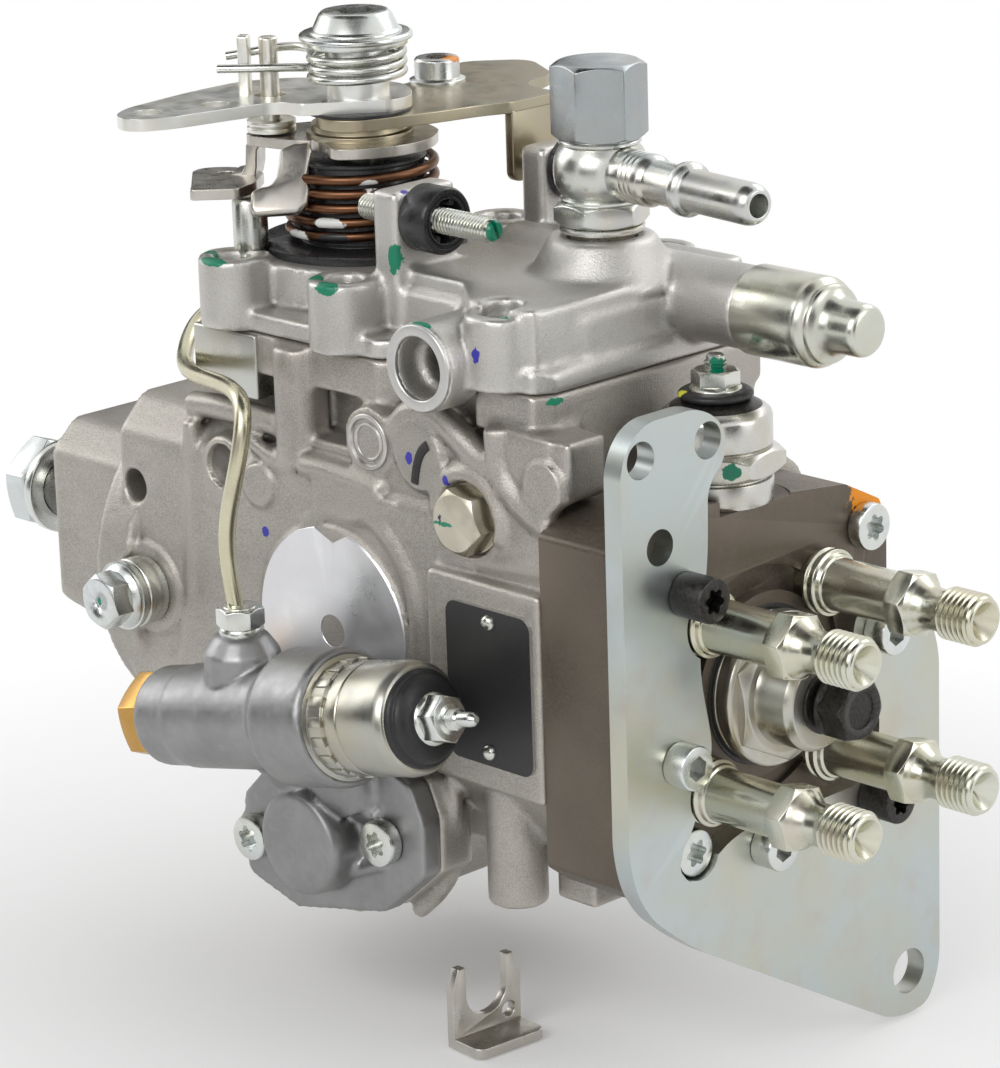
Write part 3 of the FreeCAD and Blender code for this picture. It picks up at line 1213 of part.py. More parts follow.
def terminal_boots():
    """Rubber seals round the two terminal studs."""
    upper = turned("boot_stop", [
        ("stop_dome_top", "terminal_dia / 2"), ("stop_dome_top", "stop_boot_dia / 2"),
        ("stop_boot_top - edge", "stop_boot_dia / 2"), ("stop_boot_top", "stop_boot_dia / 2 - edge"),
        ("stop_boot_top", "terminal_dia / 2")], ("stop_x", "0", "0"), UPRIGHT)
    lower = turned("boot_advance", [
        ("can_end", "terminal_dia / 2"), ("can_end", "boot_dia / 2"), ("can_end + boot_thickness - edge",
                                                                       "boot_dia / 2"),
        ("can_end + boot_thickness", "boot_dia / 2 - edge"), ("can_end + boot_thickness",
                                                              "terminal_dia / 2 + edge * 3"),
        ("can_end + boot_thickness + edge * 6", "terminal_dia / 2 + edge * 3"),
        ("can_end + boot_thickness + edge * 6", "terminal_dia / 2")], on_valve("0"), ALONG_VALVE)
    keep(group("boots_whole", [upper, lower]), "terminal_boots")


def terminal_nut(name, where, turn):
    """A flanged terminal nut standing on the plane through its origin."""
    flange = plain(name + "_flange", "terminal_flange_dia / 2", "0", "terminal_nut_height * 0.25")
    bar = hexagon(name + "_hex", "terminal_flats", "terminal_nut_height * 0.75",
                  ("terminal_nut_height * 0.25", "0", "0"),
                  ALONG_X)
    hole = plain(name + "_hole", "terminal_dia / 2", "-edge", "terminal_nut_height + edge * 2")
    return place(cut(name, joined(name + "_solid", [flange, bar]), [hole]), where, turn)


VALVE_X = "cos(timing_tilt)"
VALVE_Z = "sin(timing_tilt)"


def on_valve(along):
    """The point on the advance valve axis at a distance from the timing piston axis."""
    return ("timing_x + (%s) * %s - valve_rise * %s" % (along, VALVE_X, VALVE_Z), "-valve_y",
            "(%s) * %s + valve_rise * %s - timing_drop" % (along, VALVE_Z, VALVE_X))


def terminal_nuts():
    nuts = [terminal_nut("stop_nut", ("stop_x", "0", "stop_boot_top"), UPRIGHT),
            terminal_nut("advance_nut", on_valve("can_end + boot_thickness + edge * 6"), ALONG_VALVE)]
    keep(group("terminals_whole", nuts), "terminal_nuts")


def valve_body():
    """One casting: timing cover, round spring cap and the barrel of the advance valve."""
    flange = padded("valve_flange", "XZ_Plane", corners_of("flange"), "valve_flange_thickness",
                    ("0", "-timing_half_length", "0"),
                    round_edges="edge * 6")
    cap = turned("valve_cap", [
        ("timing_half_length", "0"), ("timing_half_length", "cap_dia / 2"), ("cap_face - edge * 2",
                                                                             "cap_dia / 2"),
        ("cap_face", "cap_dia / 2 - edge * 2"), ("cap_face", "0")], ("0", "0", "0"), TO_NEAR)
    barrel = turned("valve_barrel", [
        ("-valve_start", "0"), ("-valve_start", "valve_dia / 2"), ("collar_start - edge * 6",
                                                                   "valve_dia / 2"),
        ("collar_start", "collar_dia / 2"), ("collar_end - edge", "collar_dia / 2"), ("collar_end", "collar_dia / 2 - edge"),
        ("collar_end", "0")], ("0", "-valve_y", "valve_rise"))
    web = box("valve_web", ("-valve_flange_thickness * 3", "-valve_y", "edge * 6"),
              ("valve_flange_thickness * 2", "-timing_half_length", "valve_rise"))
    boss = turned("valve_boss", [
        ("0", "0"), ("0", "line_boss_dia / 2 + edge * 3"), ("line_boss_height",
                                                            "line_boss_dia / 2 - edge * 3"),
        ("line_boss_height", "0")], ("line_along", "-valve_y", "valve_rise"), UPRIGHT)
    solid = joined("valve_solid", [flange, cap, barrel, web, boss])
    tools = [plain("valve_plug_hole", "brass_thread_dia / 2", "-valve_start - edge",
                   "brass_thread_length + edge",
                   ("0", "-valve_y", "valve_rise")),
             plain("valve_can_hole", "can_seat_dia / 2", "collar_end - can_seat_depth",
                   "can_seat_depth + edge",
                   ("0", "-valve_y", "valve_rise")),
             rod("valve_line_hole", "line_dia / 2 + hole_gap", "line_boss_height + edge * 2",
                 ("line_along", "-valve_y", "valve_rise + edge * 2")),
             rod("valve_spring_room", "timing_spring_dia / 2 + free_gap * 2", "spring_room",
                 ("0", "edge * 0.5 - timing_half_length", "0"), TO_NEAR)]
    for i, side in enumerate(("", "-")):
        tools.append(rod("valve_bolt_%d" % i, "cap_screw_dia / 2", "valve_flange_thickness + edge * 2",
                         (side + "screw_span", "edge - timing_half_length", "0"), TO_NEAR))
    whole = cut("valve_whole", solid, tools)
    keep(place(whole, ("timing_x", "0", "-timing_drop"), ALONG_VALVE), "valve_body")


def valve_plug():
    """Brass plug in the left end of the advance valve."""
    thread = plain("brass_thread", "brass_thread_dia / 2", "-brass_thread_length",
                   "brass_thread_length + edge")
    ring = plain("brass_ring", "valve_dia / 2 - edge * 2", "0", "brass_length * 0.25")
    bar = hexagon("brass_hex", "brass_flats", "brass_length * 0.75", ("brass_length * 0.25", "0", "0"),
                  ALONG_X)
    whole = joined("brass_whole", [thread, ring, bar])
    keep(place(whole, on_valve("-valve_start"), FreeCAD.Rotation(Y_AXIS, 180 - size["timing_tilt"])),
         "valve_plug")


def advance_solenoid():
    keep(turned("advance_whole", [
        ("collar_end - can_seat_depth", "0"), ("collar_end - can_seat_depth", "can_seat_dia / 2"),
        ("collar_end + edge * 7", "can_seat_dia / 2"), ("collar_end + edge * 8", "can_dia / 2"),
        ("can_end - edge * 2", "can_dia / 2"), ("can_end", "can_dia / 2 - edge * 2"), ("can_end", "terminal_dia / 2"),
        ("terminal_end - edge", "terminal_dia / 2"), ("terminal_end",
                                                      "terminal_dia / 2 - edge"), ("terminal_end", "0")],
        on_valve("0"), ALONG_VALVE), "advance_solenoid")


def advance_line():
    """Bent steel tube from the cover down to the advance valve, as one smooth sweep."""
    spots = [FreeCAD.Vector(*[size["tube_%s%d" % (letter,
                                                  i + 1)] for letter in "xyz"]) for i in range(len(TUBE))]
    path = Part.BSplineCurve()
    path.interpolate(spots)
    count = int(size["tube_steps"])
    first, last = path.FirstParameter, path.LastParameter
    steps = [path.value(first + (last - first) * k / count) for k in range(count + 1)]
    thing = doc.addObject("Part::Feature", "line_bent")
    thing.Shape = faceted_rod(steps, size["line_dia"] / 2, int(size["tube_sides"]))
    keep(group("line_whole", [thing, line_nut()]), "advance_line")


def line_nut():
    """Hexagon nut that holds the tube on its boss."""
    bar = hexagon("line_hex", "line_nut_flats", "line_nut_height", ("0", "0", "0"), ALONG_X)
    hole = plain("line_hole", "line_dia / 2 + hole_gap", "-edge", "line_nut_height + edge * 2")
    whole = cut("line_nut_whole", bar, [hole])
    lift = ("(valve_rise + line_boss_height)", "-valve_y")
    spot = ("timing_x + line_along * %s - %s * %s" % (VALVE_X, lift[0], VALVE_Z), "-valve_y",
            "line_along * %s + %s * %s - timing_drop" % (VALVE_Z, lift[0], VALVE_X))
    return place(whole, spot, FreeCAD.Rotation(Y_AXIS, -90 - size["timing_tilt"]))


def timing_parts():
    """Timing piston with its pin hole, its spring and the plain rear cover."""
    blank = turned("piston_blank", [
        ("-timing_nose", "0"), ("-timing_nose", "timing_spring_dia / 2 - timing_wire - edge"),
        ("0", "timing_spring_dia / 2 - timing_wire - edge"), ("0", "timing_dia / 2 - run_gap"),
        ("piston_front + piston_back", "timing_dia / 2 - run_gap"), ("piston_front + piston_back", "0")],
        ("timing_x", "-piston_front", "-timing_drop"), ALONG_Y)
    socket = rod("piston_socket", "timing_ball_dia / 2 + hole_gap", "timing_dia",
                 ("timing_x", "0", "-timing_drop - timing_ball_dia / 2 - free_gap"))
    keep(cut("piston_whole", blank, [socket]), "timing_piston")
    spring = coil("timing_coil", "timing_wire / 2", "(timing_spring_dia - timing_wire) / 2", "timing_pitch",
                  "timing_pitch * 4", ("timing_x", "-piston_front - timing_stroke - timing_wire",
                                       "-timing_drop"), UP_TO_NEAR)
    keep(spring, "timing_spring")
    plate = box("rear_plate", ("timing_x - screw_span - cap_screw_dia", "timing_half_length",
                               "-timing_drop - cap_screw_dia * 1.6"),
                ("timing_x + screw_span + cap_screw_dia", "timing_half_length + rear_cover_thickness",
                 "-timing_drop + cap_screw_dia * 1.6"))
    disc = rod("rear_disc", "timing_boss_dia / 2", "rear_cover_thickness",
               ("timing_x", "timing_half_length", "-timing_drop"), ALONG_Y)
    holes = [far_screw_hole("rear_hole_%d" % i, side) for i, side in enumerate(("", "-"))]
    keep(cut("rear_whole", joined("rear_solid", [plate, disc]), holes), "timing_rear_cover")


def feed_pump():
    """Eccentric ring, vane rotor and cover plate of the feed pump."""
    ring = plain("feed_outer", "feed_ring_dia / 2", "feed_start", "feed_width")
    room = rod("feed_room", "feed_bore_dia / 2", "feed_width + edge * 2", ("feed_start - edge", "0",
                                                                           "feed_offset"), ALONG_X)
    plate = tube("feed_plate", "feed_ring_dia / 2", "journal_dia / 2 + free_gap", "feed_start + feed_width",
                 "chamber_start - feed_start - feed_width")
    keep(group("feed_ring_whole", [cut("feed_ring", ring, [room]), plate]), "feed_pump_ring")
    rotor = plain("feed_rotor_blank", "feed_rotor_dia / 2", "feed_start + run_gap",
                  "feed_width - run_gap * 2")
    reach = "feed_bore_dia / 2 - feed_offset - free_gap"
    half = "vane_thickness / 2"
    vanes = [box("feed_vane_up", ("feed_start + run_gap", "-%s" % half, "-(%s)" % reach),
                 ("feed_start + feed_width - run_gap", half, reach)),
             box("feed_vane_across", ("feed_start + run_gap", "-(%s)" % reach, "-%s" % half),
                 ("feed_start + feed_width - run_gap", reach, half))]
    hole = plain("feed_rotor_hole", "journal_dia / 2", "feed_start - edge", "feed_width + edge * 2")
    keep(cut("feed_rotor_whole", joined("feed_rotor_solid", [rotor] + vanes), [hole]), "feed_pump_rotor")


def drive_gear():
    thing = doc.addObject("Part::Feature", "gear_whole")
    thing.Shape = gear_shape(int(size["gear_teeth"]), size["journal_dia"] / 2, math.pi / 2)
    keep(place(thing, ("gear_start", "0", "0")), "drive_gear")


def flyweight_carrier():
    """Governor gear with the cage that drags the flyweights round the fixed spindle."""
    gear = doc.addObject("Part::Feature", "pinion")
    gear.Shape = gear_shape(int(size["pinion_teeth"]), size["spindle_dia"] / 2 + size["run_gap"],
                            math.pi / size["pinion_teeth"] - math.pi / 2)
    plate = tube("carrier_disc", "carrier_dia / 2", "spindle_dia / 2 + run_gap", "gear_width",
                 "carrier_plate")
    ring = tube("carrier_ring", "carrier_dia / 2", "weight_inner", "gear_width",
                "carrier_plate + weight_length")
    half = "carrier_plate / 2"
    posts = []
    for i, quarter in enumerate((45, 135)):
        slab = made("Box", "carrier_slab_%d" % i, {"Length": "gear_width + carrier_plate + weight_length",
                                                   "Width": "carrier_plate", "Height": "carrier_dia"})
        spin = FreeCAD.Rotation(X_AXIS, quarter)
        shift = spin.multVec(FreeCAD.Vector(0, -value(half), -value("carrier_dia / 2")))
        slab.Placement = FreeCAD.Placement(shift, spin)
        bind(slab, "Placement.Base.y", "carrier_plate / 2 * %s - carrier_dia / 2 * %s"
             % ("cos(%d) * -1" % quarter, "sin(%d) * -1" % quarter))
        bind(slab, "Placement.Base.z", "carrier_plate / 2 * %s - carrier_dia / 2 * %s"
             % ("sin(%d) * -1" % quarter, "cos(%d)" % quarter))
        posts.append(common("carrier_post_%d" % i, ring_copy(ring, i), slab))
    whole = joined("carrier_whole", [gear, plate] + posts)
    keep(place(whole, ("gear_start", "0", GOVERNOR_AXIS)), "flyweight_carrier")


def ring_copy(ring, number):
    """The same ring again for another cut."""
    return tube("carrier_ring_%d" % number, "carrier_dia / 2", "weight_inner", "gear_width",
                "carrier_plate + weight_length")


def flyweights():
    """Four weights round the spindle, each on its own."""
    start = "gear_start + gear_width + carrier_plate + free_gap"
    weights = []
    half = "weight_width / 2"
    for i, (y, z) in enumerate(((1, 0), (-1, 0), (0, 1), (0, -1))):
        ring = tube("weight_ring_%d" % i, "weight_outer", "weight_inner", start,
                    "weight_length - free_gap * 2",
                    ("0", "0", GOVERNOR_AXIS))
        if y:
            low = (start, "0" if y > 0 else "-weight_outer", "%s - %s" % (GOVERNOR_AXIS, half))
            high = (start + " + weight_length", "weight_outer" if y > 0 else "0",
                    "%s + %s" % (GOVERNOR_AXIS, half))
        else:
            low = (start, "-%s" % half, GOVERNOR_AXIS if z > 0 else GOVERNOR_AXIS + " - weight_outer")
            high = (start + " + weight_length", half,
                    GOVERNOR_AXIS + " + weight_outer" if z > 0 else GOVERNOR_AXIS)
        weights.append(common("weight_%d" % i, ring, box("weight_box_%d" % i, low, high)))
    keep(group("weights_whole", weights), "flyweights")


def governor_sleeve():
    """Sliding sleeve that the flyweight toes push against the governor lever."""
    start = "gear_start + gear_width + carrier_plate + weight_length + free_gap"
    keep(turned("slider_whole", [
        (start, "spindle_dia / 2 + run_gap"), (start, "slider_dia / 2 + edge * 3"),
        (start + " + edge * 5", "slider_dia / 2 + edge * 3"), (start + " + edge * 5", "slider_dia / 2"),
        ("lever_plane - free_gap * 4", "slider_dia / 2"), ("lever_plane - free_gap", "slider_dia / 4"),
        ("lever_plane - free_gap", "0"), ("spindle_end + free_gap", "0"),
        ("spindle_end + free_gap", "spindle_dia / 2 + run_gap")], ("0", "0",
                                                                   GOVERNOR_AXIS)), "governor_sleeve")


def governor_pins():
    """The two fixed pins of the governor: the spindle and the lever pivot."""
    spindle = plain("spindle_bar", "spindle_dia / 2", "tower_left + edge", "spindle_end - tower_left - edge",
                    ("0", "0", GOVERNOR_AXIS))
    pivot = rod("lever_pivot_bar", "lever_pin_dia / 2", "tower_near + tower_far - edge * 8",
                ("lever_plane + lever_plate / 2", "-tower_near + edge * 4", "lever_pivot_z"), ALONG_Y)
    keep(group("governor_pins_whole", [spindle, pivot]), "governor_pins")


def governor_lever():
    """Lever between governor sleeve and control sleeve with its ball."""
    centre = "lever_plane + lever_plate / 2"
    arm = box("lever_arm", ("lever_plane", "-lever_width / 2", "plunger_dia"),
              ("lever_plane + lever_plate", "lever_width / 2", "lever_top"))
    ball = made("Sphere", "lever_ball", {"Radius": "ball_dia / 2"}, (centre, "0",
                                                                     "plunger_dia - ball_dia * 0.3"))
    hub = rod("lever_hub", "lever_pin_dia", "lever_width", (centre, "-lever_width / 2", "lever_pivot_z"),
              ALONG_Y)
    hole = rod("lever_hole", "lever_pin_dia / 2 + run_gap", "lever_width + edge * 2",
               (centre, "-lever_width / 2 - edge", "lever_pivot_z"), ALONG_Y)
    keep(cut("lever_whole", joined("lever_solid", [arm, ball, hub]), [hole]), "governor_lever")


def cam_drive():
    """Roller ring, rollers, cam plate, cross disc, plunger, springs and control sleeve."""
    face = "ring_start + ring_width"
    base = face + " + roller_proud + lobe_height + free_gap"
    ring = tube("ring_blank", "ring_dia / 2", "ring_bore / 2", "ring_start", "ring_width")
    seats = []
    rollers = []
    middle = face + " + roller_proud - roller_dia / 2"
    reach = "(roller_circle - roller_length / 2 - free_gap)"
    for i in range(4):
        spin = FreeCAD.Rotation(X_AXIS, 45 + 90 * i)
        seat = rod("ring_seat_%d" % i, "roller_dia / 2 + hole_gap", "roller_length + free_gap * 2",
                   (middle, "0", "0"), UPRIGHT)
        mouth = box("ring_mouth_%d" % i, (middle, "-roller_dia / 2 - hole_gap", reach),
                    (middle + " + roller_dia", "roller_dia / 2 + hole_gap",
                     reach + " + roller_length + free_gap * 2"))
        place(seat, (middle, "0", reach), UPRIGHT.multiply(UP_TO_X))
        seats.append(place(joined("ring_slot_%d" % i, [seat, mouth]), ("0", "0", "0"), spin))
        roller = made("Cylinder", "roller_bar_%d" % i, {"Radius": "roller_dia / 2",
                                                        "Height": "roller_length"},
                      (middle, "0", "roller_circle - roller_length / 2"))
        rollers.append(place(joined_one("roller_%d" % i, roller), ("0", "0", "0"), spin))
    pin = rod("ring_pin", "timing_pin_dia / 2", "timing_drop - ring_bore / 2 - edge * 3", ("timing_x", "0", "-timing_drop"))
    ball = made("Sphere", "ring_ball", {"Radius": "timing_ball_dia / 2"}, ("timing_x", "0", "-timing_drop"))
    keep(joined("ring_whole", [cut("ring_cut", ring, seats), pin, ball]), "roller_ring")
    keep(group("rollers_whole", rollers), "cam_rollers")
    plate = plain("cam_blank", "cam_dia / 2", base, "cam_thickness")
    lobes = []
    for i in range(4):
        lobe = made("Wedge", "cam_lobe_%d" % i, {
            "Xmin": "-cam_dia / 2 * 0.98", "Xmax": "-ring_bore / 2", "X2min": "-cam_dia / 2 * 0.98",
            "X2max": "-ring_bore / 2", "Ymin": "0", "Ymax": "lobe_height", "Zmin": "-roller_dia",
            "Zmax": "roller_dia", "Z2min": "-roller_dia / 4", "Z2max": "roller_dia / 4"})
        lobe.Placement = FreeCAD.Placement(FreeCAD.Vector(value(base), 0, 0),
                                           FreeCAD.Rotation(X_AXIS,
                                                            90 * i + 45).multiply(FreeCAD.Rotation(Z_AXIS, 90)))
        bind(lobe, "Placement.Base.x", base)
        lobes.append(lobe)
    claws = sector("cam_claws", "claw_outer_dia / 2", "claw_inner_dia / 2", "claw_thickness",
                   "claw_root + free_gap",
                   base + " - claw_root - free_gap + edge", True)
    cam = joined("cam_solid", [plate, claws] + lobes)
    disc = plain("disc_blank", "claw_outer_dia / 2", "disc_start", "disc_width")
    core = plain("disc_core", "claw_inner_dia / 2 - hole_gap", "disc_start", "disc_width")
    play = "(claw_thickness / 2 + hole_gap)"
    wide = "claw_outer_dia"
    slots = [box("disc_slot_up", ("disc_start - edge", "-" + play, "-" + wide),
                 ("disc_start + disc_width + edge", play, wide)),
             box("disc_slot_across", ("disc_start - edge", "-" + wide, "-" + play),
                 ("disc_start + disc_width + edge", wide, play))]
    quarters = cut("disc_quarters", disc, slots)
    keep(group("cam_whole", [cam, joined("cross_disc", [quarters, core])]), "cam_plate")
    top = base + " + cam_thickness"
    keep(turned("plunger_whole", [
        (top, "0"), (top, "plunger_foot_dia / 2"), (top + " + plunger_foot", "plunger_foot_dia / 2"),
        (top + " + plunger_foot", "plunger_dia / 2"), ("plunger_end - edge", "plunger_dia / 2"),
        ("plunger_end", "plunger_dia / 2 - edge"), ("plunger_end", "0")]), "distributor_plunger")
    bridge_start = top + " + plunger_foot + free_gap"
    slab = box("bridge_slab", (bridge_start, "-return_offset - return_dia / 2", "-return_dia / 2"),
               (bridge_start + " + plunger_foot * 0.8", "return_offset + return_dia / 2", "return_dia / 2"))
    hole = plain("bridge_hole", "plunger_dia / 2 + free_gap", bridge_start + " - edge", "plunger_foot * 2")
    bridge = cut("spring_bridge", slab, [hole])
    low = bridge_start + " + plunger_foot * 0.8 + return_wire / 2"
    room = "(body_end - spigot_length - (%s) - return_wire / 2)" % low
    springs = [coil("return_coil_%d" % i, "return_wire / 2", "(return_dia - return_wire) / 2",
                    room + " / 4", room,
                    (low, side + "return_offset", "0"), UP_TO_X) for i, side in enumerate(("", "-"))]
    keep(group("returns_whole", [bridge] + springs), "plunger_springs")
    blank = tube("sleeve_blank", "sleeve_dia / 2", "plunger_dia / 2 + run_gap", "sleeve_start",
                 "sleeve_width")
    groove = tube("sleeve_slot", "sleeve_dia / 2 + edge", "sleeve_dia / 2 - ball_dia * 0.9",
                  "lever_plane + lever_plate / 2 - sleeve_groove / 2", "sleeve_groove")
    keep(cut("sleeve_whole", blank, [groove]), "control_sleeve")


def joined_one(name, piece):
    """A single piece wrapped so that it can be turned about the shaft."""
    return group(name, [piece])


def inlet_parts():
    """Inlet adapter with its stud, banjo with nipple, washers and cap nut."""
    spot = ("inlet_x", "0", "0")
    stem = turned("adapter_stem", [
        ("inlet_boss_top - inlet_depth + edge", "0"), ("inlet_boss_top - inlet_depth + edge",
                                                       "inlet_thread_dia / 2"),
        ("inlet_boss_top", "inlet_thread_dia / 2"), ("inlet_boss_top",
                                                     "eye_dia / 2"), ("adapter_ring_top", "eye_dia / 2"),
        ("adapter_ring_top",
         "inlet_bolt_dia / 2"), ("adapter_top + cap_nut_height + eye_height - seal_thickness * 2",
                                 "inlet_bolt_dia / 2"),
        ("adapter_top + cap_nut_height + eye_height - seal_thickness * 2", "0")], spot, UPRIGHT)
    bar = hexagon("adapter_hex", "inlet_flats", "adapter_top - adapter_ring_top", ("inlet_x", "0", "adapter_ring_top"), UPRIGHT, 12)
    keep(joined("adapter_whole", [stem, bar]), "banjo_adapter")
    washers = [tube("washer_%d" % i, "eye_face_dia / 2 + edge", "inlet_bolt_dia / 2 + hole_gap", start,
                    "seal_thickness",
                    spot, UPRIGHT)
               for i, start in enumerate(("adapter_top", "adapter_top + seal_thickness + eye_height"))]
    keep(group("washers_whole", washers), "banjo_washers")
    eye_low = "adapter_top + seal_thickness"
    eye = turned("banjo_eye", [
        ("0", "0"), ("0", "eye_face_dia / 2"), ("edge * 2", "eye_face_dia / 2"), ("edge * 3", "eye_dia / 2 - edge"),
        ("eye_height / 2 - edge", "eye_dia / 2"), ("eye_height / 2 + edge",
                                                   "eye_dia / 2"), ("eye_height - edge * 3",
                                                                    "eye_dia / 2 - edge"),
        ("eye_height - edge * 2", "eye_face_dia / 2"), ("eye_height", "eye_face_dia / 2"), ("eye_height", "0")],
        ("0", "0", "0"), UPRIGHT)
    nipple = turned("banjo_nipple", [
        ("edge", "0"), ("edge", "nipple_root_dia / 2 - edge"), ("nipple_length * 0.38",
                                                                "nipple_root_dia / 2"),
        ("nipple_length * 0.4", "nipple_mid_dia / 2"), ("nipple_length * 0.68", "nipple_mid_dia / 2"),
        ("nipple_length * 0.72", "nipple_bead_dia / 2"), ("nipple_length * 0.77", "nipple_bead_dia / 2"),
        ("nipple_length * 0.81", "nipple_hose_dia / 2"), ("nipple_length - edge", "nipple_hose_dia / 2"),
        ("nipple_length", "nipple_hose_dia / 2 - edge"), ("nipple_length", "0")], ("0", "0", "eye_height / 2"))
    bore = plain("banjo_bore", "nipple_bore / 2", "edge", "nipple_length", ("0", "0", "eye_height / 2"))
    hole = rod("banjo_hole", "inlet_bolt_dia / 2 + hole_gap", "eye_height + edge * 2", ("0", "0", "-edge"))
    whole = cut("banjo_whole", joined("banjo_solid", [eye, nipple]), [bore, hole])
    keep(place(whole, ("inlet_x", "0", eye_low), FreeCAD.Rotation(Z_AXIS, -size["nipple_turn"])),
         "inlet_banjo")
    nut_low = "adapter_top + seal_thickness * 2 + eye_height"
    bar = hexagon("cap_hex", "inlet_flats", "cap_nut_height", ("inlet_x", "0", nut_low), UPRIGHT, 8)
    hole = rod("cap_hole", "inlet_bolt_dia / 2", "cap_nut_height - seal_thickness * 2", ("inlet_x", "0", nut_low + " - edge"))
    keep(cut("cap_whole", bar, [hole]), "banjo_cap_nut")


def load_screw_cap():
    """Pressed steel cap over the full-load screw."""
    keep(turned("load_whole", [
        ("load_boss_end - edge * 12", "0"), ("load_boss_end - edge * 12", "load_thread_dia / 2"),
        ("load_boss_end", "load_thread_dia / 2"), ("load_boss_end", "load_cap_dia / 2"),
        ("load_cap_end - edge * 2", "load_cap_dia / 2"), ("load_cap_end", "load_cap_dia / 2 - edge * 2"),
        ("load_cap_end", "load_nose_dia / 2 + edge * 2"), ("load_nose_start", "load_nose_dia / 2"),
        ("load_tip - edge", "load_nose_dia / 2"), ("load_tip", "load_nose_dia / 2 - edge"), ("load_tip", "0")],
        ("0", "load_y", "load_z")), "load_screw_cap")


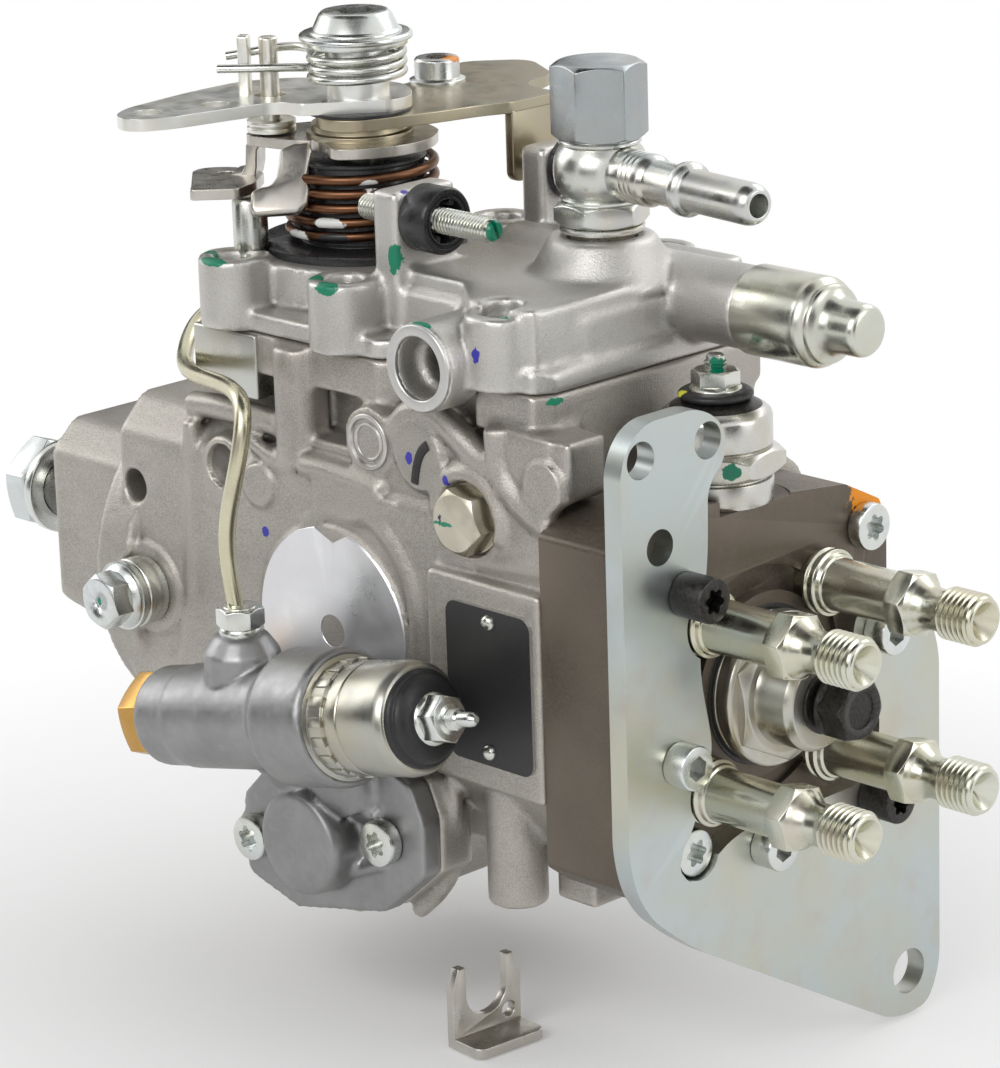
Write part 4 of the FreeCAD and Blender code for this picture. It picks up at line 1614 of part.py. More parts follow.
def lever_stack():
    """Control shaft with its levers, springs and cap nut on the cover deck."""
    spot = ("lever_x", "-lever_y", "0")
    shaft = turned("control_bar", [
        ("control_low", "0"), ("control_low", "control_dia / 2"), ("disc_top",
                                                                   "control_dia / 2"), ("disc_top", "0")],
        spot, UPRIGHT)
    crank = turned("control_crank", [
        ("control_low", "0"), ("control_low", "control_dia"), ("control_low + edge * 5", "control_dia"),
        ("control_low + edge * 5", "0")], spot, UPRIGHT)
    pin = rod("control_pin", "control_dia / 5", "control_dia * 0.8",
              ("lever_x + control_dia * 0.7", "-lever_y", "control_low - control_dia * 0.75"))
    keep(joined("control_whole", [shaft, crank, pin]), "control_shaft")
    base = turned("base_blank", [
        ("deck_height", "control_dia / 2 + free_gap"), ("deck_height",
                                                        "base_radius"), ("deck_height + base_thickness",
                                                                         "base_radius"),
        ("deck_height + base_thickness", "bush_dia / 2"), ("bush_top", "bush_dia / 2"),
        ("bush_top", "control_dia / 2 + free_gap")], spot, UPRIGHT)
    notch = rod("base_notch", "anchor_post_dia / 2 + free_gap", "bush_top", ("anchor_post_x",
                                                                             "-anchor_post_y", "deck_height - edge"))
    keep(cut("base_whole", base, [notch]), "spring_base")
    low = "deck_height + base_thickness + coil_wire / 2"
    room = "(bush_top - (%s) - coil_wire / 2)" % low
    keep(coil("return_coil", "coil_wire / 2", "(coil_dia - coil_wire) / 2", room + " / coil_turns", room,
              ("lever_x", "-lever_y", low), FreeCAD.Rotation(Z_AXIS, 200)), "return_spring")
    upper = padded("carrier_plate_top", "XY_Plane", corners_of("lower"),
                   "lower_plate_top - lower_plate_bottom",
                   ("lever_x", "-lever_y", "lower_plate_bottom"), round_edges="edge * 3")
    arm = padded("carrier_arm", "XY_Plane", corners_of("arm"), "carrier_thickness",
                 ("lever_x", "-lever_y", "carrier_low - carrier_thickness"), round_edges="edge * 3")
    riser = box("carrier_riser", ("lever_x - carrier_out", "-lever_y - carrier_near",
                                  "carrier_low - carrier_thickness"),
                ("lever_x - carrier_in", "-lever_y - edge * 3", "lower_plate_top"))
    tab = box("carrier_tab", ("lever_x - tab_left", "-lever_y - tab_near", "tab_low"),
              ("lever_x + tab_right", "-lever_y - tab_near + carrier_thickness", "lower_plate_top"))
    hole = rod("carrier_hole", "control_dia / 2", "disc_top", ("lever_x", "-lever_y", "deck_height"))
    keep(cut("carrier_lever_whole", joined("carrier_solid", [upper, arm, riser, tab]), [hole]),
         "carrier_lever")
    plate = padded("gold_plate", "XY_Plane", corners_of("gold"), "gold_top - gold_bottom",
                   ("lever_x", "-lever_y", "gold_bottom"), round_edges="edge * 3")
    drop = box("gold_tab", ("lever_x + gold_a6 - carrier_thickness", "-lever_y + gold_b6 + edge * 2",
                            "gold_tab_low"),
               ("lever_x + gold_a6", "-lever_y + gold_b7 - edge * 2", "gold_top"))
    bolt = rod("gold_bolt_hole", "cap_screw_dia / 2", "disc_top", ("lever_x - gold_screw_x",
                                                                   "gold_screw_y", "deck_height"))
    hole = rod("gold_hole", "control_dia / 2", "disc_top", ("lever_x", "-lever_y", "deck_height"))
    gold = cut("gold_cut", joined("gold_solid", [plate, drop]), [hole, bolt])
    bolt = screw("gold_screw", "collar_screw_dia", "cap_head_height * 0.6", "cap_socket_flats", 6,
                 "cap_screw_dia",
               "gold_top - gold_bottom + edge * 4", ("lever_x - gold_screw_x", "gold_screw_y",
                                                     "gold_top"), UPRIGHT)
    keep(group("gold_whole", [gold, bolt]), "stop_plate")
    lever = padded("throttle_plate", "XY_Plane", corners_of("lever"), "lever_top_face - lever_bottom",
                   ("lever_x", "-lever_y", "lever_bottom"), round_edges="edge * 5")
    neck = turned("throttle_neck", [
        ("gold_top", "0"), ("gold_top", "sleeve_neck_dia / 2"), ("disc_bottom",
                                                                 "sleeve_neck_dia / 2"), ("disc_bottom", "0")],
        spot, UPRIGHT)
    post = rod("throttle_pin", "pin_dia / 2", "pin_top - lever_bottom", ("pin_x", "-pin_y", "lever_bottom"))
    holes = [rod("throttle_hole", "control_dia / 2", "disc_top", ("lever_x", "-lever_y", "deck_height")),
             rod("throttle_eye", "lever_hole_dia / 2", "disc_top", ("lever_x - eye_x", "-lever_y - eye_y",
                                                                    "deck_height")),
             rod("throttle_slot", "lever_hole_dia / 3", "disc_top", ("lever_x - slot_x",
                                                                     "-lever_y - slot_y", "deck_height"))]
    keep(cut("throttle_whole", joined("throttle_solid", [lever, neck, post]), holes), "control_lever")
    keep(coil("lever_coil", "spring_wire / 2", "(spring_dia - spring_wire) / 2",
              "(spring_high - spring_low - spring_wire) / 3", "spring_high - spring_low - spring_wire",
              ("lever_x", "-lever_y", "spring_low + spring_wire / 2"), FreeCAD.Rotation(Z_AXIS, 210)), "lever_spring")
    disc = tube("disc_ring", "disc_dia / 2", "control_dia / 2", "disc_bottom", "disc_top - disc_bottom",
                spot, UPRIGHT)
    nut = turned("cone_nut", [
        ("disc_top", "0"), ("disc_top", "nut_low_dia / 2"), ("nut_top - edge", "nut_top_dia / 2"),
        ("nut_top", "nut_top_dia / 2 - edge"), ("nut_top", "0")], spot, UPRIGHT)
    socket = made("Prism", "cone_socket", {"Circumradius": "nut_socket / sqrt(3)",
                                           "Height": "nut_top - disc_top"},
                  ("lever_x", "-lever_y", "disc_top + edge * 3"))
    socket.Polygon = 6
    keep(group("nut_stack", [disc, cut("nut_cut", nut, [socket])]), "shaft_cap_nut")
    keep(rod("anchor_whole", "anchor_post_dia / 2", "anchor_post_top - cover_joint - cover_flange * 2",
             ("anchor_post_x", "-anchor_post_y", "cover_joint + cover_flange * 2")), "anchor_post")


def stop_screws():
    """Idle and full-speed stop screws and the black rings on their lock nuts."""
    front = plain("front_screw", "stop_screw_dia / 2", "stop_screw_tip", "stop_screw_end - stop_screw_tip",
                  ("0", "-stop_screw_y", "stop_screw_z"))
    rear = plain("back_screw", "stop_screw_dia / 2", "rear_screw_tip", "rear_screw_end - rear_screw_tip",
                 ("0", "rear_screw_y", "rear_screw_z"))
    keep(group("stops_whole", [front, rear]), "stop_screws")
    caps = [tube("front_cap", "ring_cap_dia / 2", "ring_cap_bore / 2", "lug_right", "ring_cap_length",
                 ("0", "-stop_screw_y", "stop_screw_z")),
            tube("back_cap", "ring_cap_dia / 2", "ring_cap_bore / 2", "rear_lug_right", "ring_cap_length",
                 ("0", "rear_screw_y", "rear_screw_z"))]
    keep(group("caps_whole", caps), "stop_screw_caps")


def nameplate():
    """Bare plate on the label pad."""
    keep(box("nameplate_whole", ("plate_centre_x - plate_length / 2",
                                 "-body_half_width - pad_rise - plate_thickness",
                                 "plate_centre_z - plate_height / 2"),
             ("plate_centre_x + plate_length / 2", "-body_half_width - pad_rise",
              "plate_centre_z + plate_height / 2")),
         "nameplate")


STEPS = [drive_shaft, shaft_nut, shaft_washer, shaft_seal, lock_bolt, lock_spacer, lock_fork, pump_housing,
         governor_cover, torx_screws, hydraulic_head, outlet_unions, delivery_valves, head_plug, plug_bolt,
         line_bracket, bracket_screws, stop_solenoid, solenoid_armature, terminal_boots, terminal_nuts, valve_body,
         valve_plug, advance_solenoid, advance_line, timing_parts, feed_pump, drive_gear,
         flyweight_carrier, flyweights, governor_sleeve, governor_pins, governor_lever, cam_drive, inlet_parts,
         load_screw_cap, lever_stack, stop_screws, nameplate]
for step in STEPS:
    step()
doc.recompute()

os.makedirs("parts", exist_ok=True)
faults = []
for thing in doc.Objects:
    if "Invalid" in thing.State or "Error" in thing.State:
        faults.append(thing.Name)
for node in nodes:
    shape = node.Shape
    if shape.isNull() or not shape.isValid() or not shape.Solids:
        faults.append(node.Label)
if faults:
    raise RuntimeError("faulty: " + ", ".join(faults))
for node in nodes:
    node.Shape.exportStep("parts/%s.step" % node.Label)
print("nodes", len(nodes))
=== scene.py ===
# Diesel injection pump, dressed over its frame. Lengths in the settings are in millimetres.
import json
import math

import bmesh
import bpy
from mathutils import Matrix, Vector

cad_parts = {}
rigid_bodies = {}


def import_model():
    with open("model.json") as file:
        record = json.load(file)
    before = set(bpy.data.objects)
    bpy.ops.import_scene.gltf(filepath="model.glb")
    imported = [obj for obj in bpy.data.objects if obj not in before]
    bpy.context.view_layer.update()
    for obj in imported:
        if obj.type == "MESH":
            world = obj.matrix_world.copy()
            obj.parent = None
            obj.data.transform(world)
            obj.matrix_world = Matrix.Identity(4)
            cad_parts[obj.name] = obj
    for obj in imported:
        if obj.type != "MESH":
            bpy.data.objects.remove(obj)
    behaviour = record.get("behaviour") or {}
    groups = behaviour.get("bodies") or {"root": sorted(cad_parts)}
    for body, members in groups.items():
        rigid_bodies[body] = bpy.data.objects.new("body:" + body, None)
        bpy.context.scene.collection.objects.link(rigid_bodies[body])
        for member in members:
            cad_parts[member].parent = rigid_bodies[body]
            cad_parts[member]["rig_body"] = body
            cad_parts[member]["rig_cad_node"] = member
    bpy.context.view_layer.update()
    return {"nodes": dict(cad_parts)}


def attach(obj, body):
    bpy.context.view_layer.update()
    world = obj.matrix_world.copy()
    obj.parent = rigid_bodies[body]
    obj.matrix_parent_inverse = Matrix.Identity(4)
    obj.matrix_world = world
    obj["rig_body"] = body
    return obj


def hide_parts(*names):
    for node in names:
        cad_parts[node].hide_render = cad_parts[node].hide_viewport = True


bpy.ops.object.select_all(action="SELECT")
bpy.ops.object.delete()  # the start-up cube, lamp and camera
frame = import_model()
nodes = frame["nodes"]

alongX = Vector((1, 0, 0))
alongY = Vector((0, 1, 0))
alongZ = Vector((0, 0, 1))
toNear = Vector((0, -1, 0))


def at(x, y, z):
    return Vector((x, y, z)) * 0.001


# Hand tools
def clearSelection():
    if bpy.context.object and bpy.context.object.mode != "OBJECT":
        bpy.ops.object.mode_set(mode="OBJECT")
    bpy.ops.object.select_all(action="DESELECT")


def pick(*pieces):
    clearSelection()
    for piece in pieces:
        piece.select_set(True)
    bpy.context.view_layer.objects.active = pieces[0]


def named(name):
    piece = bpy.context.object
    piece.name = name
    piece.data.name = name
    return piece


def openPiece(piece):
    pick(piece)
    bpy.ops.object.mode_set(mode="EDIT")


def closePiece():
    bpy.ops.mesh.select_mode(type="VERT")
    bpy.ops.object.mode_set(mode="OBJECT")


# selects parts of the open piece by place or normal
def choose(kind, test):
    bpy.ops.mesh.select_mode(type=kind)
    bpy.ops.mesh.select_all(action="DESELECT")
    shape = bmesh.from_edit_mesh(bpy.context.object.data)
    parts = {"VERT": shape.verts, "EDGE": shape.edges, "FACE": shape.faces}[kind]
    for part in parts:
        if test(part):
            part.select_set(True)
    shape.select_flush_mode()
    bmesh.update_edit_mesh(bpy.context.object.data)


def applyPlace(piece):
    pick(piece)
    bpy.ops.object.transform_apply(location=True, rotation=True, scale=True)


# turns the shape's own Z to the given direction
def turnTo(direction, spin=0):
    direction = Vector(direction).normalized()
    side = alongY if abs(direction.z) > 0.9 else alongZ
    first = side.cross(direction).normalized()
    second = direction.cross(first)
    frameOf = Matrix((first, second, direction)).transposed()
    return (frameOf @ Matrix.Rotation(math.radians(spin), 3, "Z")).to_euler()


def setDown(piece, spot, turn):
    piece.rotation_euler = turn
    piece.location = at(*spot)
    applyPlace(piece)
    return piece


def standAt(piece, spot, axis, spin=0):
    return setDown(piece, spot, turnTo(axis, spin))


def addModifier(piece, kind, **settings):
    pick(piece)
    live = piece.modifiers.new(kind.title(), kind)
    for key, amount in settings.items():
        setattr(live, key, amount)
    bpy.ops.object.modifier_apply(modifier=live.name)


def soften(piece, width, segments=2, angle=30):
    addModifier(piece, "BEVEL", width=width * 0.001, segments=segments, limit_method="ANGLE",
                angle_limit=math.radians(angle), miter_outer="MITER_ARC", harden_normals=False)


def smooth(piece, angle=35):
    pick(piece)
    bpy.ops.object.shade_smooth_by_angle(angle=math.radians(angle), keep_sharp_edges=False)


# merges points that lie within the gap and turns the faces outward
def mend(piece, gap=0.001):
    openPiece(piece)
    bpy.ops.mesh.select_all(action="SELECT")
    bpy.ops.mesh.remove_doubles(threshold=gap * 0.001)
    bpy.ops.mesh.normals_make_consistent(inside=False)
    closePiece()


# edges through the places in turn, left open with all of them selected
def strung(name, places):
    clearSelection()
    bpy.ops.mesh.primitive_plane_add(size=0.001, location=(0, 0, 0))
    piece = named(name)
    bpy.ops.object.mode_set(mode="EDIT")
    bpy.ops.mesh.merge(type="CENTER")
    bpy.ops.transform.translate(value=places[0])
    for before, after in zip(places, places[1:]):
        bpy.ops.mesh.extrude_vertices_move(TRANSFORM_OT_translate={"value": after - before})
    bpy.ops.mesh.select_all(action="SELECT")
    return piece


# a turned part: pairs of distance along the axis and radius
def turned(name, profile, spot=(0, 0, 0), axis=alongX, sides=64, edge=0.15):
    axis = Vector(axis).normalized()
    out = axis.orthogonal().normalized()
    spot = at(*spot)
    piece = strung(name, [spot + axis * (z * 0.001) + out * (r * 0.001) for z, r in profile])
    bpy.ops.mesh.spin(steps=sides, angle=math.tau, center=spot, axis=axis)
    closePiece()
    mend(piece, 0.002)
    if edge:
        soften(piece, edge)
    smooth(piece)
    return piece


# the same, closed back on itself, for rings and tubes
def ring(name, profile, spot=(0, 0, 0), axis=alongX, sides=64, edge=0.15):
    return turned(name, profile + profile[:1], spot, axis, sides, edge)


def join(name, *pieces):
    pick(*pieces)
    if len(pieces) > 1:
        bpy.ops.object.join()
    return named(name)


def cutBy(piece, *tools):
    for tool in tools:
        addModifier(piece, "BOOLEAN", operation="DIFFERENCE", solver="EXACT", object=tool)
        pick(tool)
        bpy.ops.object.delete()


def keepWithin(piece, tool):
    addModifier(piece, "BOOLEAN", operation="INTERSECT", solver="EXACT", object=tool)
    pick(tool)
    bpy.ops.object.delete()


def prism(name, sides, radius, low, high, spot, axis, spin=0):
    axis = Vector(axis).normalized()
    clearSelection()
    bpy.ops.mesh.primitive_cylinder_add(
        vertices=sides, radius=radius * 0.001, depth=(high - low) * 0.001, end_fill_type="NGON",
        location=at(*spot) + axis * ((low + high) * 0.0005), rotation=turnTo(axis, spin))
    piece = named(name)
    applyPlace(piece)
    return piece


# a hexagon with its corners turned off at 30 degrees, at the top, the foot or both
def hexagon(name, flats, low, high, spot=(0, 0, 0), axis=alongX, spin=0, ends="both", edge=0.12):
    corner = flats / math.sqrt(3)
    flat = flats * 0.475
    drop = (corner * 1.04 - flat) * math.tan(math.radians(30))
    piece = prism(name, 6, corner, low - 0.4, high + 0.4, spot, axis, spin)
    first = [(low, 0), (low, flat), (low + drop, corner * 1.04)]
    last = [(high - drop, corner * 1.04), (high, flat), (high, 0)]
    if ends == "top":
        first = [(low, 0), (low, corner * 1.04)]
    if ends == "foot":
        last = [(high, corner * 1.04), (high, 0)]
    keepWithin(piece, turned(name + "Barrel", first + last, spot, axis, 72, 0))
    soften(piece, edge, 2, 24)
    smooth(piece, 30)
    return piece


# cutter for a hexagon socket or a six-lobed one
def socketTool(lobes, size, deep, face, spot, axis, spin=0):
    if not lobes:
        return prism("socketTool", 6, size / math.sqrt(3), face - deep, face + 1, spot, axis, spin)
    tool = prism("socketTool", lobes * 6, size / 2, face - deep, face + 1, spot, axis, spin)
    axis = Vector(axis).normalized()
    openPiece(tool)
    rim = [v.co - at(*spot) for v in bmesh.from_edit_mesh(tool.data).verts]
    first = (rim[0] - axis * rim[0].dot(axis)).normalized()
    across = axis.cross(first)
    for reach, share in ((3, 0.70), (2, 0.80), (1, 0.95)):
        def inGroove(v):
            away = v.co - at(*spot)
            step = round(math.degrees(math.atan2(away.dot(across), away.dot(first))) / (60 / lobes)) % 6
            return step == reach or step == 6 - reach
        choose("VERT", inGroove)
        flat = [1 - abs(a) for a in axis] if max(abs(a) for a in axis) > 0.99 else (1, 1, 1)
        bpy.ops.transform.resize(value=[share if f > 0.5 else 1 for f in flat], center_override=at(*spot))
    closePiece()
    return tool


# a ridged profile for threads, from one place along the axis to another
def ridges(low, high, outer, inner, pitch):
    steps = []
    spot = low
    while spot + pitch <= high + 0.001:
        steps += [(spot + pitch * 0.08, inner), (spot + pitch * 0.42, outer), (spot + pitch * 0.58, outer),
                  (spot + pitch * 0.92, inner)]
        spot += pitch
    return steps


# a merged and softened copy of a node of the frame, shown in its place
def workedCopy(node, name, edge=0.3, segments=2, angle=30):
    gap = 0.02
    flat = 1.5
    clearSelection()
    nodes[node].select_set(True)
    bpy.context.view_layer.objects.active = nodes[node]
    bpy.ops.object.duplicate()
    piece = named(name)
    piece.parent = None
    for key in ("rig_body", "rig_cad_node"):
        del piece[key]
    openPiece(piece)
    bpy.ops.mesh.select_all(action="SELECT")
    if piece.data.has_custom_normals:
        bpy.ops.mesh.customdata_custom_splitnormals_clear()
    bpy.ops.mesh.remove_doubles(threshold=gap * 0.001)
    bpy.ops.mesh.dissolve_limited(angle_limit=math.radians(flat), delimit={"NORMAL"})
    bpy.ops.mesh.normals_make_consistent(inside=False)
    closePiece()
    piece.data.materials.clear()
    if edge:
        soften(piece, edge, segments, angle)
    smooth(piece, 32)
    return piece


def copyOf(piece, name, shift=(0, 0, 0)):
    pick(piece)
    bpy.ops.object.duplicate(linked=False)
    bpy.ops.transform.translate(value=at(*shift))
    twin = named(name)
    applyPlace(twin)
    return twin


# a round coil about an upright or lying axis, by the Screw modifier
def coil(name, middleRadius, thick, low, turns, rise, spot, axis=alongZ, spin=0, sides=14, steps=48):
    clearSelection()
    bpy.ops.mesh.primitive_circle_add(vertices=sides, radius=thick * 0.0005, fill_type="NGON",
                                      location=(middleRadius * 0.001, 0, low * 0.001),
                                      rotation=(math.pi / 2, 0, 0))
    piece = named(name)
    applyPlace(piece)
    addModifier(piece, "SCREW", angle=math.tau * turns, screw_offset=rise * 0.001, steps=int(steps * turns),
                render_steps=int(steps * turns), iterations=1, axis="Z", use_merge_vertices=False,
                use_normal_calculate=True)
    mend(piece)
    standAt(piece, spot, axis, spin)
    smooth(piece, 60)
    return piece


# a bent round tube through given places
def bentTube(name, places, radius, sides=4):
    clearSelection()
    bpy.ops.curve.primitive_nurbs_path_add(location=(0, 0, 0))
    piece = named(name)
    path = piece.data
    path.splines.clear()
    line = path.splines.new("NURBS")
    line.points.add(len(places) - 1)
    for point, place in zip(line.points, places):
        point.co = (*at(*place), 1)
    line.use_endpoint_u = True
    line.order_u = 4
    line.resolution_u = 12
    path.dimensions = "3D"
    path.bevel_depth = radius * 0.001
    path.bevel_resolution = sides
    path.use_fill_caps = True
    pick(piece)
    bpy.ops.object.convert(target="MESH")
    piece = named(name)
    mend(piece)
    smooth(piece, 60)
    return piece


def finished(piece, body, finish, *stoodFor, slot=None):
    if finish:
        piece.data.materials.clear()
        piece.data.materials.append(finish)
    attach(piece, body)
    if stoodFor:
        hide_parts(*stoodFor)
    return piece


# Shared shader groups
def newGroup(name, inputs, outputs):
    tree = bpy.data.node_groups.new(name, "ShaderNodeTree")
    for label, kind, start in inputs:
        socket = tree.interface.new_socket(name=label, in_out="INPUT", socket_type="NodeSocket" + kind)
        socket.default_value = start
    for label, kind in outputs:
        tree.interface.new_socket(name=label, in_out="OUTPUT", socket_type="NodeSocket" + kind)
    return tree, add(tree, "NodeGroupInput"), add(tree, "NodeGroupOutput")


def add(tree, kind, **settings):
    node = tree.nodes.new(kind if kind.startswith("Node") else "ShaderNode" + kind)
    for key, amount in settings.items():
        setattr(node, key, amount)
    return node


def wire(tree, *pairs):
    for start, end in pairs:
        tree.links.new(start, end)


def sums(tree, operation, first, second, clamp=False):
    node = add(tree, "Math", operation=operation, use_clamp=clamp)
    for slot, amount in zip(node.inputs, (first, second)):
        if isinstance(amount, (int, float)):
            slot.default_value = amount
        else:
            tree.links.new(amount, slot)
    return node.outputs[0]


def vectors(tree, operation, first, second=None, output="Vector"):
    node = add(tree, "VectorMath", operation=operation)
    for slot, amount in zip(node.inputs, (first, second)):
        if isinstance(amount, (tuple, Vector)):
            slot.default_value = amount
        elif amount is not None:
            tree.links.new(amount, slot)
    return node.outputs[output]


def noise(tree, scale, detail=3, rough=0.55, stretch=None):
    node = add(tree, "TexNoise")
    node.inputs["Detail"].default_value = detail
    node.inputs["Roughness"].default_value = rough
    place = add(tree, "TexCoord").outputs["Object"]
    if stretch:
        mapped = add(tree, "Mapping")
        mapped.inputs["Scale"].default_value = stretch
        wire(tree, (place, mapped.inputs["Vector"]))
        place = mapped.outputs[0]
    wire(tree, (place, node.inputs["Vector"]))
    if isinstance(scale, (int, float)):
        node.inputs["Scale"].default_value = scale
    else:
        wire(tree, (scale, node.inputs["Scale"]))
    return node.outputs["Fac"]


def span(tree, amount, low, high, start=0.0, end=1.0):
    node = add(tree, "MapRange", clamp=True)
    wire(tree, (amount, node.inputs["Value"]))
    for label, number in (("From Min", low), ("From Max", high), ("To Min", start), ("To Max", end)):
        node.inputs[label].default_value = number
    return node.outputs["Result"]


# blasted and cast grain, with a slow change of tone
def makeCastGrain():
    tree, inward, outward = newGroup("castGrain", [("Scale", "Float", 900.0)],
                                     [("Height", "Float"), ("Tone", "Float"), ("Speck", "Float")])
    fine = noise(tree, inward.outputs["Scale"], 2, 0.6)
    broad = noise(tree, sums(tree, "MULTIPLY", inward.outputs["Scale"], 0.33), 2, 0.5)
    wire(tree, (sums(tree, "ADD", sums(tree, "MULTIPLY", fine, 0.65), sums(tree, "MULTIPLY", broad, 0.5)),
                outward.inputs["Height"]),
         (noise(tree, 38, 4, 0.6), outward.inputs["Tone"]),
         (span(tree, noise(tree, sums(tree, "MULTIPLY", inward.outputs["Scale"], 1.6), 1, 0.5), 0.36, 0.66),
          outward.inputs["Speck"]))
    return tree


# bright corners and dark hollows, from pointiness: painted highlight with some edge wear on corners, painted shade in
# hollows
def makeWearHighlightHollowShade():
    tree, inward, outward = newGroup("edgeWearHighlightHollowShade", [("Width", "Float", 0.04)],
                                     [("Edge", "Float"), ("HollowShade", "Float")])
    point = add(tree, "NewGeometry").outputs["Pointiness"]
    # painted highlight with edge wear: how sharply the surface bends out at corners
    high = sums(tree, "DIVIDE", sums(tree, "SUBTRACT", point, 0.505), inward.outputs["Width"], clamp=True)
    # painted shade: how sharply the surface bends in at hollows and creases
    low = sums(tree, "DIVIDE", sums(tree, "SUBTRACT", 0.49, point), inward.outputs["Width"], clamp=True)
    wire(tree, (high, outward.inputs["Edge"]), (low, outward.inputs["HollowShade"]))
    return tree


# patches of zinc passivation
def makePlatingTint():
    tree, inward, outward = newGroup(
        "platingTint", [("Cool", "Color", (0.7, 0.74, 0.74, 1)), ("Warm", "Color", (0.7, 0.67, 0.52, 1)),
                        ("Rose", "Color", (0.7, 0.6, 0.6, 1)), ("Scale", "Float", 50.0)],
        [("Color", "Color"), ("Cloud", "Float")])
    slow = noise(tree, inward.outputs["Scale"], 4, 0.6)
    quick = noise(tree, sums(tree, "MULTIPLY", inward.outputs["Scale"], 3.1), 3, 0.6)
    first = add(tree, "Mix", data_type="RGBA")
    second = add(tree, "Mix", data_type="RGBA")
    wire(tree, (span(tree, slow, 0.38, 0.62), first.inputs[0]), (inward.outputs["Cool"], first.inputs[6]),
         (inward.outputs["Warm"], first.inputs[7]), (span(tree, quick, 0.55, 0.72, 0, 0.55), second.inputs[0]),
         (first.outputs[2], second.inputs[6]), (inward.outputs["Rose"], second.inputs[7]),
         (second.outputs[2], outward.inputs["Color"]), (quick, outward.inputs["Cloud"]))
    return tree


# fine tool marks round an axis
def makeLatheMarks():
    tree, inward, outward = newGroup(
        "latheMarks", [("Centre", "Vector", (0, 0, 0)), ("Axis", "Vector", (1, 0, 0)), ("Pitch", "Float", 0.0004)],
        [("Height", "Float"), ("Band", "Float")])
    place = add(tree, "TexCoord").outputs["Object"]
    offset = vectors(tree, "SUBTRACT", place, inward.outputs["Centre"])
    along = vectors(tree, "DOT_PRODUCT", offset, inward.outputs["Axis"], "Value")
    away = vectors(tree, "LENGTH", vectors(tree, "CROSS_PRODUCT", offset, inward.outputs["Axis"]), output="Value")
    step = sums(tree, "DIVIDE", sums(tree, "ADD", along, away), inward.outputs["Pitch"])
    band = add(tree, "TexNoise", noise_dimensions="1D")
    band.inputs["Scale"].default_value = 1.0
    band.inputs["Detail"].default_value = 2.0
    wire(tree, (step, band.inputs["W"]), (band.outputs["Fac"], outward.inputs["Height"]))
    wide = add(tree, "TexNoise", noise_dimensions="1D")
    wide.inputs["Scale"].default_value = 0.13
    wire(tree, (step, wide.inputs["W"]), (wide.outputs["Fac"], outward.inputs["Band"]))
    return tree


# one dab of marking paint
def makePaintDab():
    tree, inward, outward = newGroup(
        "paintDab", [("Centre", "Vector", (0, 0, 0)), ("Size", "Vector", (0.002, 0.002, 0.002))], [("Mask", "Float")])
    place = add(tree, "TexCoord").outputs["Object"]
    offset = vectors(tree, "DIVIDE", vectors(tree, "SUBTRACT", place, inward.outputs["Centre"]), inward.outputs["Size"])
    reach = vectors(tree, "LENGTH", offset, output="Value")
    ragged = sums(tree, "ADD", reach, sums(tree, "MULTIPLY", sums(tree, "SUBTRACT", noise(tree, 700, 3), 0.5), 0.9))
    wire(tree, (span(tree, ragged, 0.93, 1.03, 1.0, 0.0), outward.inputs["Mask"]))
    return tree


castGrain = makeCastGrain()
edgeWearHighlightHollowShade = makeWearHighlightHollowShade()
platingTint = makePlatingTint()
latheMarks = makeLatheMarks()
paintDab = makePaintDab()


def useGroup(tree, group, **settings):
    node = add(tree, "Group", node_tree=group)
    for key, amount in settings.items():
        node.inputs[key].default_value = amount
    return node


def startFinish(name, color, metal, rough):
    finish = bpy.data.materials.new(name)
    finish.use_nodes = True
    tree = finish.node_tree
    shader = tree.nodes["Principled BSDF"]
    shader.inputs["Base Color"].default_value = (*color, 1)
    shader.inputs["Metallic"].default_value = metal
    shader.inputs["Roughness"].default_value = rough
    return finish, tree, shader


def mixColor(tree, share, first, second):
    node = add(tree, "Mix", data_type="RGBA")
    for number, amount in ((0, share), (6, first), (7, second)):  # factor, first and second colour
        if isinstance(amount, (int, float)):
            node.inputs[number].default_value = amount
        elif isinstance(amount, tuple):
            node.inputs[number].default_value = (*amount, 1)
        else:
            tree.links.new(amount, node.inputs[number])
    return node.outputs[2]


def bumpFrom(tree, shader, height, strength, distance):
    bump = add(tree, "Bump")
    bump.inputs["Strength"].default_value = strength
    bump.inputs["Distance"].default_value = distance * 0.001
    wire(tree, (height, bump.inputs["Height"]), (bump.outputs["Normal"], shader.inputs["Normal"]))


green = (0.0, 0.21, 0.115)
blue = (0.035, 0.03, 0.38)
orange = (0.95, 0.32, 0.0)
yellow = (0.75, 0.72, 0.05)
white = (0.82, 0.82, 0.80)
black = (0.012, 0.012, 0.012)


# lays dabs of paint over a colour, each (place, half sizes, paint)
def painted(tree, shader, color, metal, dabs):
    for place, size, paint in dabs:
        dab = useGroup(tree, paintDab, Centre=at(*place), Size=at(*size))
        color = mixColor(tree, dab.outputs["Mask"], color, paint)
        metal = sums(tree, "MULTIPLY", metal, sums(tree, "SUBTRACT", 1.0, dab.outputs["Mask"]))
    wire(tree, (color, shader.inputs["Base Color"]))
    if dabs:
        wire(tree, (metal, shader.inputs["Metallic"]))


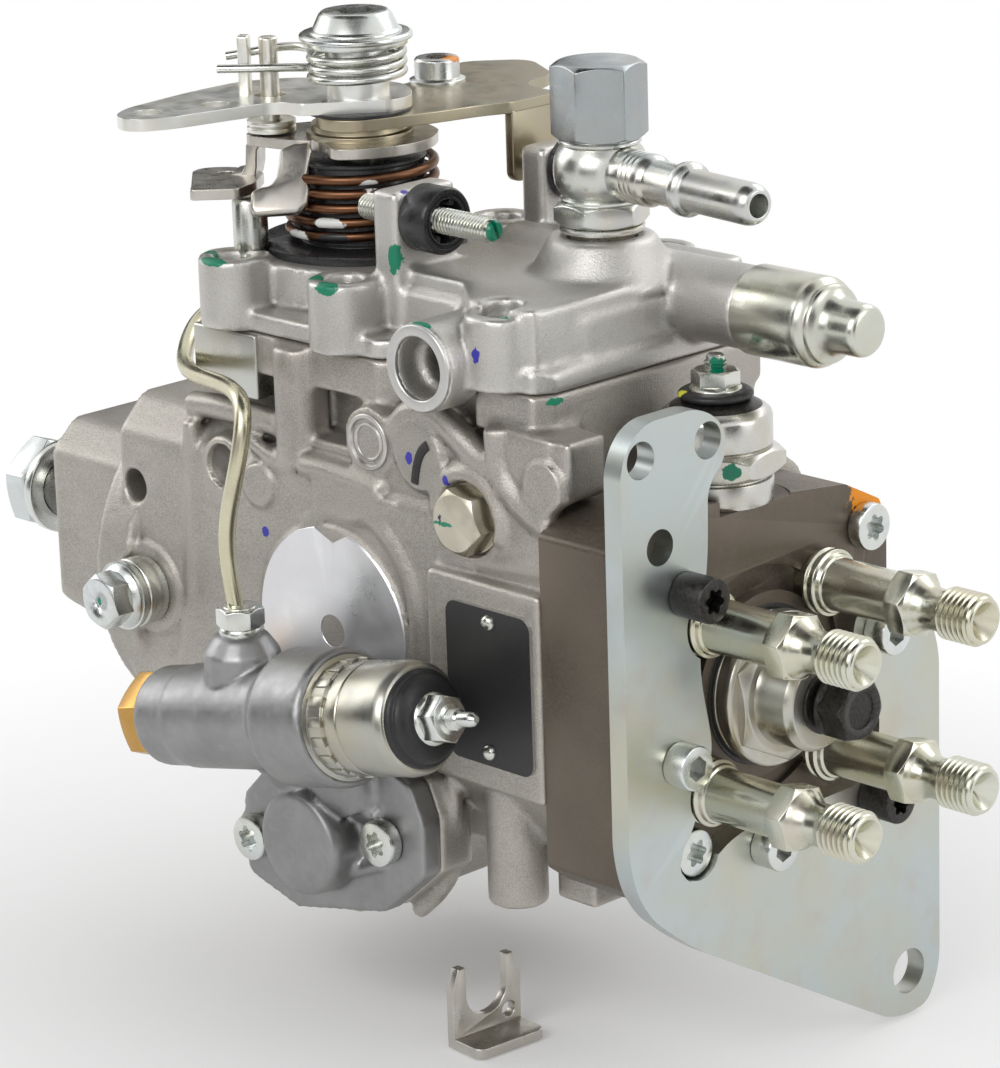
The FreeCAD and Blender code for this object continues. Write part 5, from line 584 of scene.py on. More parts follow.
def castFinish(name, light, dark, hollowShadeAndStain, rough, depth, dabs, stain=0.0):
    metal = 0.85
    finish, tree, shader = startFinish(name, light, metal, rough)
    grain = useGroup(tree, castGrain, Scale=2300)
    wearHighlightShade = useGroup(tree, edgeWearHighlightHollowShade, Width=0.05)
    color = mixColor(tree, span(tree, grain.outputs["Tone"], 0.35, 0.68), dark, light)
    color = mixColor(tree, sums(tree, "MULTIPLY", grain.outputs["Speck"], 0.24), color, (0.9, 0.88, 0.85))
    # painted shade: hollows darkened towards the dark colour, which the stain streaks below also use
    color = mixColor(tree, sums(tree, "MULTIPLY", wearHighlightShade.outputs["HollowShade"], 0.75), color, hollowShadeAndStain)
    # painted highlight with edge wear: corners lightened above the base colour
    color = mixColor(tree, sums(tree, "MULTIPLY", wearHighlightShade.outputs["Edge"], 0.55), color,
                     tuple(min(1, c * 1.35) for c in light))
    if stain:
        streak = span(tree, noise(tree, 90, 5, 0.7, (1, 1, 2.5)), 0.55, 0.75, 0, stain)
        color = mixColor(tree, streak, color, hollowShadeAndStain)
    painted(tree, shader, color, metal, dabs)
    wire(tree, (span(tree, sums(tree, "SUBTRACT", grain.outputs["Tone"], sums(
        tree, "MULTIPLY", wearHighlightShade.outputs["Edge"], 0.4)), 0.0, 1.0, rough - 0.12, rough + 0.14),
        shader.inputs["Roughness"]))
    bumpFrom(tree, shader, grain.outputs["Height"], depth, 0.35)
    return finish


def platedFinish(name, cool, warm, rose, rough, scale, marks=None, dabs=(), bump=0.12):
    finish, tree, shader = startFinish(name, cool, 1.0, rough)
    tint = useGroup(tree, platingTint, Cool=(*cool, 1), Warm=(*warm, 1), Rose=(*rose, 1), Scale=scale)
    wearHighlightShade = useGroup(tree, edgeWearHighlightHollowShade, Width=0.12)
    # painted highlight with edge wear: corners lightened
    color = mixColor(tree, sums(tree, "MULTIPLY", wearHighlightShade.outputs["Edge"], 0.3), tint.outputs["Color"],
                     tuple(min(1, c * 1.25) for c in cool))
    # painted shade: hollows darkened
    color = mixColor(tree, sums(tree, "MULTIPLY", wearHighlightShade.outputs["HollowShade"], 0.5), color,
                     tuple(c * 0.35 for c in warm))
    painted(tree, shader, color, 1.0, dabs)
    wire(tree, (span(tree, tint.outputs["Cloud"], 0.25, 0.75, rough - 0.07, rough + 0.1), shader.inputs["Roughness"]))
    height = noise(tree, 520, 3, 0.6)
    if marks:
        lathe = useGroup(tree, latheMarks, Centre=at(*marks[0]), Axis=Vector(marks[1]).normalized(),
                         Pitch=marks[2] * 0.001)
        height = sums(tree, "ADD", sums(tree, "MULTIPLY", height, 0.25), lathe.outputs["Height"])
    bumpFrom(tree, shader, height, bump, 0.06)
    return finish


def darkFinish(name, color, metal, rough, scale, depth, spots=0.0, dabs=()):
    finish, tree, shader = startFinish(name, color, metal, rough)
    grain = useGroup(tree, castGrain, Scale=scale)
    wearHighlightShade = useGroup(tree, edgeWearHighlightHollowShade, Width=0.1)
    shade = mixColor(tree, span(tree, grain.outputs["Tone"], 0.3, 0.7), tuple(c * 0.75 for c in color),
                     tuple(min(1, c * 1.2) for c in color))
    if spots:
        shade = mixColor(tree, sums(tree, "MULTIPLY", grain.outputs["Speck"], spots), shade, (0.3, 0.28, 0.25))
    # painted highlight with some edge wear: corners lightened to about twice the colour
    shade = mixColor(tree, sums(tree, "MULTIPLY", wearHighlightShade.outputs["Edge"], 0.35), shade,
                     tuple(min(1, c * 2.0 + 0.03) for c in color))
    painted(tree, shader, shade, metal, dabs)
    wire(tree, (span(tree, grain.outputs["Speck"], 0, 1, rough - 0.05, rough + 0.1), shader.inputs["Roughness"]))
    bumpFrom(tree, shader, grain.outputs["Height"], depth, 0.12)
    return finish


# Finishes of this pump
# the third colour of each casting is the painted shade in its hollows, and also the colour of its stain streaks
housingCast = castFinish(
    "housingCast", (0.41, 0.385, 0.345), (0.31, 0.29, 0.26), (0.08, 0.07, 0.06), 0.46, 0.45, stain=0.2,
    dabs=[((91, -42, 22.3), (1.3, 3, 1.2), blue), ((141.7, -43.5, 49.5), (1.4, 3, 1.7), blue),
          ((154.2, -42, 46.6), (1.0, 3, 1.3), blue), ((127.6, -42, 44.6), (1.5, 3, 0.5), blue),
          ((181.5, -36, 67.4), (1.8, 4, 1.3), green), ((60, -30, 47), (4, 3, 0.8), blue)])
coverCast = castFinish(
    "coverCast", (0.53, 0.515, 0.49), (0.43, 0.415, 0.39), (0.12, 0.11, 0.10), 0.43, 0.42,
    dabs=[((126.8, -31.5, 91), (1.6, 3.5, 4.2), green), ((166.7, -42.5, 77.6), (1.6, 3, 2.2), blue),
          ((71.8, -38.5, 84.2), (2.2, 2.5, 2.2), green), ((78.5, -43.5, 85.6), (4, 2.2, 1.1), green),
          ((117.5, -43, 85), (3.0, 2.4, 1.8), green), ((110.6, -40, 85.8), (2.6, 2, 0.9), green),
          ((168, -40, 86.2), (5.5, 1.0, 1.2), green), ((155, -49, 83.8), (3.6, 1.0, 0.9), green),
          ((196, 9, 94), (2.4, 2, 0.8), green), ((128, -27, 107), (2.6, 2, 1.6), blue),
          ((172, 13, 97), (2.5, 2.5, 2.0), orange)])
valveCast = platedFinish("valveCast", (0.33, 0.33, 0.33), (0.28, 0.28, 0.28), (0.38, 0.38, 0.38), 0.42, 90, bump=0.30)
machinedAlloy = platedFinish("machinedAlloy", (0.74, 0.745, 0.76), (0.68, 0.68, 0.70), (0.78, 0.78, 0.80), 0.30, 30,
                             ((114.5, -42, 3), (0, 1, 0), 0.55), bump=0.25,
                             dabs=[((115, -41.5, 2.3), (0.8, 2, 1.1), blue)])
portFace = platedFinish("portFace", (0.60, 0.595, 0.58), (0.56, 0.555, 0.54), (0.64, 0.63, 0.62), 0.4, 30,
                        ((153.9, -50, 73.7), (0, 1, 0), 0.4), bump=0.2)
spotFace = platedFinish("spotFace", (0.62, 0.61, 0.59), (0.55, 0.53, 0.5), (0.66, 0.65, 0.63), 0.34, 60, bump=0.15)
zincClear = platedFinish("zincClear", (0.66, 0.69, 0.68), (0.62, 0.62, 0.56), (0.56, 0.60, 0.64), 0.24, 70)
nutZinc = platedFinish("nutZinc", (0.62, 0.66, 0.67), (0.58, 0.60, 0.58), (0.50, 0.55, 0.62), 0.26, 60)
capNutZinc = platedFinish("capNutZinc", (0.36, 0.40, 0.42), (0.38, 0.39, 0.38), (0.32, 0.36, 0.42), 0.28, 60)
lineZinc = platedFinish("lineZinc", (0.62, 0.63, 0.55), (0.60, 0.57, 0.43), (0.60, 0.52, 0.46), 0.24, 45,
                        ((0, 0, 0), (1, 0, 0), 0.35), bump=0.10)
plateZinc = platedFinish("plateZinc", (0.50, 0.55, 0.55), (0.53, 0.52, 0.43), (0.52, 0.46, 0.40), 0.36, 26, bump=0.16)
leverZinc = platedFinish("leverZinc", (0.76, 0.77, 0.74), (0.76, 0.72, 0.62), (0.74, 0.68, 0.72), 0.34, 55)
goldPlate = platedFinish("goldPlate", (0.40, 0.37, 0.28), (0.40, 0.34, 0.23), (0.38, 0.32, 0.28), 0.33, 60)
bareSteel = platedFinish("bareSteel", (0.56, 0.54, 0.50), (0.50, 0.47, 0.42), (0.46, 0.45, 0.45), 0.3, 80)
tubeZinc = platedFinish("tubeZinc", (0.60, 0.58, 0.43), (0.56, 0.52, 0.36), (0.50, 0.42, 0.36), 0.24, 40)
capZinc = platedFinish("capZinc", (0.60, 0.61, 0.55), (0.56, 0.55, 0.45), (0.58, 0.52, 0.50), 0.27, 40,
                       ((0, 12, 82), (1, 0, 0), 0.6), bump=0.10)
stopZinc = platedFinish("stopZinc", (0.58, 0.58, 0.56), (0.56, 0.54, 0.47), (0.56, 0.50, 0.53), 0.26, 90,
                        dabs=[((208.3, -8.0, 50.5), (2.0, 2.5, 1.9), green)])
greenTopNut = platedFinish("greenTopNut", (0.66, 0.68, 0.66), (0.62, 0.61, 0.55), (0.56, 0.58, 0.6), 0.25, 80,
                           dabs=[((199, -2, 72), (2.2, 2.6, 2.0), green)])
lockZinc = platedFinish("lockZinc", (0.64, 0.67, 0.67), (0.60, 0.61, 0.57), (0.52, 0.56, 0.62), 0.25, 70,
                        dabs=[((48, -58.8, 0.3), (0.8, 1, 1.2), green)])
plugFinish = platedFinish("plugFinish", (0.55, 0.53, 0.45), (0.50, 0.46, 0.36), (0.45, 0.42, 0.38), 0.32, 80,
                          dabs=[((157.3, -45, 37.9), (5.5, 2.5, 0.8), green),
                                ((155.9, -45, 38.4), (0.9, 2, 3.6), (0.02, 0.015, 0.09))])
headSteel = darkFinish("headSteel", (0.112, 0.091, 0.069), 0.62, 0.42, 900, 0.22, 0.12,
                       dabs=[((203, 40, 36), (14, 9, 9.5), orange)])
blackSteel = darkFinish("blackSteel", (0.03, 0.028, 0.027), 0.75, 0.36, 800, 0.2, 0.10)
blackRubber = darkFinish("blackRubber", (0.013, 0.013, 0.014), 0.0, 0.42, 500, 0.12)
rubberYellow = darkFinish("rubberYellow", (0.013, 0.013, 0.014), 0.0, 0.42, 500, 0.12,
                          dabs=[((192.5, -7.0, 65.8), (1.6, 1.3, 1.2), yellow)])
blackPlastic = darkFinish("blackPlastic", (0.012, 0.012, 0.013), 0.0, 0.3, 400, 0.08)
markBlack = darkFinish("markBlack", (0.02, 0.02, 0.02), 0.0, 0.6, 900, 0.3)
brassFinish = platedFinish("brassFinish", (0.55, 0.33, 0.10), (0.48, 0.27, 0.07), (0.50, 0.25, 0.09), 0.26, 60)
springCopper = platedFinish(
    "springCopper", (0.17, 0.085, 0.046), (0.13, 0.06, 0.032), (0.22, 0.115, 0.065), 0.32, 60, bump=0.08,
    dabs=[((94.2, -21.2, 92.4), (4.4, 3.5, 1.6), white), ((84.5, -22.2, 88.3), (4.2, 3.5, 1.6), white),
          ((96.0, -21.5, 88.8), (4.5, 3.5, 1.6), black), ((104.5, -12.5, 97.5), (2.5, 3.0, 1.6), white),
          ((102.5, -15.5, 101.6), (2.2, 2.8, 1.5), white), ((105.6, -9.0, 93.6), (2.0, 2.6, 1.5), white)])
springSteel = platedFinish("springSteel", (0.62, 0.63, 0.60), (0.56, 0.56, 0.5), (0.50, 0.52, 0.55), 0.25, 90)
studZinc = platedFinish("studZinc", (0.66, 0.67, 0.63), (0.60, 0.60, 0.52), (0.55, 0.57, 0.6), 0.24, 90,
                        dabs=[((151.6, -22.5, 99.3), (1.2, 3.2, 3.2), green)])
labelBlack = darkFinish("labelBlack", (0.014, 0.014, 0.015), 0.2, 0.38, 1200, 0.1)
silverLine = platedFinish("silverLine", (0.5, 0.5, 0.5), (0.46, 0.46, 0.46), (0.52, 0.52, 0.52), 0.35, 60)
collarScrew = platedFinish("collarScrew", (0.64, 0.66, 0.66), (0.60, 0.60, 0.56), (0.54, 0.56, 0.6), 0.26, 80,
                           dabs=[((79.6, 33.0, 121.6), (2.6, 2.6, 1.6), orange)])
plugZinc = platedFinish("plugZinc", (0.52, 0.53, 0.50), (0.50, 0.47, 0.40), (0.46, 0.44, 0.42), 0.30, 50,
                        ((200, 0, 0), (1, 0, 0), 0.5), bump=0.12)
banjoZinc = platedFinish("banjoZinc", (0.60, 0.62, 0.60), (0.58, 0.56, 0.50), (0.52, 0.54, 0.58), 0.26, 55)
canZinc = platedFinish("canZinc", (0.44, 0.44, 0.40), (0.44, 0.41, 0.32), (0.40, 0.40, 0.40), 0.30, 40,
                       ((110.63, -65, -12.93), (math.cos(math.radians(12.2)), 0, math.sin(math.radians(12.2))), 0.5),
                       bump=0.10)
innerShaft = platedFinish("innerShaft", (0.55, 0.55, 0.54), (0.48, 0.47, 0.45), (0.50, 0.50, 0.52), 0.25, 60,
                          ((0, 0, 0), (1, 0, 0), 0.4), bump=0.12)
innerSteel = platedFinish("innerSteel", (0.46, 0.45, 0.44), (0.40, 0.39, 0.37), (0.42, 0.42, 0.44), 0.3, 50)
sealRubber = darkFinish("sealRubber", (0.03, 0.014, 0.010), 0.0, 0.5, 500, 0.2)
print("finishes ready")


# Camera at the photograph's angle
cameraPlace = {"azimuth": 46.09, "height": 16.82, "roll": -1.84, "spot": (0.83994, -0.68688, 0.31810),
               "lens": 148.31}
turnA, riseA, rollA = (math.radians(cameraPlace[key]) for key in ("azimuth", "height", "roll"))
back = Vector((math.sin(turnA) * math.cos(riseA), -math.cos(turnA) * math.cos(riseA), math.sin(riseA)))
side = Vector((math.cos(turnA), math.sin(turnA), 0))
up = back.cross(side)
sideRolled = side * math.cos(rollA) + up * math.sin(rollA)
upRolled = up * math.cos(rollA) - side * math.sin(rollA)
bpy.ops.object.camera_add(location=cameraPlace["spot"],
                          rotation=Matrix((sideRolled, upRolled, back)).transposed().to_euler())
camera = named("camera")
camera.data.sensor_width = 36
camera.data.lens = cameraPlace["lens"]
camera.data.clip_start = 0.05
camera.data.clip_end = 20
bpy.context.scene.camera = camera


# 1 for rays of the camera and of reflections, 0 for rays that gather light
def directlySeen(tree):
    path = add(tree, "LightPath")
    mirrored = sums(tree, "MAXIMUM", path.outputs["Is Camera Ray"], path.outputs["Is Glossy Ray"])
    return sums(tree, "MAXIMUM", mirrored, path.outputs["Is Transmission Ray"])


# Pale floor, which fades to white away from the pump
floorLook = {"half": 3.0, "level": -0.0941, "fade": (0.02, 0.26)}
clearSelection()
bpy.ops.mesh.primitive_circle_add(vertices=96, radius=floorLook["half"], fill_type="NGON",
                                  location=(0.1, 0, floorLook["level"]))
floor = named("floor")
floorFinish, tree, shader = startFinish("floorPale", (0.88, 0.88, 0.88), 0.0, 0.6)
shader.inputs["Specular IOR Level"].default_value = 0.2
place = add(tree, "TexCoord").outputs["Object"]
reach = vectors(tree, "LENGTH", place, output="Value")
light = add(tree, "Emission")
light.inputs["Strength"].default_value = 1.0
mixed = add(tree, "MixShader")
wire(tree, (sums(tree, "MULTIPLY", span(tree, reach, *floorLook["fade"]), directlySeen(tree)), mixed.inputs["Fac"]),
     (shader.outputs[0], mixed.inputs[1]), (light.outputs[0], mixed.inputs[2]),
     (mixed.outputs[0], tree.nodes["Material Output"].inputs["Surface"]))
floor.data.materials.append(floorFinish)

# World: white to the camera and in reflections, softer as a light
studio = {"light": 0.46, "seen": 1.0}
world = bpy.data.worlds.new("studio")
bpy.context.scene.world = world
world.use_nodes = True
tree = world.node_tree
backdrop = tree.nodes["Background"]
backdrop.inputs["Color"].default_value = (1, 1, 1, 1)
more = sums(tree, "MULTIPLY", directlySeen(tree), studio["seen"] - studio["light"])
wire(tree, (sums(tree, "ADD", studio["light"], more), backdrop.inputs["Strength"]))

# Soft lamps: name, place, size, strength
lamps = [("keyLamp", (0.45, -1.2, 0.85), (0.9, 0.7), 8.0), ("leftLamp", (-1.1, -0.5, 0.6), (0.8, 0.8), 4.0),
         ("backLamp", (0.2, 1.0, 0.9), (1.0, 0.6), 3.0), ("rightLamp", (1.35, 0.45, 0.55), (0.6, 0.8), 3.0)]
pumpMiddle = Vector((0.11, 0, 0.03))
for name, spot, size, strength in lamps:
    aim = (pumpMiddle - Vector(spot)).to_track_quat("-Z", "Y").to_euler()
    bpy.ops.object.light_add(type="AREA", location=spot, rotation=aim)
    lamp = bpy.context.object
    lamp.name = name
    lamp.data.shape = "RECTANGLE"
    lamp.data.size, lamp.data.size_y = size
    lamp.data.energy = strength

# Dark cards round the studio, which give plated parts their shaded sides
cards = [("topCard", (0.1, -0.25, 1.5), (1.9, 1.3)), ("leftCard", (-1.1, -1.5, 0.35), (1.5, 1.3)),
         ("frontCard", (0.55, -1.9, -0.02), (1.5, 0.8)), ("rightCard", (1.7, -0.35, 0.2), (0.9, 0.9)),
         ("farCard", (-1.6, 0.9, 0.4), (1.2, 1.0))]
cardFinish, tree, shader = startFinish("cardGrey", (0.05, 0.05, 0.05), 0.0, 1.0)
for name, spot, size in cards:
    aim = (pumpMiddle - Vector(spot)).to_track_quat("Z", "Y").to_euler()
    bpy.ops.mesh.primitive_plane_add(size=1, location=spot, rotation=aim)
    card = named(name)
    card.scale = (*size, 1)
    card.data.materials.append(cardFinish)
    card.visible_camera = False
    card.visible_shadow = False
    card.visible_diffuse = False

bpy.context.scene.view_settings.view_transform = "Standard"
print("studio ready")


# Drive end
def buildDriveEnd():
    nut = {"flats": 22, "low": -48, "high": -39.4, "bore": 7.2, "spin": 9.7}
    piece = hexagon("shaftNut", nut["flats"], nut["low"], nut["high"], spin=nut["spin"], edge=0.2)
    cutBy(piece, prism("boreTool", 48, nut["bore"], nut["low"] - 1, nut["high"] + 1, (0, 0, 0), alongX))
    smooth(piece, 30)
    finished(piece, "shaft", nutZinc, "shaft_nut")
    piece = ring("shaftWasher", [(-39.4, 7.6), (-39.4, 12.2), (-36.4, 12.2), (-36.4, 7.6)], edge=0.5)
    finished(piece, "shaft", zincClear, "shaft_washer")

    # shaft end with its thread, the taper behind it and the journal
    thread = turned("shaftThread", [(-47.4, 0), (-47.4, 5.9), (-46.9, 6.4)] + ridges(-46.9, -36, 7.0, 6.3, 1.5)
                    + [(-35.5, 6.4), (-35.5, 0)], edge=0)
    cone = turned("shaftCone", [(-36.4, 0), (-36.4, 7.7), (-9.4, 10), (-7.0, 10), (-7.0, 9.9), (120, 9.9), (120.4, 9.5),
                                (120.4, 0)], edge=0.3)
    finished(join("driveShaft", cone, thread), "shaft", innerShaft, "drive_shaft")

    # bolt across the shaft with its spacer ring
    spacer = ring("lockSpacer", [(0, 4.3), (0, 8.2), (1.0, 8.5), (5.6, 8.5), (5.9, 8.1), (6.3, 8.1), (6.6, 8.5),
                                 (8.2, 8.5), (8.2, 4.3)], (48, -43.4, 0), toNear, edge=0.25)
    finished(spacer, "pump", zincClear, "lock_spacer")
    spot = (48, -51.6, 0)
    flange = turned("lockFlange", [(-12, 0), (-12, 3.9), (0, 3.9), (0, 8), (0.6, 8), (2.0, 6.6), (2.0, 0)], spot,
                    toNear, edge=0.2)
    head = hexagon("lockHex", 12, 1.4, 7.2, spot, toNear, 12, "top", 0.15)
    dimple = turned("lockDimple", [(6.9, 0), (6.9, 1.3), (7.5, 1.5), (7.5, 0)], spot, toNear, 32, 0)
    cutBy(head, dimple)
    finished(join("lockBolt", flange, head), "pump", lockZinc, "lock_bolt")

    seal = ring("shaftSeal", [(-7.4, 10.2), (-7.4, 14.8), (-1.2, 14.8), (-1.2, 13.4), (-6.2, 13.4), (-6.2, 11.8),
                              (-4.4, 10.4), (-4.0, 10.2)], edge=0.3)
    finished(seal, "pump", sealRubber, "shaft_seal")


# Outlets, plug, head and bracket
outletReach = 19.64  # of each outlet's axis from the pump's, across and up


def buildOutlets():
    outlet = {"flats": 14, "spin": 17}
    stem = turned("stem", [(206, 0), (206, 6), (210.2, 6), (210.2, 7.5), (211.2, 7.7), (211.6, 7.1), (212.2, 7.1),
                           (212.5, 7.7), (213.6, 7.7), (213.9, 6.9), (214.9, 6.7), (215.2, 6.1), (222, 6.05),
                           (234, 6.05), (239.3, 6.9), (240.4, 6.1), (241.8, 5.15), (243.2, 4.8), (246.6, 4.8),
                           (247.4, 5.1), (247.4, 1.0), (236, 1.0), (236, 0)], edge=0.12)
    tip = turned("tip", [(246, 1.0), (246, 4.9), (247.3, 5.2)] + ridges(247.3, 256.4, 6.0, 5.15, 1.5)
                 + [(256.5, 5.5), (257.0, 5.25), (257.3, 4.75), (257.3, 4.3), (253.2, 0.95), (246, 0.95), (246, 1.0)],
                 edge=0)
    nut = hexagon("nut", outlet["flats"], 233.8, 239.5, spin=outlet["spin"], edge=0.12)
    first = join("outlet", stem, tip, nut)
    copies = []
    for number, (y, z) in enumerate(((1, 1), (1, -1), (-1, 1), (-1, -1))):
        copies.append(copyOf(first, "outlet%d" % (number + 1), (0, y * outletReach, z * outletReach)))
    pick(first)
    bpy.ops.object.delete()
    for number, piece in enumerate(copies):
        finished(piece, "pump", lineZinc, *(["outlet_unions"] if number == 0 else []))


def buildPlug():
    flats = {"plug": 29.5, "bolt": 13}
    plug = turned("plugTurned", [(200, 0), (200, 11), (207.5, 11), (207.5, 17.2), (210.8, 17.2), (211.2, 16.2),
                                 (211.8, 16.2), (212.2, 17.8), (215.2, 17.8), (215.8, 17.1), (215.8, 0)],
                  edge=0.2, sides=96)
    cheeks = hexagon("plugCheeks", flats["plug"], 214.5, 218, (0, 0, 0), alongX, 4, "top", 0.2)
    neck = turned("plugNeck", [(217, 0), (217, 12.8), (218.3, 12.1), (219.2, 11.9), (226.3, 11.9), (228, 10.6),
                               (228, 0)], edge=0.25, sides=96)
    finished(join("headPlug", plug, cheeks, neck), "pump", plugZinc, "head_plug")
    seal = ring("plugSeal", [(208.6, 16.6), (208.6, 18.6), (210.4, 18.6), (210.4, 16.6)], edge=0.6)
    finished(seal, "pump", blackRubber)
    bolt = turned("boltThread", [(222, 0), (222, 3.6)] + ridges(222, 230.5, 4.0, 3.4, 1.25) + [(231, 3.6), (231, 0)],
                  edge=0)
    washer = turned("boltWasher", [(228.1, 0), (228.1, 7.4), (228.9, 7.4), (229.2, 5.0), (230.6, 5.0), (231.0, 7.3),
                                   (231.6, 7.3), (232.6, 6.4), (232.6, 0)], edge=0.15)
    head = hexagon("boltHex", flats["bolt"], 231.8, 238.8, (0, 0, 0), alongX, 22, "top", 0.15)
    recess = turned("boltRecess", [(238.3, 0), (238.3, 4.1), (239.2, 4.5), (239.2, 0)], sides=48, edge=0)
    cutBy(head, recess)
    finished(join("plugBolt", bolt, washer, head), "pump", blackSteel, "plug_bolt")


# round-headed screws, modelled standing on Z at the origin
def screwPiece(name, radius, height, socket, lobes, deep, shank, length, edge):
    piece = turned(name, [(-length, 0), (-length, shank), (0, shank), (0, radius), (height, radius), (height, 0)],
                   axis=alongZ, edge=edge, sides=48)
    cutBy(piece, socketTool(lobes, socket, deep, height, (0, 0, 0), alongZ, 8))
    smooth(piece, 30)
    return piece


# a copy of a screw at each (kind, place, axis, turn); the first stands for the node
def setScrews(label, node, finish, places):
    for number, (kind, spot, axis, spin) in enumerate(places):
        piece = standAt(copyOf(kind, "%s%d" % (label, number + 1)), spot, axis, spin)
        finished(piece, "pump", finish, *([node] if number == 0 else []))


def buildScrews():
    sizes = {
        "wide": {"radius": 5.5, "height": 3.8, "socket": 6.4, "lobes": 6, "deep": 2.4, "shank": 3, "length": 8,
                 "edge": 0.7},
        "small": {"radius": 4.25, "height": 5, "socket": 5.0, "lobes": 6, "deep": 2.6, "shank": 2.5, "length": 6,
                  "edge": 0.6},
        "dark": {"radius": 5.1, "height": 9, "socket": 6.0, "lobes": 6, "deep": 3.2, "shank": 3, "length": 12,
                 "edge": 0.5},
        "pale": {"radius": 5.1, "height": 5.85, "socket": 5, "lobes": 0, "deep": 3, "shank": 3, "length": 12,
                 "edge": 0.5}}
    wide = screwPiece("wide", **sizes["wide"])
    small = screwPiece("small", **sizes["small"])
    places = [(wide, (208, 35.8, 28.5), alongX), (wide, (208, -24.9, -32.8), alongX),
              (wide, (139.8, -52, -39.9), toNear), (wide, (95.2, -52, -49.5), toNear),
              (wide, (139.8, 52, -44.7), alongY), (wide, (95.2, 52, -44.7), alongY)]
    places += [(small, (x, y, 79), alongZ)
               for x, y in ((77.5, -36), (115.4, -36), (166.7, -36), (98, 31.5), (150, 31.5))]
    setScrews("castingScrew", "torx_screws", zincClear, [(*row, number * 23) for number, row in enumerate(places)])
    darkOne = screwPiece("dark", **sizes["dark"])
    setScrews("bracketScrewBlack", "bracket_screws_black", blackSteel,
              [(darkOne, (213, y, z), alongX, 12) for y, z in ((-28.5, 28.7), (32.7, -34.6))])
    pale = screwPiece("pale", **sizes["pale"])
    setScrews("bracketScrewZinc", "bracket_screws_zinc", zincClear,
              [(pale, (213, y, z), alongX, 40) for y, z in ((-31.5, -9.5), (-3.8, -36.3), (35.1, 4.8))])
    pick(wide, small, darkOne, pale)
    bpy.ops.object.delete()


# line bracket: a sheet drawn as (y, z, rounding), then stood up against the head
def buildBracket():
    bracket = {"low": 208, "high": 213, "outline": [
        (-47.5, -30, 6), (-47.5, 62, 4.4), (-41, 69.3, 4.4), (-22, 69.3, 4.6), (-14.2, 63, 4), (-15, 56, 2.4),
        (-20.5, 51, 3), (-20.9, 34.5, 5), (-23.6, 19.2, 4), (-23.9, 8.5, 4), (-20, -10, 5), (-25.3, -22.6, 5),
        (-32, -34.2, 2), (-28, -39.2, 2.5), (-12.8, -31, 5), (30.2, -31, 4.6), (36.1, -20.8, 4.6), (34, -8.5, 5),
        (26, 3, 3.6), (28, 11, 3.4), (36, 13, 3.6), (50, 9, 6), (56.6, -4, 5), (56.6, -85, 5), (52, -92.5, 2.6),
        (40.7, -93.6, 6), (-28.2, -54, 7), (-42.7, -42, 6)],
        "holes": [(-41.2, 61.4, 4.2), (-20.3, 61.4, 4.2), (-35.8, 40.8, 4.1), (45.4, -82.4, 5.5)]}
    holes = bracket["holes"] + [(y * outletReach, z * outletReach, 8.2) for y in (-1, 1) for z in (-1, 1)]
    holes += [(35.8, 28.5, 6.0), (-24.9, -32.8, 6.0)]
    piece = sheet("lineBracket", bracket["outline"], bracket["low"], bracket["high"], holes, 0.45)
    setDown(piece, (0, 0, 0), Matrix(((0, 0, 1), (1, 0, 0), (0, 1, 0))).to_euler())
    finished(piece, "pump", plateZinc, "line_bracket")


def buildStopSolenoid():
    solenoid = {"spot": (196.6, 0, 0), "flats": 26.8, "nutFlats": 9.6}
    spot = solenoid["spot"]
    case = turned("stopCase", [(36, 0), (36, 11), (41, 11), (41, 12.6), (42, 12.7), (46.4, 12.7), (46.6, 11.9),
                               (47.4, 11.9), (53.4, 11.9), (53.7, 12.1), (54.0, 12.6), (60.2, 12.6), (61.2, 12.2),
                               (62.2, 11.0), (63.0, 8.6), (63.6, 7.4), (63.6, 0)], spot, alongZ, 96, 0.15)
    nut = hexagon("stopHex", solenoid["flats"], 47.2, 53.2, spot, alongZ, 11, "both", 0.15)
    finished(join("stopSolenoid", case, nut), "pump", stopZinc, "stop_solenoid")
    dome = turned("stopDome", [(61.8, 10.9), (62.6, 10.2), (63.7, 8.2), (64.1, 5.5), (64.1, 0), (61.8, 0),
                               (61.8, 10.9)], spot, alongZ, 72, 0)
    finished(dome, "pump", blackSteel)
    disc = turned("stopRubber", [(63.8, 0), (63.8, 6.0), (64.2, 8.0), (64.9, 8.5), (65.6, 8.3), (66.0, 7.6),
                                 (66.0, 5.4), (65.5, 5.0), (65.5, 0)], spot, alongZ, 72, 0.2)
    finished(disc, "pump", rubberYellow, "terminal_boots")
    washer = turned("washer", [(65.6, 0), (65.6, 5.9), (66.4, 5.9), (67.2, 5.2), (67.2, 0)], spot, alongZ, 48, 0.1)
    head = hexagon("hex", solenoid["nutFlats"], 66.6, 70.6, spot, alongZ, 5, "top", 0.1)
    stud = turned("stud", [(66, 0), (66, 2.2)] + ridges(69.5, 73.4, 2.5, 2.05, 0.8) + [(73.6, 2.0), (74, 1.6), (74, 0)],
                  spot, alongZ, 32, 0)
    finished(join("stopTerminal", washer, head, stud), "pump", greenTopNut, "terminal_nuts")


def buildLoadCap():
    cap = turned("loadCap", [(191.7, 0), (191.7, 4.8), (198.9, 4.8), (198.9, 9.3), (199.1, 10.25), (215.8, 10.25),
                             (216.6, 10.1), (217.2, 10.25), (218.0, 10.2), (218.8, 9.85), (219.4, 9.3), (219.8, 8.9),
                             (220.3, 9.0), (220.9, 8.8), (221.3, 8.2), (221.9, 7.2), (223.0, 6.5), (224.6, 6.15),
                             (226.5, 6.0), (229.5, 5.95), (230.5, 5.7), (231.1, 5.2), (231.4, 4.4), (231.4, 0)],
                 (0, 12, 82), alongX, 96, 0.1)
    finished(cap, "pump", capZinc, "load_screw_cap")


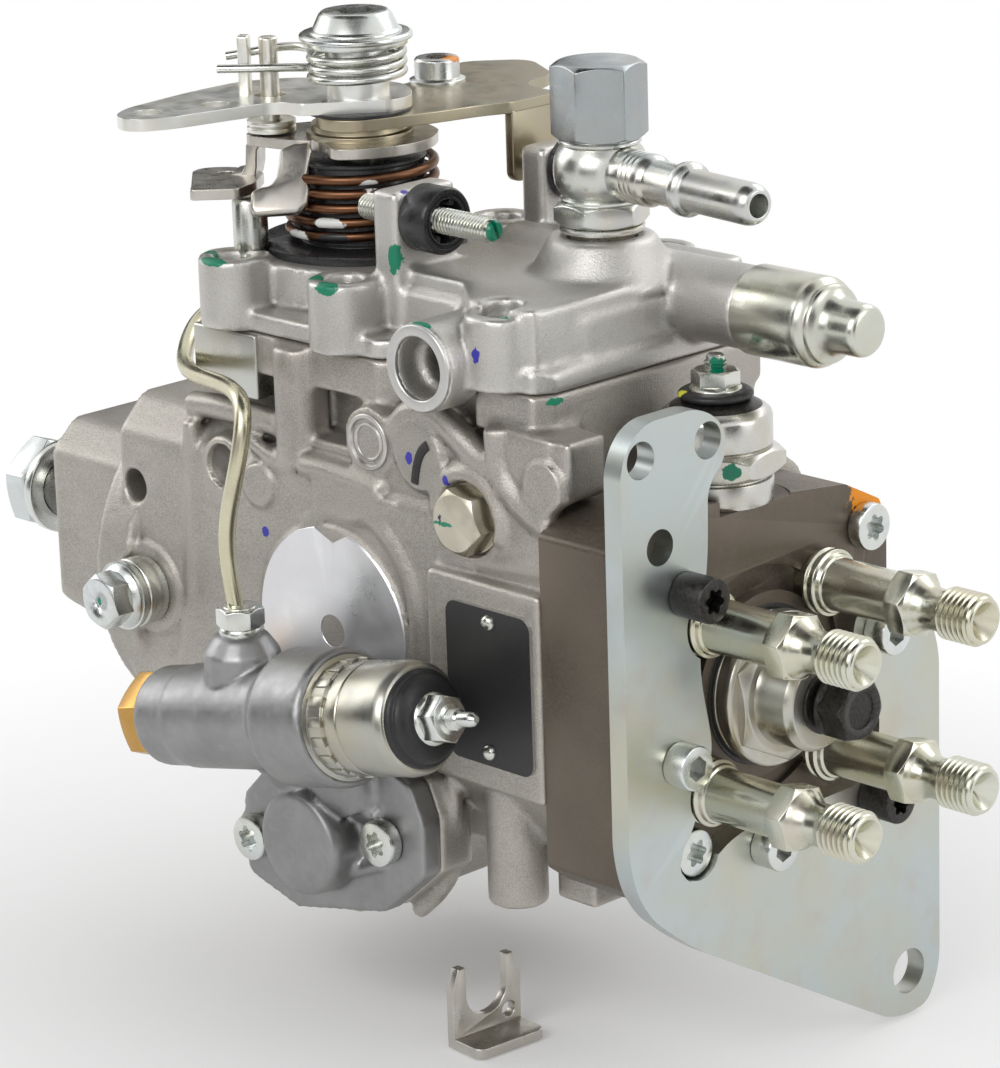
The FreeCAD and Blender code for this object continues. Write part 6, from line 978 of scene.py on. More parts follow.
def buildInletBanjo():
    banjo = {"spot": (162.6, 0, 0), "pipeHeight": 111.1, "pipeTurn": math.radians(7), "flats": 19}
    spot = banjo["spot"]
    out = Vector((math.cos(banjo["pipeTurn"]), -math.sin(banjo["pipeTurn"]), 0))
    eye = turned("eye", [(105, 0), (105, 8.6), (105.6, 8.9), (106.6, 9.7), (108.2, 10.4), (110, 10.68), (111.1, 10.7),
                         (112.2, 10.68), (114, 10.4), (115.6, 9.7), (116.6, 8.9), (117.2, 8.6), (117.2, 0)],
                 spot, alongZ, 96, 0.1)
    pipe = turned("pipe", [(6, 0), (6, 5.95), (13.0, 5.95), (13.2, 5.75), (13.5, 5.95), (14.6, 5.95), (14.8, 5.75),
                           (15.1, 5.95), (16.2, 5.95), (16.4, 5.75), (16.7, 5.95), (18.6, 5.9), (19.6, 5.5),
                           (20.2, 4.9), (21.0, 4.85), (28.4, 4.85), (29.0, 5.3), (29.6, 6.0), (30.2, 6.1),
                           (31.6, 6.1), (32.2, 5.8), (32.8, 5.0), (33.6, 4.75), (51.0, 4.75), (52.4, 4.55),
                           (53.6, 4.0), (54.2, 3.3), (54.2, 2.65), (40, 2.65), (40, 0)],
                  (*spot[:2], banjo["pipeHeight"]), out, 72, 0.08)
    finished(join("inletBanjo", eye, pipe), "pump", banjoZinc, "inlet_banjo")
    cap = hexagon("banjoCapNut", banjo["flats"], 118.2, 135.6, spot, alongZ, 16.1, "both", 0.18)
    finished(cap, "pump", capNutZinc, "banjo_cap_nut")
    base = hexagon("adapterHex", banjo["flats"], 98.8, 104, spot, alongZ, 23.8, "both", 0.15)
    foot = turned("adapterFoot", [(86, 0), (86, 7.8), (97.4, 7.8), (97.4, 9.6), (98.6, 9.8), (98.8, 9.0), (98.9, 0)],
                  spot, alongZ, 64, 0.1)
    finished(join("banjoAdapter", base, foot), "pump", banjoZinc, "banjo_adapter")
    low = turned("low", [(104, 0), (104, 9.1), (104.3, 9.35), (104.8, 9.35), (105.1, 9.0), (105.1, 0)], spot, alongZ,
                 64, 0)
    high = turned("high", [(117.1, 0), (117.1, 9.0), (117.4, 9.35), (117.9, 9.35), (118.2, 9.1), (118.2, 0)], spot,
                  alongZ, 64, 0)
    finished(join("banjoWashers", low, high), "pump", springSteel, "banjo_washers")


# Control lever stack
def buildLeverStack():
    stack = {"axis": (87.5, -4, 0), "pin": (70, -16, 0), "screw": (76.5, 32, 0), "post": (74.6, -28, 0),
             "nutSocket": 8, "screwSocket": 5}
    spot = stack["axis"]
    nut = turned("coneNut", [(134.4, 0), (134.4, 10.9), (135.0, 10.9), (135.4, 10.2), (138.8, 8.6), (139.6, 7.8),
                             (139.6, 0)], spot, alongZ, 96, 0.25)
    cutBy(nut, prism("socketTool", 6, stack["nutSocket"] / math.sqrt(3), 134.9, 141, spot, alongZ, 12))
    smooth(nut, 30)
    discs = turned("discs", [(131.6, 0), (131.6, 12.0), (132.5, 12.3), (132.9, 12.3), (133.1, 13.2), (133.5, 13.4),
                             (134.2, 13.3), (134.6, 12.7), (134.6, 0)], spot, alongZ, 96, 0.12)
    finished(join("shaftCapNut", nut, discs), "lever", zincClear, "shaft_cap_nut")
    axle = turned("controlShaft", [(62.5, 0), (62.5, 4.6), (63, 5), (131, 5), (131, 0)], spot, alongZ, 48, 0.2)
    finished(axle, "lever", springSteel, "control_shaft")

    # lever plate with its neck, its pin and the square bar
    outline = [(60.4, -55.6, 3.4), (55.4, -48.6, 3.6), (52.3, -26, 4), (52, -9.1, 5), (59.4, 2.2, 4), (83.2, 13.5, 5),
               (92.6, 8.6, 3), (98.4, 2.8, 3), (98.2, -3.4, 1.5), (84.9, -19.4, 0.6), (77.8, -21.2, 4),
               (71.8, -48.9, 4), (67.2, -56.6, 3.6)]
    lever = sheet("leverPlate", outline, 116.6, 119.5, [(63.3, -47.9, 3.4), (68.7, -31.9, 3.4), (70, -16, 3.7)])
    sleeve = turned("sleeve", [(116.8, 0), (116.8, 7.4), (123.4, 7.4), (131.4, 7.4), (131.4, 0)], spot, alongZ, 64, 0.2)
    pin = turned("pin", [(111, 0), (111, 4.6), (112.2, 4.6), (112.4, 2.4), (119, 2.4), (119.2, 2.25), (132.8, 2.25),
                         (133.2, 1.9), (133.2, 0)], stack["pin"], alongZ, 48, 0.12)
    washer = ring("washer", [(110.9, 2.5), (110.9, 5.8), (112.0, 5.8), (112.3, 5.4), (112.6, 5.8), (113.6, 5.8),
                             (113.6, 2.5)], stack["pin"], alongZ, 56, 0.15)
    squareBar = block("squareBar", (-1.35, -1.7, 0), (1.35, 1.7, 14.6))
    soften(squareBar, 0.5, 3)
    groove = ring("grooveTool", [(6.0, 1.2), (6.0, 4), (7.6, 4), (7.6, 1.2)], (0, 0, 0), alongZ, 32, 0)
    cutBy(squareBar, groove)
    setDown(squareBar, (66.4, -20.4, 119.2), (0, 0, math.radians(36)))
    smooth(squareBar, 30)
    finished(join("controlLever", lever, sleeve, pin, washer, squareBar), "lever", leverZinc, "control_lever")
    disc = turned("leverDisc", [(115.9, 0), (115.9, 12.4), (116.7, 12.4), (116.7, 0)], spot, alongZ, 72, 0.1)
    finished(disc, "lever", blackPlastic)

    # torsion spring over the neck, its legs out past the pin and the bar
    rod = {"middleRadius": 10.9, "thick": 2.0, "low": 124.0, "turns": 2.9, "rise": 6.6}
    spring = coil("leverSpring", **rod, spot=spot, spin=196, sides=12, steps=40)
    legs = [bentTube("legLow", [(77.4, -8.4, 125.6), (77.6, -11.6, 126.0), (75.6, -15.2, 126.4), (72.4, -18.8, 126.4),
                                (68.6, -22.3, 126.4), (63.4, -26.2, 126.3)], rod["thick"] / 2, 3),
            bentTube("legHigh", [(81.2, -12.6, 130.6), (77.6, -10.4, 130.6), (72.6, -10.2, 130.5), (68, -13.0, 129.9),
                                 (64.6, -17.0, 129.0), (60.4, -20.8, 128.2)], rod["thick"] / 2, 3)]
    finished(join("leverSpring", spring, *legs), "lever", springSteel, "lever_spring")

    # gold stop plate with its bent tongue and its screw
    outline = [(84.2, -15.2, 2), (90, -17.2, 3), (97, -14.6, 4), (103.6, 3.5, 6), (107, 18, 4), (110.2, 24, 1),
               (110.2, 40, 1), (96, 41, 6), (93.5, 55, 5), (75, 65.3, 5), (62.5, 52, 5), (71.5, 36, 6), (74.5, 6, 6),
               (79, -8, 4)]
    plate = sheet("goldSheet", outline, 113.2, 116.0)
    spacer = turned("spacer", [(110.2, 0), (110.2, 12.6), (111.6, 12.6), (111.8, 11.4), (113.4, 11.4), (113.4, 0)],
                    spot, alongZ, 72, 0.15)
    tongue = sheet("tongue", [(107.5, 24, 0), (110.2, 24, 0), (110.2, 40, 0), (107.5, 40, 0)], 96.6, 114, edge=0)
    openPiece(tongue)
    choose("EDGE", lambda e: all(v.co.z < 0.097 for v in e.verts) and abs((e.verts[0].co - e.verts[1].co).x) > 0.002)
    bpy.ops.mesh.bevel(offset=0.0025, segments=6)
    closePiece()
    soften(tongue, 0.4, 3)
    smooth(tongue, 30)
    collar = turned("screwCollar", [(115, 0), (115, 6.8), (116.6, 6.8), (116.8, 6.2), (117.0, 5.5), (121.2, 5.5),
                                    (121.8, 5.1), (121.8, 0)], stack["screw"], alongZ, 64, 0.15)
    cutBy(collar, prism("socketTool", 6, stack["screwSocket"] / math.sqrt(3), 119, 125, stack["screw"], alongZ, 12))
    smooth(collar, 30)
    finished(join("stopPlate", plate, tongue, spacer), "lever", goldPlate, "stop_plate")
    finished(collar, "lever", collarScrew)

    # carrier: lower plate with its wavy edge, riser, foot and claw
    outline = [(67, -22, 2), (76.9, -20.4, 3), (83.4, -18.6, 2), (85.4, -15.6, 3), (91, -17.4, 4), (96.5, -21.2, 2.5),
               (103.4, -14.8, 6), (106.8, -4, 6), (103.5, 7, 6), (95, 13.5, 6), (80, 14, 5), (66, -4, 5),
               (62.6, -15, 2)]
    lower = sheet("lowerPlate", outline, 107.9, 110.4)
    outline = [(50.4, -24.5, 4), (55.5, -16.8, 4), (66.6, -15.5, 3), (74.4, -25.6, 2), (76.2, -32.8, 1.2),
               (68.5, -41, 1.2), (66, -38.4, 5)]
    foot = sheet("carrierFoot", outline, 98.0, 100.6, [(60.4, -22.6, 1.8)], 0.35)
    strip = [(-1, 110.4), (4.4, 110.4), (6.4, 109.6), (7.4, 107.6), (7.7, 103), (8.6, 101.2), (11.5, 100.6), (11.5, 98),
             (7.6, 98.2), (5.6, 99.6), (5.0, 102.4), (4.8, 106.4), (4.0, 107.7), (-1, 107.9)]
    riser = plateOf("riser", strip, -4, 6)
    setDown(riser, (69.1, -12.3, 0), (0, 0, math.radians(216)))
    soften(riser, 0.35, 3, 40)
    claw = plateOf("claw", [(0, -1.7), (3.1, -0.4), (6.8, 0), (7.4, -2.6), (6.4, -8.6), (7, -12), (6.2, -15.4),
                            (4.3, -17.6), (-6.2, -18), (-7.1, -16.3), (-7, -12), (-4.7, -11), (-2.3, -10.7),
                            (-0.9, -8.6), (-0.3, -5.1)], -1.5, 1.5)
    soften(claw, 1.0, 4, 40)
    setDown(claw, (79, -21.5, 109.6), (math.radians(-34), 0, math.radians(46.1)))
    smooth(claw, 50)
    smooth(riser, 40)
    finished(join("carrierLever", lower, foot, riser, claw), "lever", bareSteel, "carrier_lever")

    # return spring round its bush
    rod = {"middleRadius": 17.25, "thick": 2.45, "low": 87.6, "turns": 4.9, "rise": 16.4}
    spring = coil("returnSpring", **rod, spot=spot, spin=120)
    finished(spring, "pump", springCopper, "return_spring")
    bush = workedCopy("spring_base", "springBush", 0.3, 2)
    ribs = [ring("rib", [(z, 14.6), (z, 15.5), (z + 0.9, 15.5), (z + 0.9, 14.6)], spot, alongZ, 64, 0.2)
            for z in (86.4, 104.6)]
    finished(join("springBush", bush, *ribs), "pump", blackPlastic, "spring_base")
    post = turned("anchorPost", [(79, 0), (79, 4.15), (96.6, 4.15), (97.6, 3.6), (97.6, 0)], stack["post"], alongZ,
                  48, 0.2)
    finished(post, "pump", springSteel, "anchor_post")


def buildStopScrews():
    screws = {"near": (0, -22.5, 99.3), "far": (0, 29, 101.5), "nearCap": 128, "farCap": 124, "petals": 6,
              "petalReach": 4.6}
    front = turned("front", [(108.5, 0), (108.5, 2.1), (109.1, 2.6)] + ridges(109.1, 150.6, 3.0, 2.5, 1.0)
                   + [(150.8, 2.5), (151.3, 2.4), (151.8, 1.9), (151.8, 0)], screws["near"], alongX, 40, 0)
    slot = {"width": 0.9, "deep": 1.6, "long": 8, "turn": math.radians(20)}
    cutBy(front, box("slotTool", (151.8, -22.5, 99.3), (slot["deep"] * 2, slot["width"], slot["long"]),
                     (slot["turn"], 0, 0)))
    rear = turned("rear", [(110.5, 0), (110.5, 2.1), (111.1, 2.6)] + ridges(111.1, 141.0, 3.0, 2.5, 1.0)
                  + [(141.4, 2.4), (142, 1.9), (142, 0)], screws["far"], alongX, 40, 0)
    finished(join("stopScrews", front, rear), "pump", studZinc, "stop_screws")
    caps = []
    for (x, y, z), low in ((screws["near"], screws["nearCap"]), (screws["far"], screws["farCap"])):
        cap = ring("cap", [(low, 6.2), (low, 7.75), (low + 7.2, 7.75), (low + 8, 7.3), (low + 8, 6.4),
                           (low + 7.5, 6.2), (low + 7.5, 5.7), (low + 8, 5.6), (low + 7.9, 5.1), (low + 2.5, 4.6),
                           (low + 2.5, 3.2), (low + 1.2, 3.2), (low + 1.2, 6.2)], (x, y, z), alongX, 72, 0.12)
        petals = []
        for number in range(screws["petals"]):
            turn = math.tau * number / screws["petals"]
            spot = (x, y + screws["petalReach"] * math.cos(turn), z + screws["petalReach"] * math.sin(turn))
            petal = prism("petal", 16, 0.9, low + 2, low + 7.2, spot, alongX)
            soften(petal, 0.3, 2, 40)
            petals.append(petal)
        caps.append(join("cap", cap, *petals))
    finished(join("stopScrewCaps", *caps), "pump", blackPlastic, "stop_screw_caps")


# Advance valve
tilt = math.radians(12.2)
valveAxis = Vector((math.cos(tilt), 0, math.sin(tilt)))
valveSpot = (110.63, -65, -12.93)


def buildValveParts():
    flats = {"plug": 19, "terminal": 10, "line": 9.8}
    plug = hexagon("valvePlug", flats["plug"], -38.5, -31.0, valveSpot, valveAxis, 8, "foot", 0.2)
    collar = turned("plugCollar", [(-32, 0), (-32, 9.3), (-30.9, 9.3), (-30.9, 6.9), (-22, 6.9), (-22, 0)], valveSpot,
                    valveAxis, 64, 0.15)
    finished(join("valvePlug", plug, collar), "pump", brassFinish, "valve_plug")
    can = turned("can", [(16, 0), (16, 11.4), (33.0, 11.4), (33.0, 14.3), (33.8, 14.3), (34.0, 13.2), (38.6, 13.2),
                         (38.9, 12.6), (39.4, 12.6), (39.7, 13.0), (43.2, 13.0), (43.6, 12.7), (44.0, 13.0),
                         (55.2, 13.0), (56.8, 12.7), (57.8, 11.9), (58.1, 11.0), (57.7, 10.6), (57.7, 0)],
                 valveSpot, valveAxis, 96, 0.12)
    crimp = {"teeth": 18, "size": (2.3, 1.4, 4.2), "reach": 12.9, "along": 37.0}
    teeth = []
    for number in range(crimp["teeth"]):
        turn = math.tau * number / crimp["teeth"]
        tooth = box("tooth", (0, 0, 0), crimp["size"])
        soften(tooth, 0.15, 2, 30)
        spot = (-math.sin(turn) * crimp["reach"], math.cos(turn) * crimp["reach"], crimp["along"])
        teeth.append(setDown(tooth, spot, (0, 0, turn)))
    crown = standAt(join("crown", *teeth), valveSpot, valveAxis)
    smooth(crown, 30)
    finished(join("advanceSolenoid", can, crown), "pump", canZinc, "advance_solenoid")
    boot = turned("valveBoot", [(57.4, 0), (57.4, 10.9), (58.2, 11.3), (59.2, 10.9), (59.5, 10.0), (60.2, 10.0),
                                (61.0, 9.2), (61.6, 7.6), (61.8, 6.3), (61.8, 0)], valveSpot, valveAxis, 96, 0.3)
    finished(boot, "pump", blackRubber)
    washer = turned("washer", [(61.4, 0), (61.4, 6.0), (62.2, 6.0), (63.0, 5.2), (63.0, 0)], valveSpot, valveAxis,
                    48, 0.12)
    nut = hexagon("hex", flats["terminal"], 62.6, 67.2, valveSpot, valveAxis, 10, "top", 0.12)
    stud = turned("stud", [(65, 0), (65, 3.6), (67.4, 3.4), (67.8, 2.4)] + ridges(67.8, 70.3, 2.5, 2.1, 0.8)
                  + [(70.4, 2.0), (70.8, 1.7), (73.8, 1.7), (75.0, 1.5), (75.8, 0.8), (75.8, 0)], valveSpot,
                  valveAxis, 40, 0)
    finished(join("valveTerminal", washer, nut, stud), "pump", zincClear)

    # steel line from the tower down to the valve, with its nut and cone
    line = bentTube("line", [(67.5, -10, 61.8), (62, -10, 62.2), (56.5, -11.5, 63.6), (52.2, -15.5, 65.6),
                             (50.8, -21, 66.0), (51.4, -26.5, 63.6), (55.5, -33, 61), (62.5, -40.5, 58.8),
                             (70, -45.4, 58.2), (80, -49.4, 59.2), (91, -53.4, 60.6), (100, -57.4, 61.4),
                             (106.6, -60.6, 60.6), (109.4, -62.8, 56.8), (109.4, -64.4, 50), (108.0, -65.2, 43),
                             (105.6, -65.6, 35), (104.4, -65.6, 28), (104.6, -65.3, 21), (105.8, -65, 14),
                             (107.2, -65, 8), (107.6, -65, 5)], 2.0)
    lineFoot = (107.4, -65, 0)
    nut = hexagon("lineNut", flats["line"], 8.2, 13.0, lineFoot, alongZ, 14, "both", 0.15)
    collar = turned("lineCollar", [(6.2, 0), (6.2, 5.0), (7.4, 5.1), (8.4, 4.7), (8.4, 0)], lineFoot, alongZ, 48, 0.15)
    cone = turned("lineCone", [(12.8, 0), (12.8, 4.0), (13.3, 3.7), (13.3, 0)], lineFoot, alongZ, 48, 0.1)
    finished(join("lineNutParts", nut, collar, cone), "pump", zincClear)
    finished(line, "pump", tubeZinc, "advance_line")


# Nameplate, bare, with two rivets
def buildNameplate():
    plate = {"centre": (169.4, -45.9, 1.95), "width": 26.6, "height": 36.9, "thick": 0.8, "corner": 3.0}
    piece = box("nameplate", plate["centre"], (plate["width"], plate["thick"], plate["height"]))
    openPiece(piece)
    choose("EDGE", lambda e: abs((e.verts[0].co - e.verts[1].co).normalized().y) > 0.9)
    bpy.ops.mesh.bevel(offset=plate["corner"] * 0.001, segments=6)
    closePiece()
    piece.data.materials.append(labelBlack)
    piece.data.materials.append(silverLine)
    for face in piece.data.polygons:
        if abs(face.normal.y) < 0.5:
            face.material_index = 1
    finished(piece, "pump", None, "nameplate")
    rivets = [turned("rivet", [(-1, 0), (-1, 1.8), (0.1, 1.9), (0.7, 1.7), (1.2, 1.2), (1.4, 0.5), (1.45, 0)],
                     (x, -46.2, z), toNear, 40, 0) for x, z in ((169.8, 17.4), (168.9, -13.3))]
    finished(join("plateRivets", *rivets), "pump", springSteel)


def buildFork():
    piece = workedCopy("lock_fork", "lockFork", 0.4, 3)
    finished(piece, "pump", bareSteel, "lock_fork")


def buildHead():
    piece = workedCopy("hydraulic_head", "hydraulicHead", 0.9, 3, 25)
    finished(piece, "pump", headSteel, "hydraulic_head")


# Castings: forms that overlap are run together, then rubbed smooth as a casting is
def castTogether(piece, forms=(), before=(), after=(), grain=0.95, passes=6):
    most = 190000
    cutBy(piece, *before)
    piece = join(piece.name, piece, *forms)
    addModifier(piece, "REMESH", mode="VOXEL", voxel_size=grain * 0.001, adaptivity=0)
    cutBy(piece, *after)
    addModifier(piece, "SMOOTH", factor=0.5, iterations=passes)
    tris = len(piece.data.polygons) * 2
    if tris > most:
        addModifier(piece, "DECIMATE", ratio=most / tris)
    pick(piece)
    bpy.ops.object.shade_smooth()
    return piece


def bar(name, start, end, radius, sides=24):
    start, end = Vector(start), Vector(end)
    long = (end - start).length
    return prism(name, sides, radius, 0, long, start, end - start)


def box(name, middle, size, turn=(0, 0, 0)):
    clearSelection()
    bpy.ops.mesh.primitive_cube_add(size=0.001, location=at(*middle))
    piece = named(name)
    piece.scale = size
    piece.rotation_euler = turn
    applyPlace(piece)
    return piece


def block(name, low, high):
    low, high = Vector(low), Vector(high)
    return box(name, (low + high) / 2, high - low)


# the face within the places, given its thickness
def slab(name, places, thickness):
    piece = strung(name, places)
    bpy.ops.mesh.edge_face_add()
    bpy.ops.mesh.extrude_region_move(TRANSFORM_OT_translate={"value": thickness})
    closePiece()
    mend(piece)
    return piece


# a plate of any outline, corners as (x, z), between two depths
def plateOf(name, corners, near, far):
    return slab(name, [at(x, near, z) for x, z in corners], (0, (far - near) * 0.001, 0))


# a flat sheet seen from above: corners as (x, y, rounding), between two heights
def sheet(name, corners, low, high, holes=(), edge=0.3):
    nearby = 0.00002
    places = [at(x, y, low) for x, y, rounding in corners]
    piece = slab(name, places, (0, 0, (high - low) * 0.001))
    for (x, y, rounding), place in zip(corners, places):
        if rounding:
            openPiece(piece)
            choose("EDGE", lambda e: all((v.co - place).to_2d().length < nearby for v in e.verts))
            bpy.ops.mesh.bevel(offset=rounding * 0.001, segments=7, clamp_overlap=True)
            closePiece()
    for x, y, radius in holes:
        cutBy(piece, prism("holeTool", 40, radius, low - 1, high + 1, (x, y, 0), alongZ))
    if edge:
        soften(piece, edge, 2)
    smooth(piece, 35)
    addModifier(piece, "WEIGHTED_NORMAL", keep_sharp=True)
    return piece


# a round-backed ridge on the casting's near side, through places (x, z)
def ridge(name, places, depth, radius):
    return bentTube(name, [(x, depth, z) for x, z in places], radius, 3)


def buildHousing():
    piece = workedCopy("pump_housing", "pumpHousing", 0)
    near = -42
    forms = [
        bar("column", (100, -37, 40), (100, -37, 68), 6.2),
        prism("columnFoot", 24, 5, 0, 2.6, (100, -37, 40), -alongZ),
        block("shelf", (104, -38.2, 33), (136, -29, 47)),
        ridge("lowRidge", [(104, 40.6), (110, 41.2), (120, 40.6), (128, 39.8), (131, 38.8)], near + 1.6, 3.0),
        ridge("thinRib", [(103, 45.6), (108, 45.9), (114, 45.9), (121, 45.8)], -38.2, 1.6),
        bar("ringBoss", (127.4, -29, 50.4), (127.4, -41.4, 50.4), 8.2, 40),
        bar("markBoss", (144.2, -29, 49.8), (144.2, near - 0.4, 49.8), 7.8, 40),
        plateOf("markShelf", [(130, 36), (130, 46), (137, 52), (139, 57.5), (144.5, 59.8), (150, 59), (156, 55.5),
                              (162, 51.5), (168, 49), (168, 36)], -40.4, -28),
        ridge("overMark", [(134.6, 53.5), (137.4, 57.6), (141.5, 60.3), (146.5, 60.6), (152, 58.4), (157, 55.2),
                           (161.5, 52.4), (166, 50.6), (170, 50.2)], -39.2, 3.4),
        block("endWall", (168.2, -41.2, 33), (184.6, -28, 61)), block("endLip", (183, -40.4, 46.9), (190.5, -28, 60.5)),
        ridge("boxRib", [(168.0, 61), (168.2, 56), (169.0, 51), (171.6, 47.4), (175.8, 44.2), (180.4, 41.6),
                         (185, 40.2)], near + 1.9, 3.2),
        bar("endDisc", (183.6, -38, 49.7), (183.6, near - 0.3, 49.7), 5.9, 40),
        ridge("plugRim", [(149.4, 38.2), (150.2, 43), (153.4, 47), (158.6, 49), (164, 48), (168.2, 44.6),
                          (169.8, 39.6), (169.2, 34.8)], near + 1.3, 2.7),
        bar("plugBoss", (160.4, -38, 38.6), (160.4, near - 0.6, 38.6), 9.9, 48),
        bar("roundBoss", (89.8, -38, 33.6), (89.8, near - 1.3, 33.6), 5.2, 36),
        bar("bungBoss", (76.5, -34, 35.5), (76.5, near - 0.2, 35.5), 7.4, 36),
        ridge("ledgeLow", [(62, 47.6), (68, 48.4), (78, 48.6), (88, 48.4), (95, 47.6)], -38.0, 3.2),
        ridge("slantLow", [(84, 44.6), (90, 41.5), (96, 39.6), (101, 38.6)], near + 1.2, 2.0),
        ridge("aroundDish", [(121.5, 31.4), (125, 33.4), (128.6, 32.9), (133.8, 28.8), (139.2, 23.3), (141.6, 16.5),
                             (142.4, 8), (141.4, -2), (137.6, -13)], near + 1.7, 3.1),
        ridge("vLeft", [(104.6, 26.6), (108.6, 29.0), (111.6, 31.2), (115.4, 32.6), (118.6, 31.2), (121.5, 31.4)],
              near + 1.7, 2.8),
        plateOf("aboveDish", [(108.8, 38), (108.8, 30.2), (115.6, 32.6), (121.2, 31.2), (126, 33.6), (132, 31),
                              (136, 38)], near - 0.9, -38),
        ridge("padTop", [(150.6, 27.4), (158, 28.6), (168, 29.4), (178, 30.2), (185, 30.8)], near + 1.5, 2.5),
        bar("lowBoss", (165.4, -35.2, -25), (165.4, -35.2, -53), 7.0, 36),
        ridge("skirt", [(148, -38), (150, -45), (147, -52), (141, -58), (136, -62)], -39.5, 2.2),
        ridge("skirtTop", [(150, -25), (152.6, -31), (151.4, -37), (148, -41)], near + 0.8, 2.0),
        ridge("noseRib", [(57, -21), (60.5, -8), (63.6, 10), (65.2, 28), (64.4, 44.5)], near + 1.4, 2.4),
        bar("lockBoss", (48, -30, 0), (48, -43.4, 0), 11.2, 48)]
    seats = [bar("plugSeat", (160.4, -50, 38.6), (160.4, near + 2.2, 38.6), 8.7, 48),
             bar("bungSeat", (76.5, -50, 35.5), (76.5, near + 2.6, 35.5), 5.4, 36)]
    lockSeat = bar("lockSeat", (48, -50, 0), (48, -43.4 + 0.01, 0), 9.0, 48)
    piece = castTogether(piece, forms, [lockSeat], seats, 0.9)
    finished(piece, "pump", housingCast, "pump_housing")

    # machined and pressed parts that show on the near side
    dish = turned("dish", [(40, 0), (40, 25), (42.9, 25), (43.3, 24.6), (43.3, 4.0), (42.9, 3.5), (42.1, 2.0),
                           (41.8, 0)], (114.5, 0, 3), toNear, 128, 0)
    notch = plateOf("notch", [(109.6, 32), (109.6, 27.2), (115.8, 24.6), (122.8, 28.2), (122.8, 32)], -50, -42.2)
    cutBy(dish, notch)
    smooth(dish, 30)
    finished(dish, "pump", machinedAlloy)
    rings = turned("ballRings", [(40, 0), (40, 6.6), (41.9, 6.6), (42.1, 6.2), (42.0, 5.6), (41.2, 5.2), (41.2, 4.7),
                                 (41.8, 4.4), (41.6, 3.8), (41.0, 3.5), (41.0, 3.0), (41.3, 2.6), (41.4, 0)],
                   (127.4, 0, 50.4), toNear, 64, 0.08)
    finished(rings, "pump", spotFace)
    stroke = bentTube("markStroke", [(148.0, -42.25, 53.4), (146.2, -42.3, 52.2), (144.8, -42.3, 49.8),
                                     (143.9, -42.3, 47), (143.4, -42.25, 43.8)], 1.25, 3)
    openPiece(stroke)
    bpy.ops.mesh.select_all(action="SELECT")
    bpy.ops.transform.resize(value=(1, 0.35, 1), center_override=at(145.5, -42.45, 48.6))
    closePiece()
    finished(stroke, "pump", markBlack)
    plug = turned("plugBody", [(38, 0), (38, 8.4), (40.8, 8.4), (41.2, 8.0), (41.2, 6.4), (46.6, 6.4), (46.6, 0)],
                  (160.4, 0, 38.6), toNear, 64, 0.15)
    head = hexagon("plugHex", 13.6, 40.8, 46.9, (160.4, 0, 38.6), toNear, 20, "top", 0.25)
    finished(join("sidePlug", plug, head), "pump", plugFinish)
    ball = turned("bung", [(36, 0), (36, 5.2), (39.4, 5.2), (40.0, 4.9), (39.6, 4.2), (39.2, 3.9), (39.6, 3.0),
                           (40.1, 1.6), (40.2, 0)], (76.5, 0, 35.5), toNear, 48, 0.1)
    finished(ball, "pump", bareSteel)
    stud = block("squareBlock", (66, -40, 53), (88, -30, 68.4))
    soften(stud, 0.6, 3)
    smooth(stud, 30)
    finished(stud, "pump", plugZinc)


def buildCover():
    piece = workedCopy("governor_cover", "governorCover", 0)
    piece = castTogether(piece)
    finished(piece, "pump", coverCast, "governor_cover")
    port = turned("portRing", [(-3, 7.2), (-3, 9.9), (0.0, 9.9), (0.3, 9.6), (0.3, 7.5), (0.0, 7.2), (-3, 7.2)],
                  (153.9, -50, 73.7), toNear, 96, 0.08)
    finished(port, "pump", portFace)


# a place along the valve's axis, and below it
def onValve(along, drop):
    return Vector(valveSpot) + valveAxis * along - Vector((-math.sin(tilt), 0, math.cos(tilt))) * drop


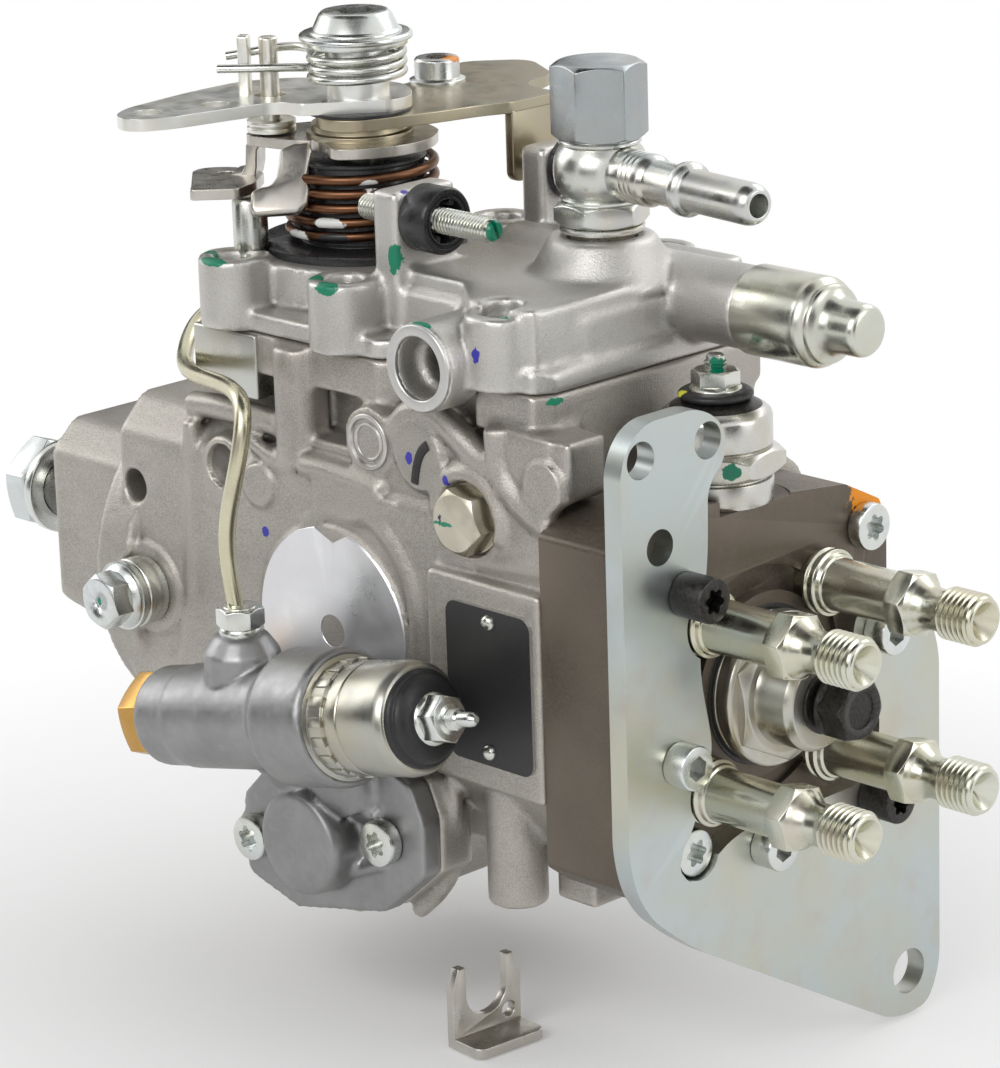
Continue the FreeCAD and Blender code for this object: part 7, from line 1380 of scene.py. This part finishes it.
def buildValveBody():
    capSpot = (118.6, 0, -43.6)
    piece = workedCopy("valve_body", "valveBody", 0)
    keepWithin(piece, block("flangeKeep", (60, -52, -80), (170, -46, 10)))
    forms = [
        turned("cap", [(47, 0), (47, 13.1), (59.8, 12.7), (60.8, 12.2), (61.2, 11.4), (61.2, 0)], capSpot, toNear,
               64, 0),
        turned("barrel", [(-31.0, 7.2), (-31.0, 11.0), (-30.0, 11.8), (-20.6, 11.9), (-19.6, 12.3), (11.4, 12.3),
                          (14.6, 14.6), (16.8, 16.0), (32.4, 16.0), (33.8, 15.2), (33.8, 13.2), (19, 13.2), (19, 7.2),
                          (-31.0, 7.2)], valveSpot, valveAxis, 72, 0),
        turned("lineBoss", [(-16, 0), (-16, 6), (-8, 8.9), (2.4, 9.1), (6.4, 6.2), (6.8, 5.4), (6.8, 0)],
               (107.4, -65, 0), alongZ, 16, 0),
        bar("neck", onValve(0, 6) + Vector((0, 4, 0)), onValve(0, 20) + Vector((0, 16, 0)), 8, 32),
        bar("neckLow", onValve(14, 6) + Vector((0, 4, 0)), onValve(14, 22) + Vector((0, 15, 0)), 8, 32),
        bar("screwBoss1", (139.8, -46, -39.9), (139.8, -52.0, -39.9), 7.4, 36),
        bar("screwBoss2", (95.2, -46, -49.5), (95.2, -52.0, -49.5), 7.4, 36),
        bar("ribHigh", (124, -52.4, -36), (138, -52.2, -34.4), 1.8),
        bar("ribLow", (127, -52.4, -50.6), (139, -52.2, -45.6), 1.8),
        bar("ribEnd", (104, -52.4, -47), (98, -52.2, -48), 1.8)]
    piece = castTogether(piece, forms, grain=0.75, passes=4)
    finished(piece, "pump", valveCast, "valve_body")


def buildRearCover():
    piece = workedCopy("timing_rear_cover", "timingRearCover", 0.6, 3)
    finished(piece, "pump", machinedAlloy, "timing_rear_cover")


for build in (buildDriveEnd, buildOutlets, buildPlug, buildScrews, buildBracket, buildStopSolenoid, buildLoadCap,
              buildInletBanjo, buildLeverStack, buildStopScrews, buildValveParts, buildNameplate, buildFork, buildHead,
              buildHousing, buildCover, buildValveBody, buildRearCover):
    build()
    print(build.__name__[5:], "built")

# Finishes of the parts held inside, and of the solids that the pieces above replace
for node in nodes.values():
    node.data.materials.clear()
    node.data.materials.append(innerSteel if not node.hide_render else bareSteel)
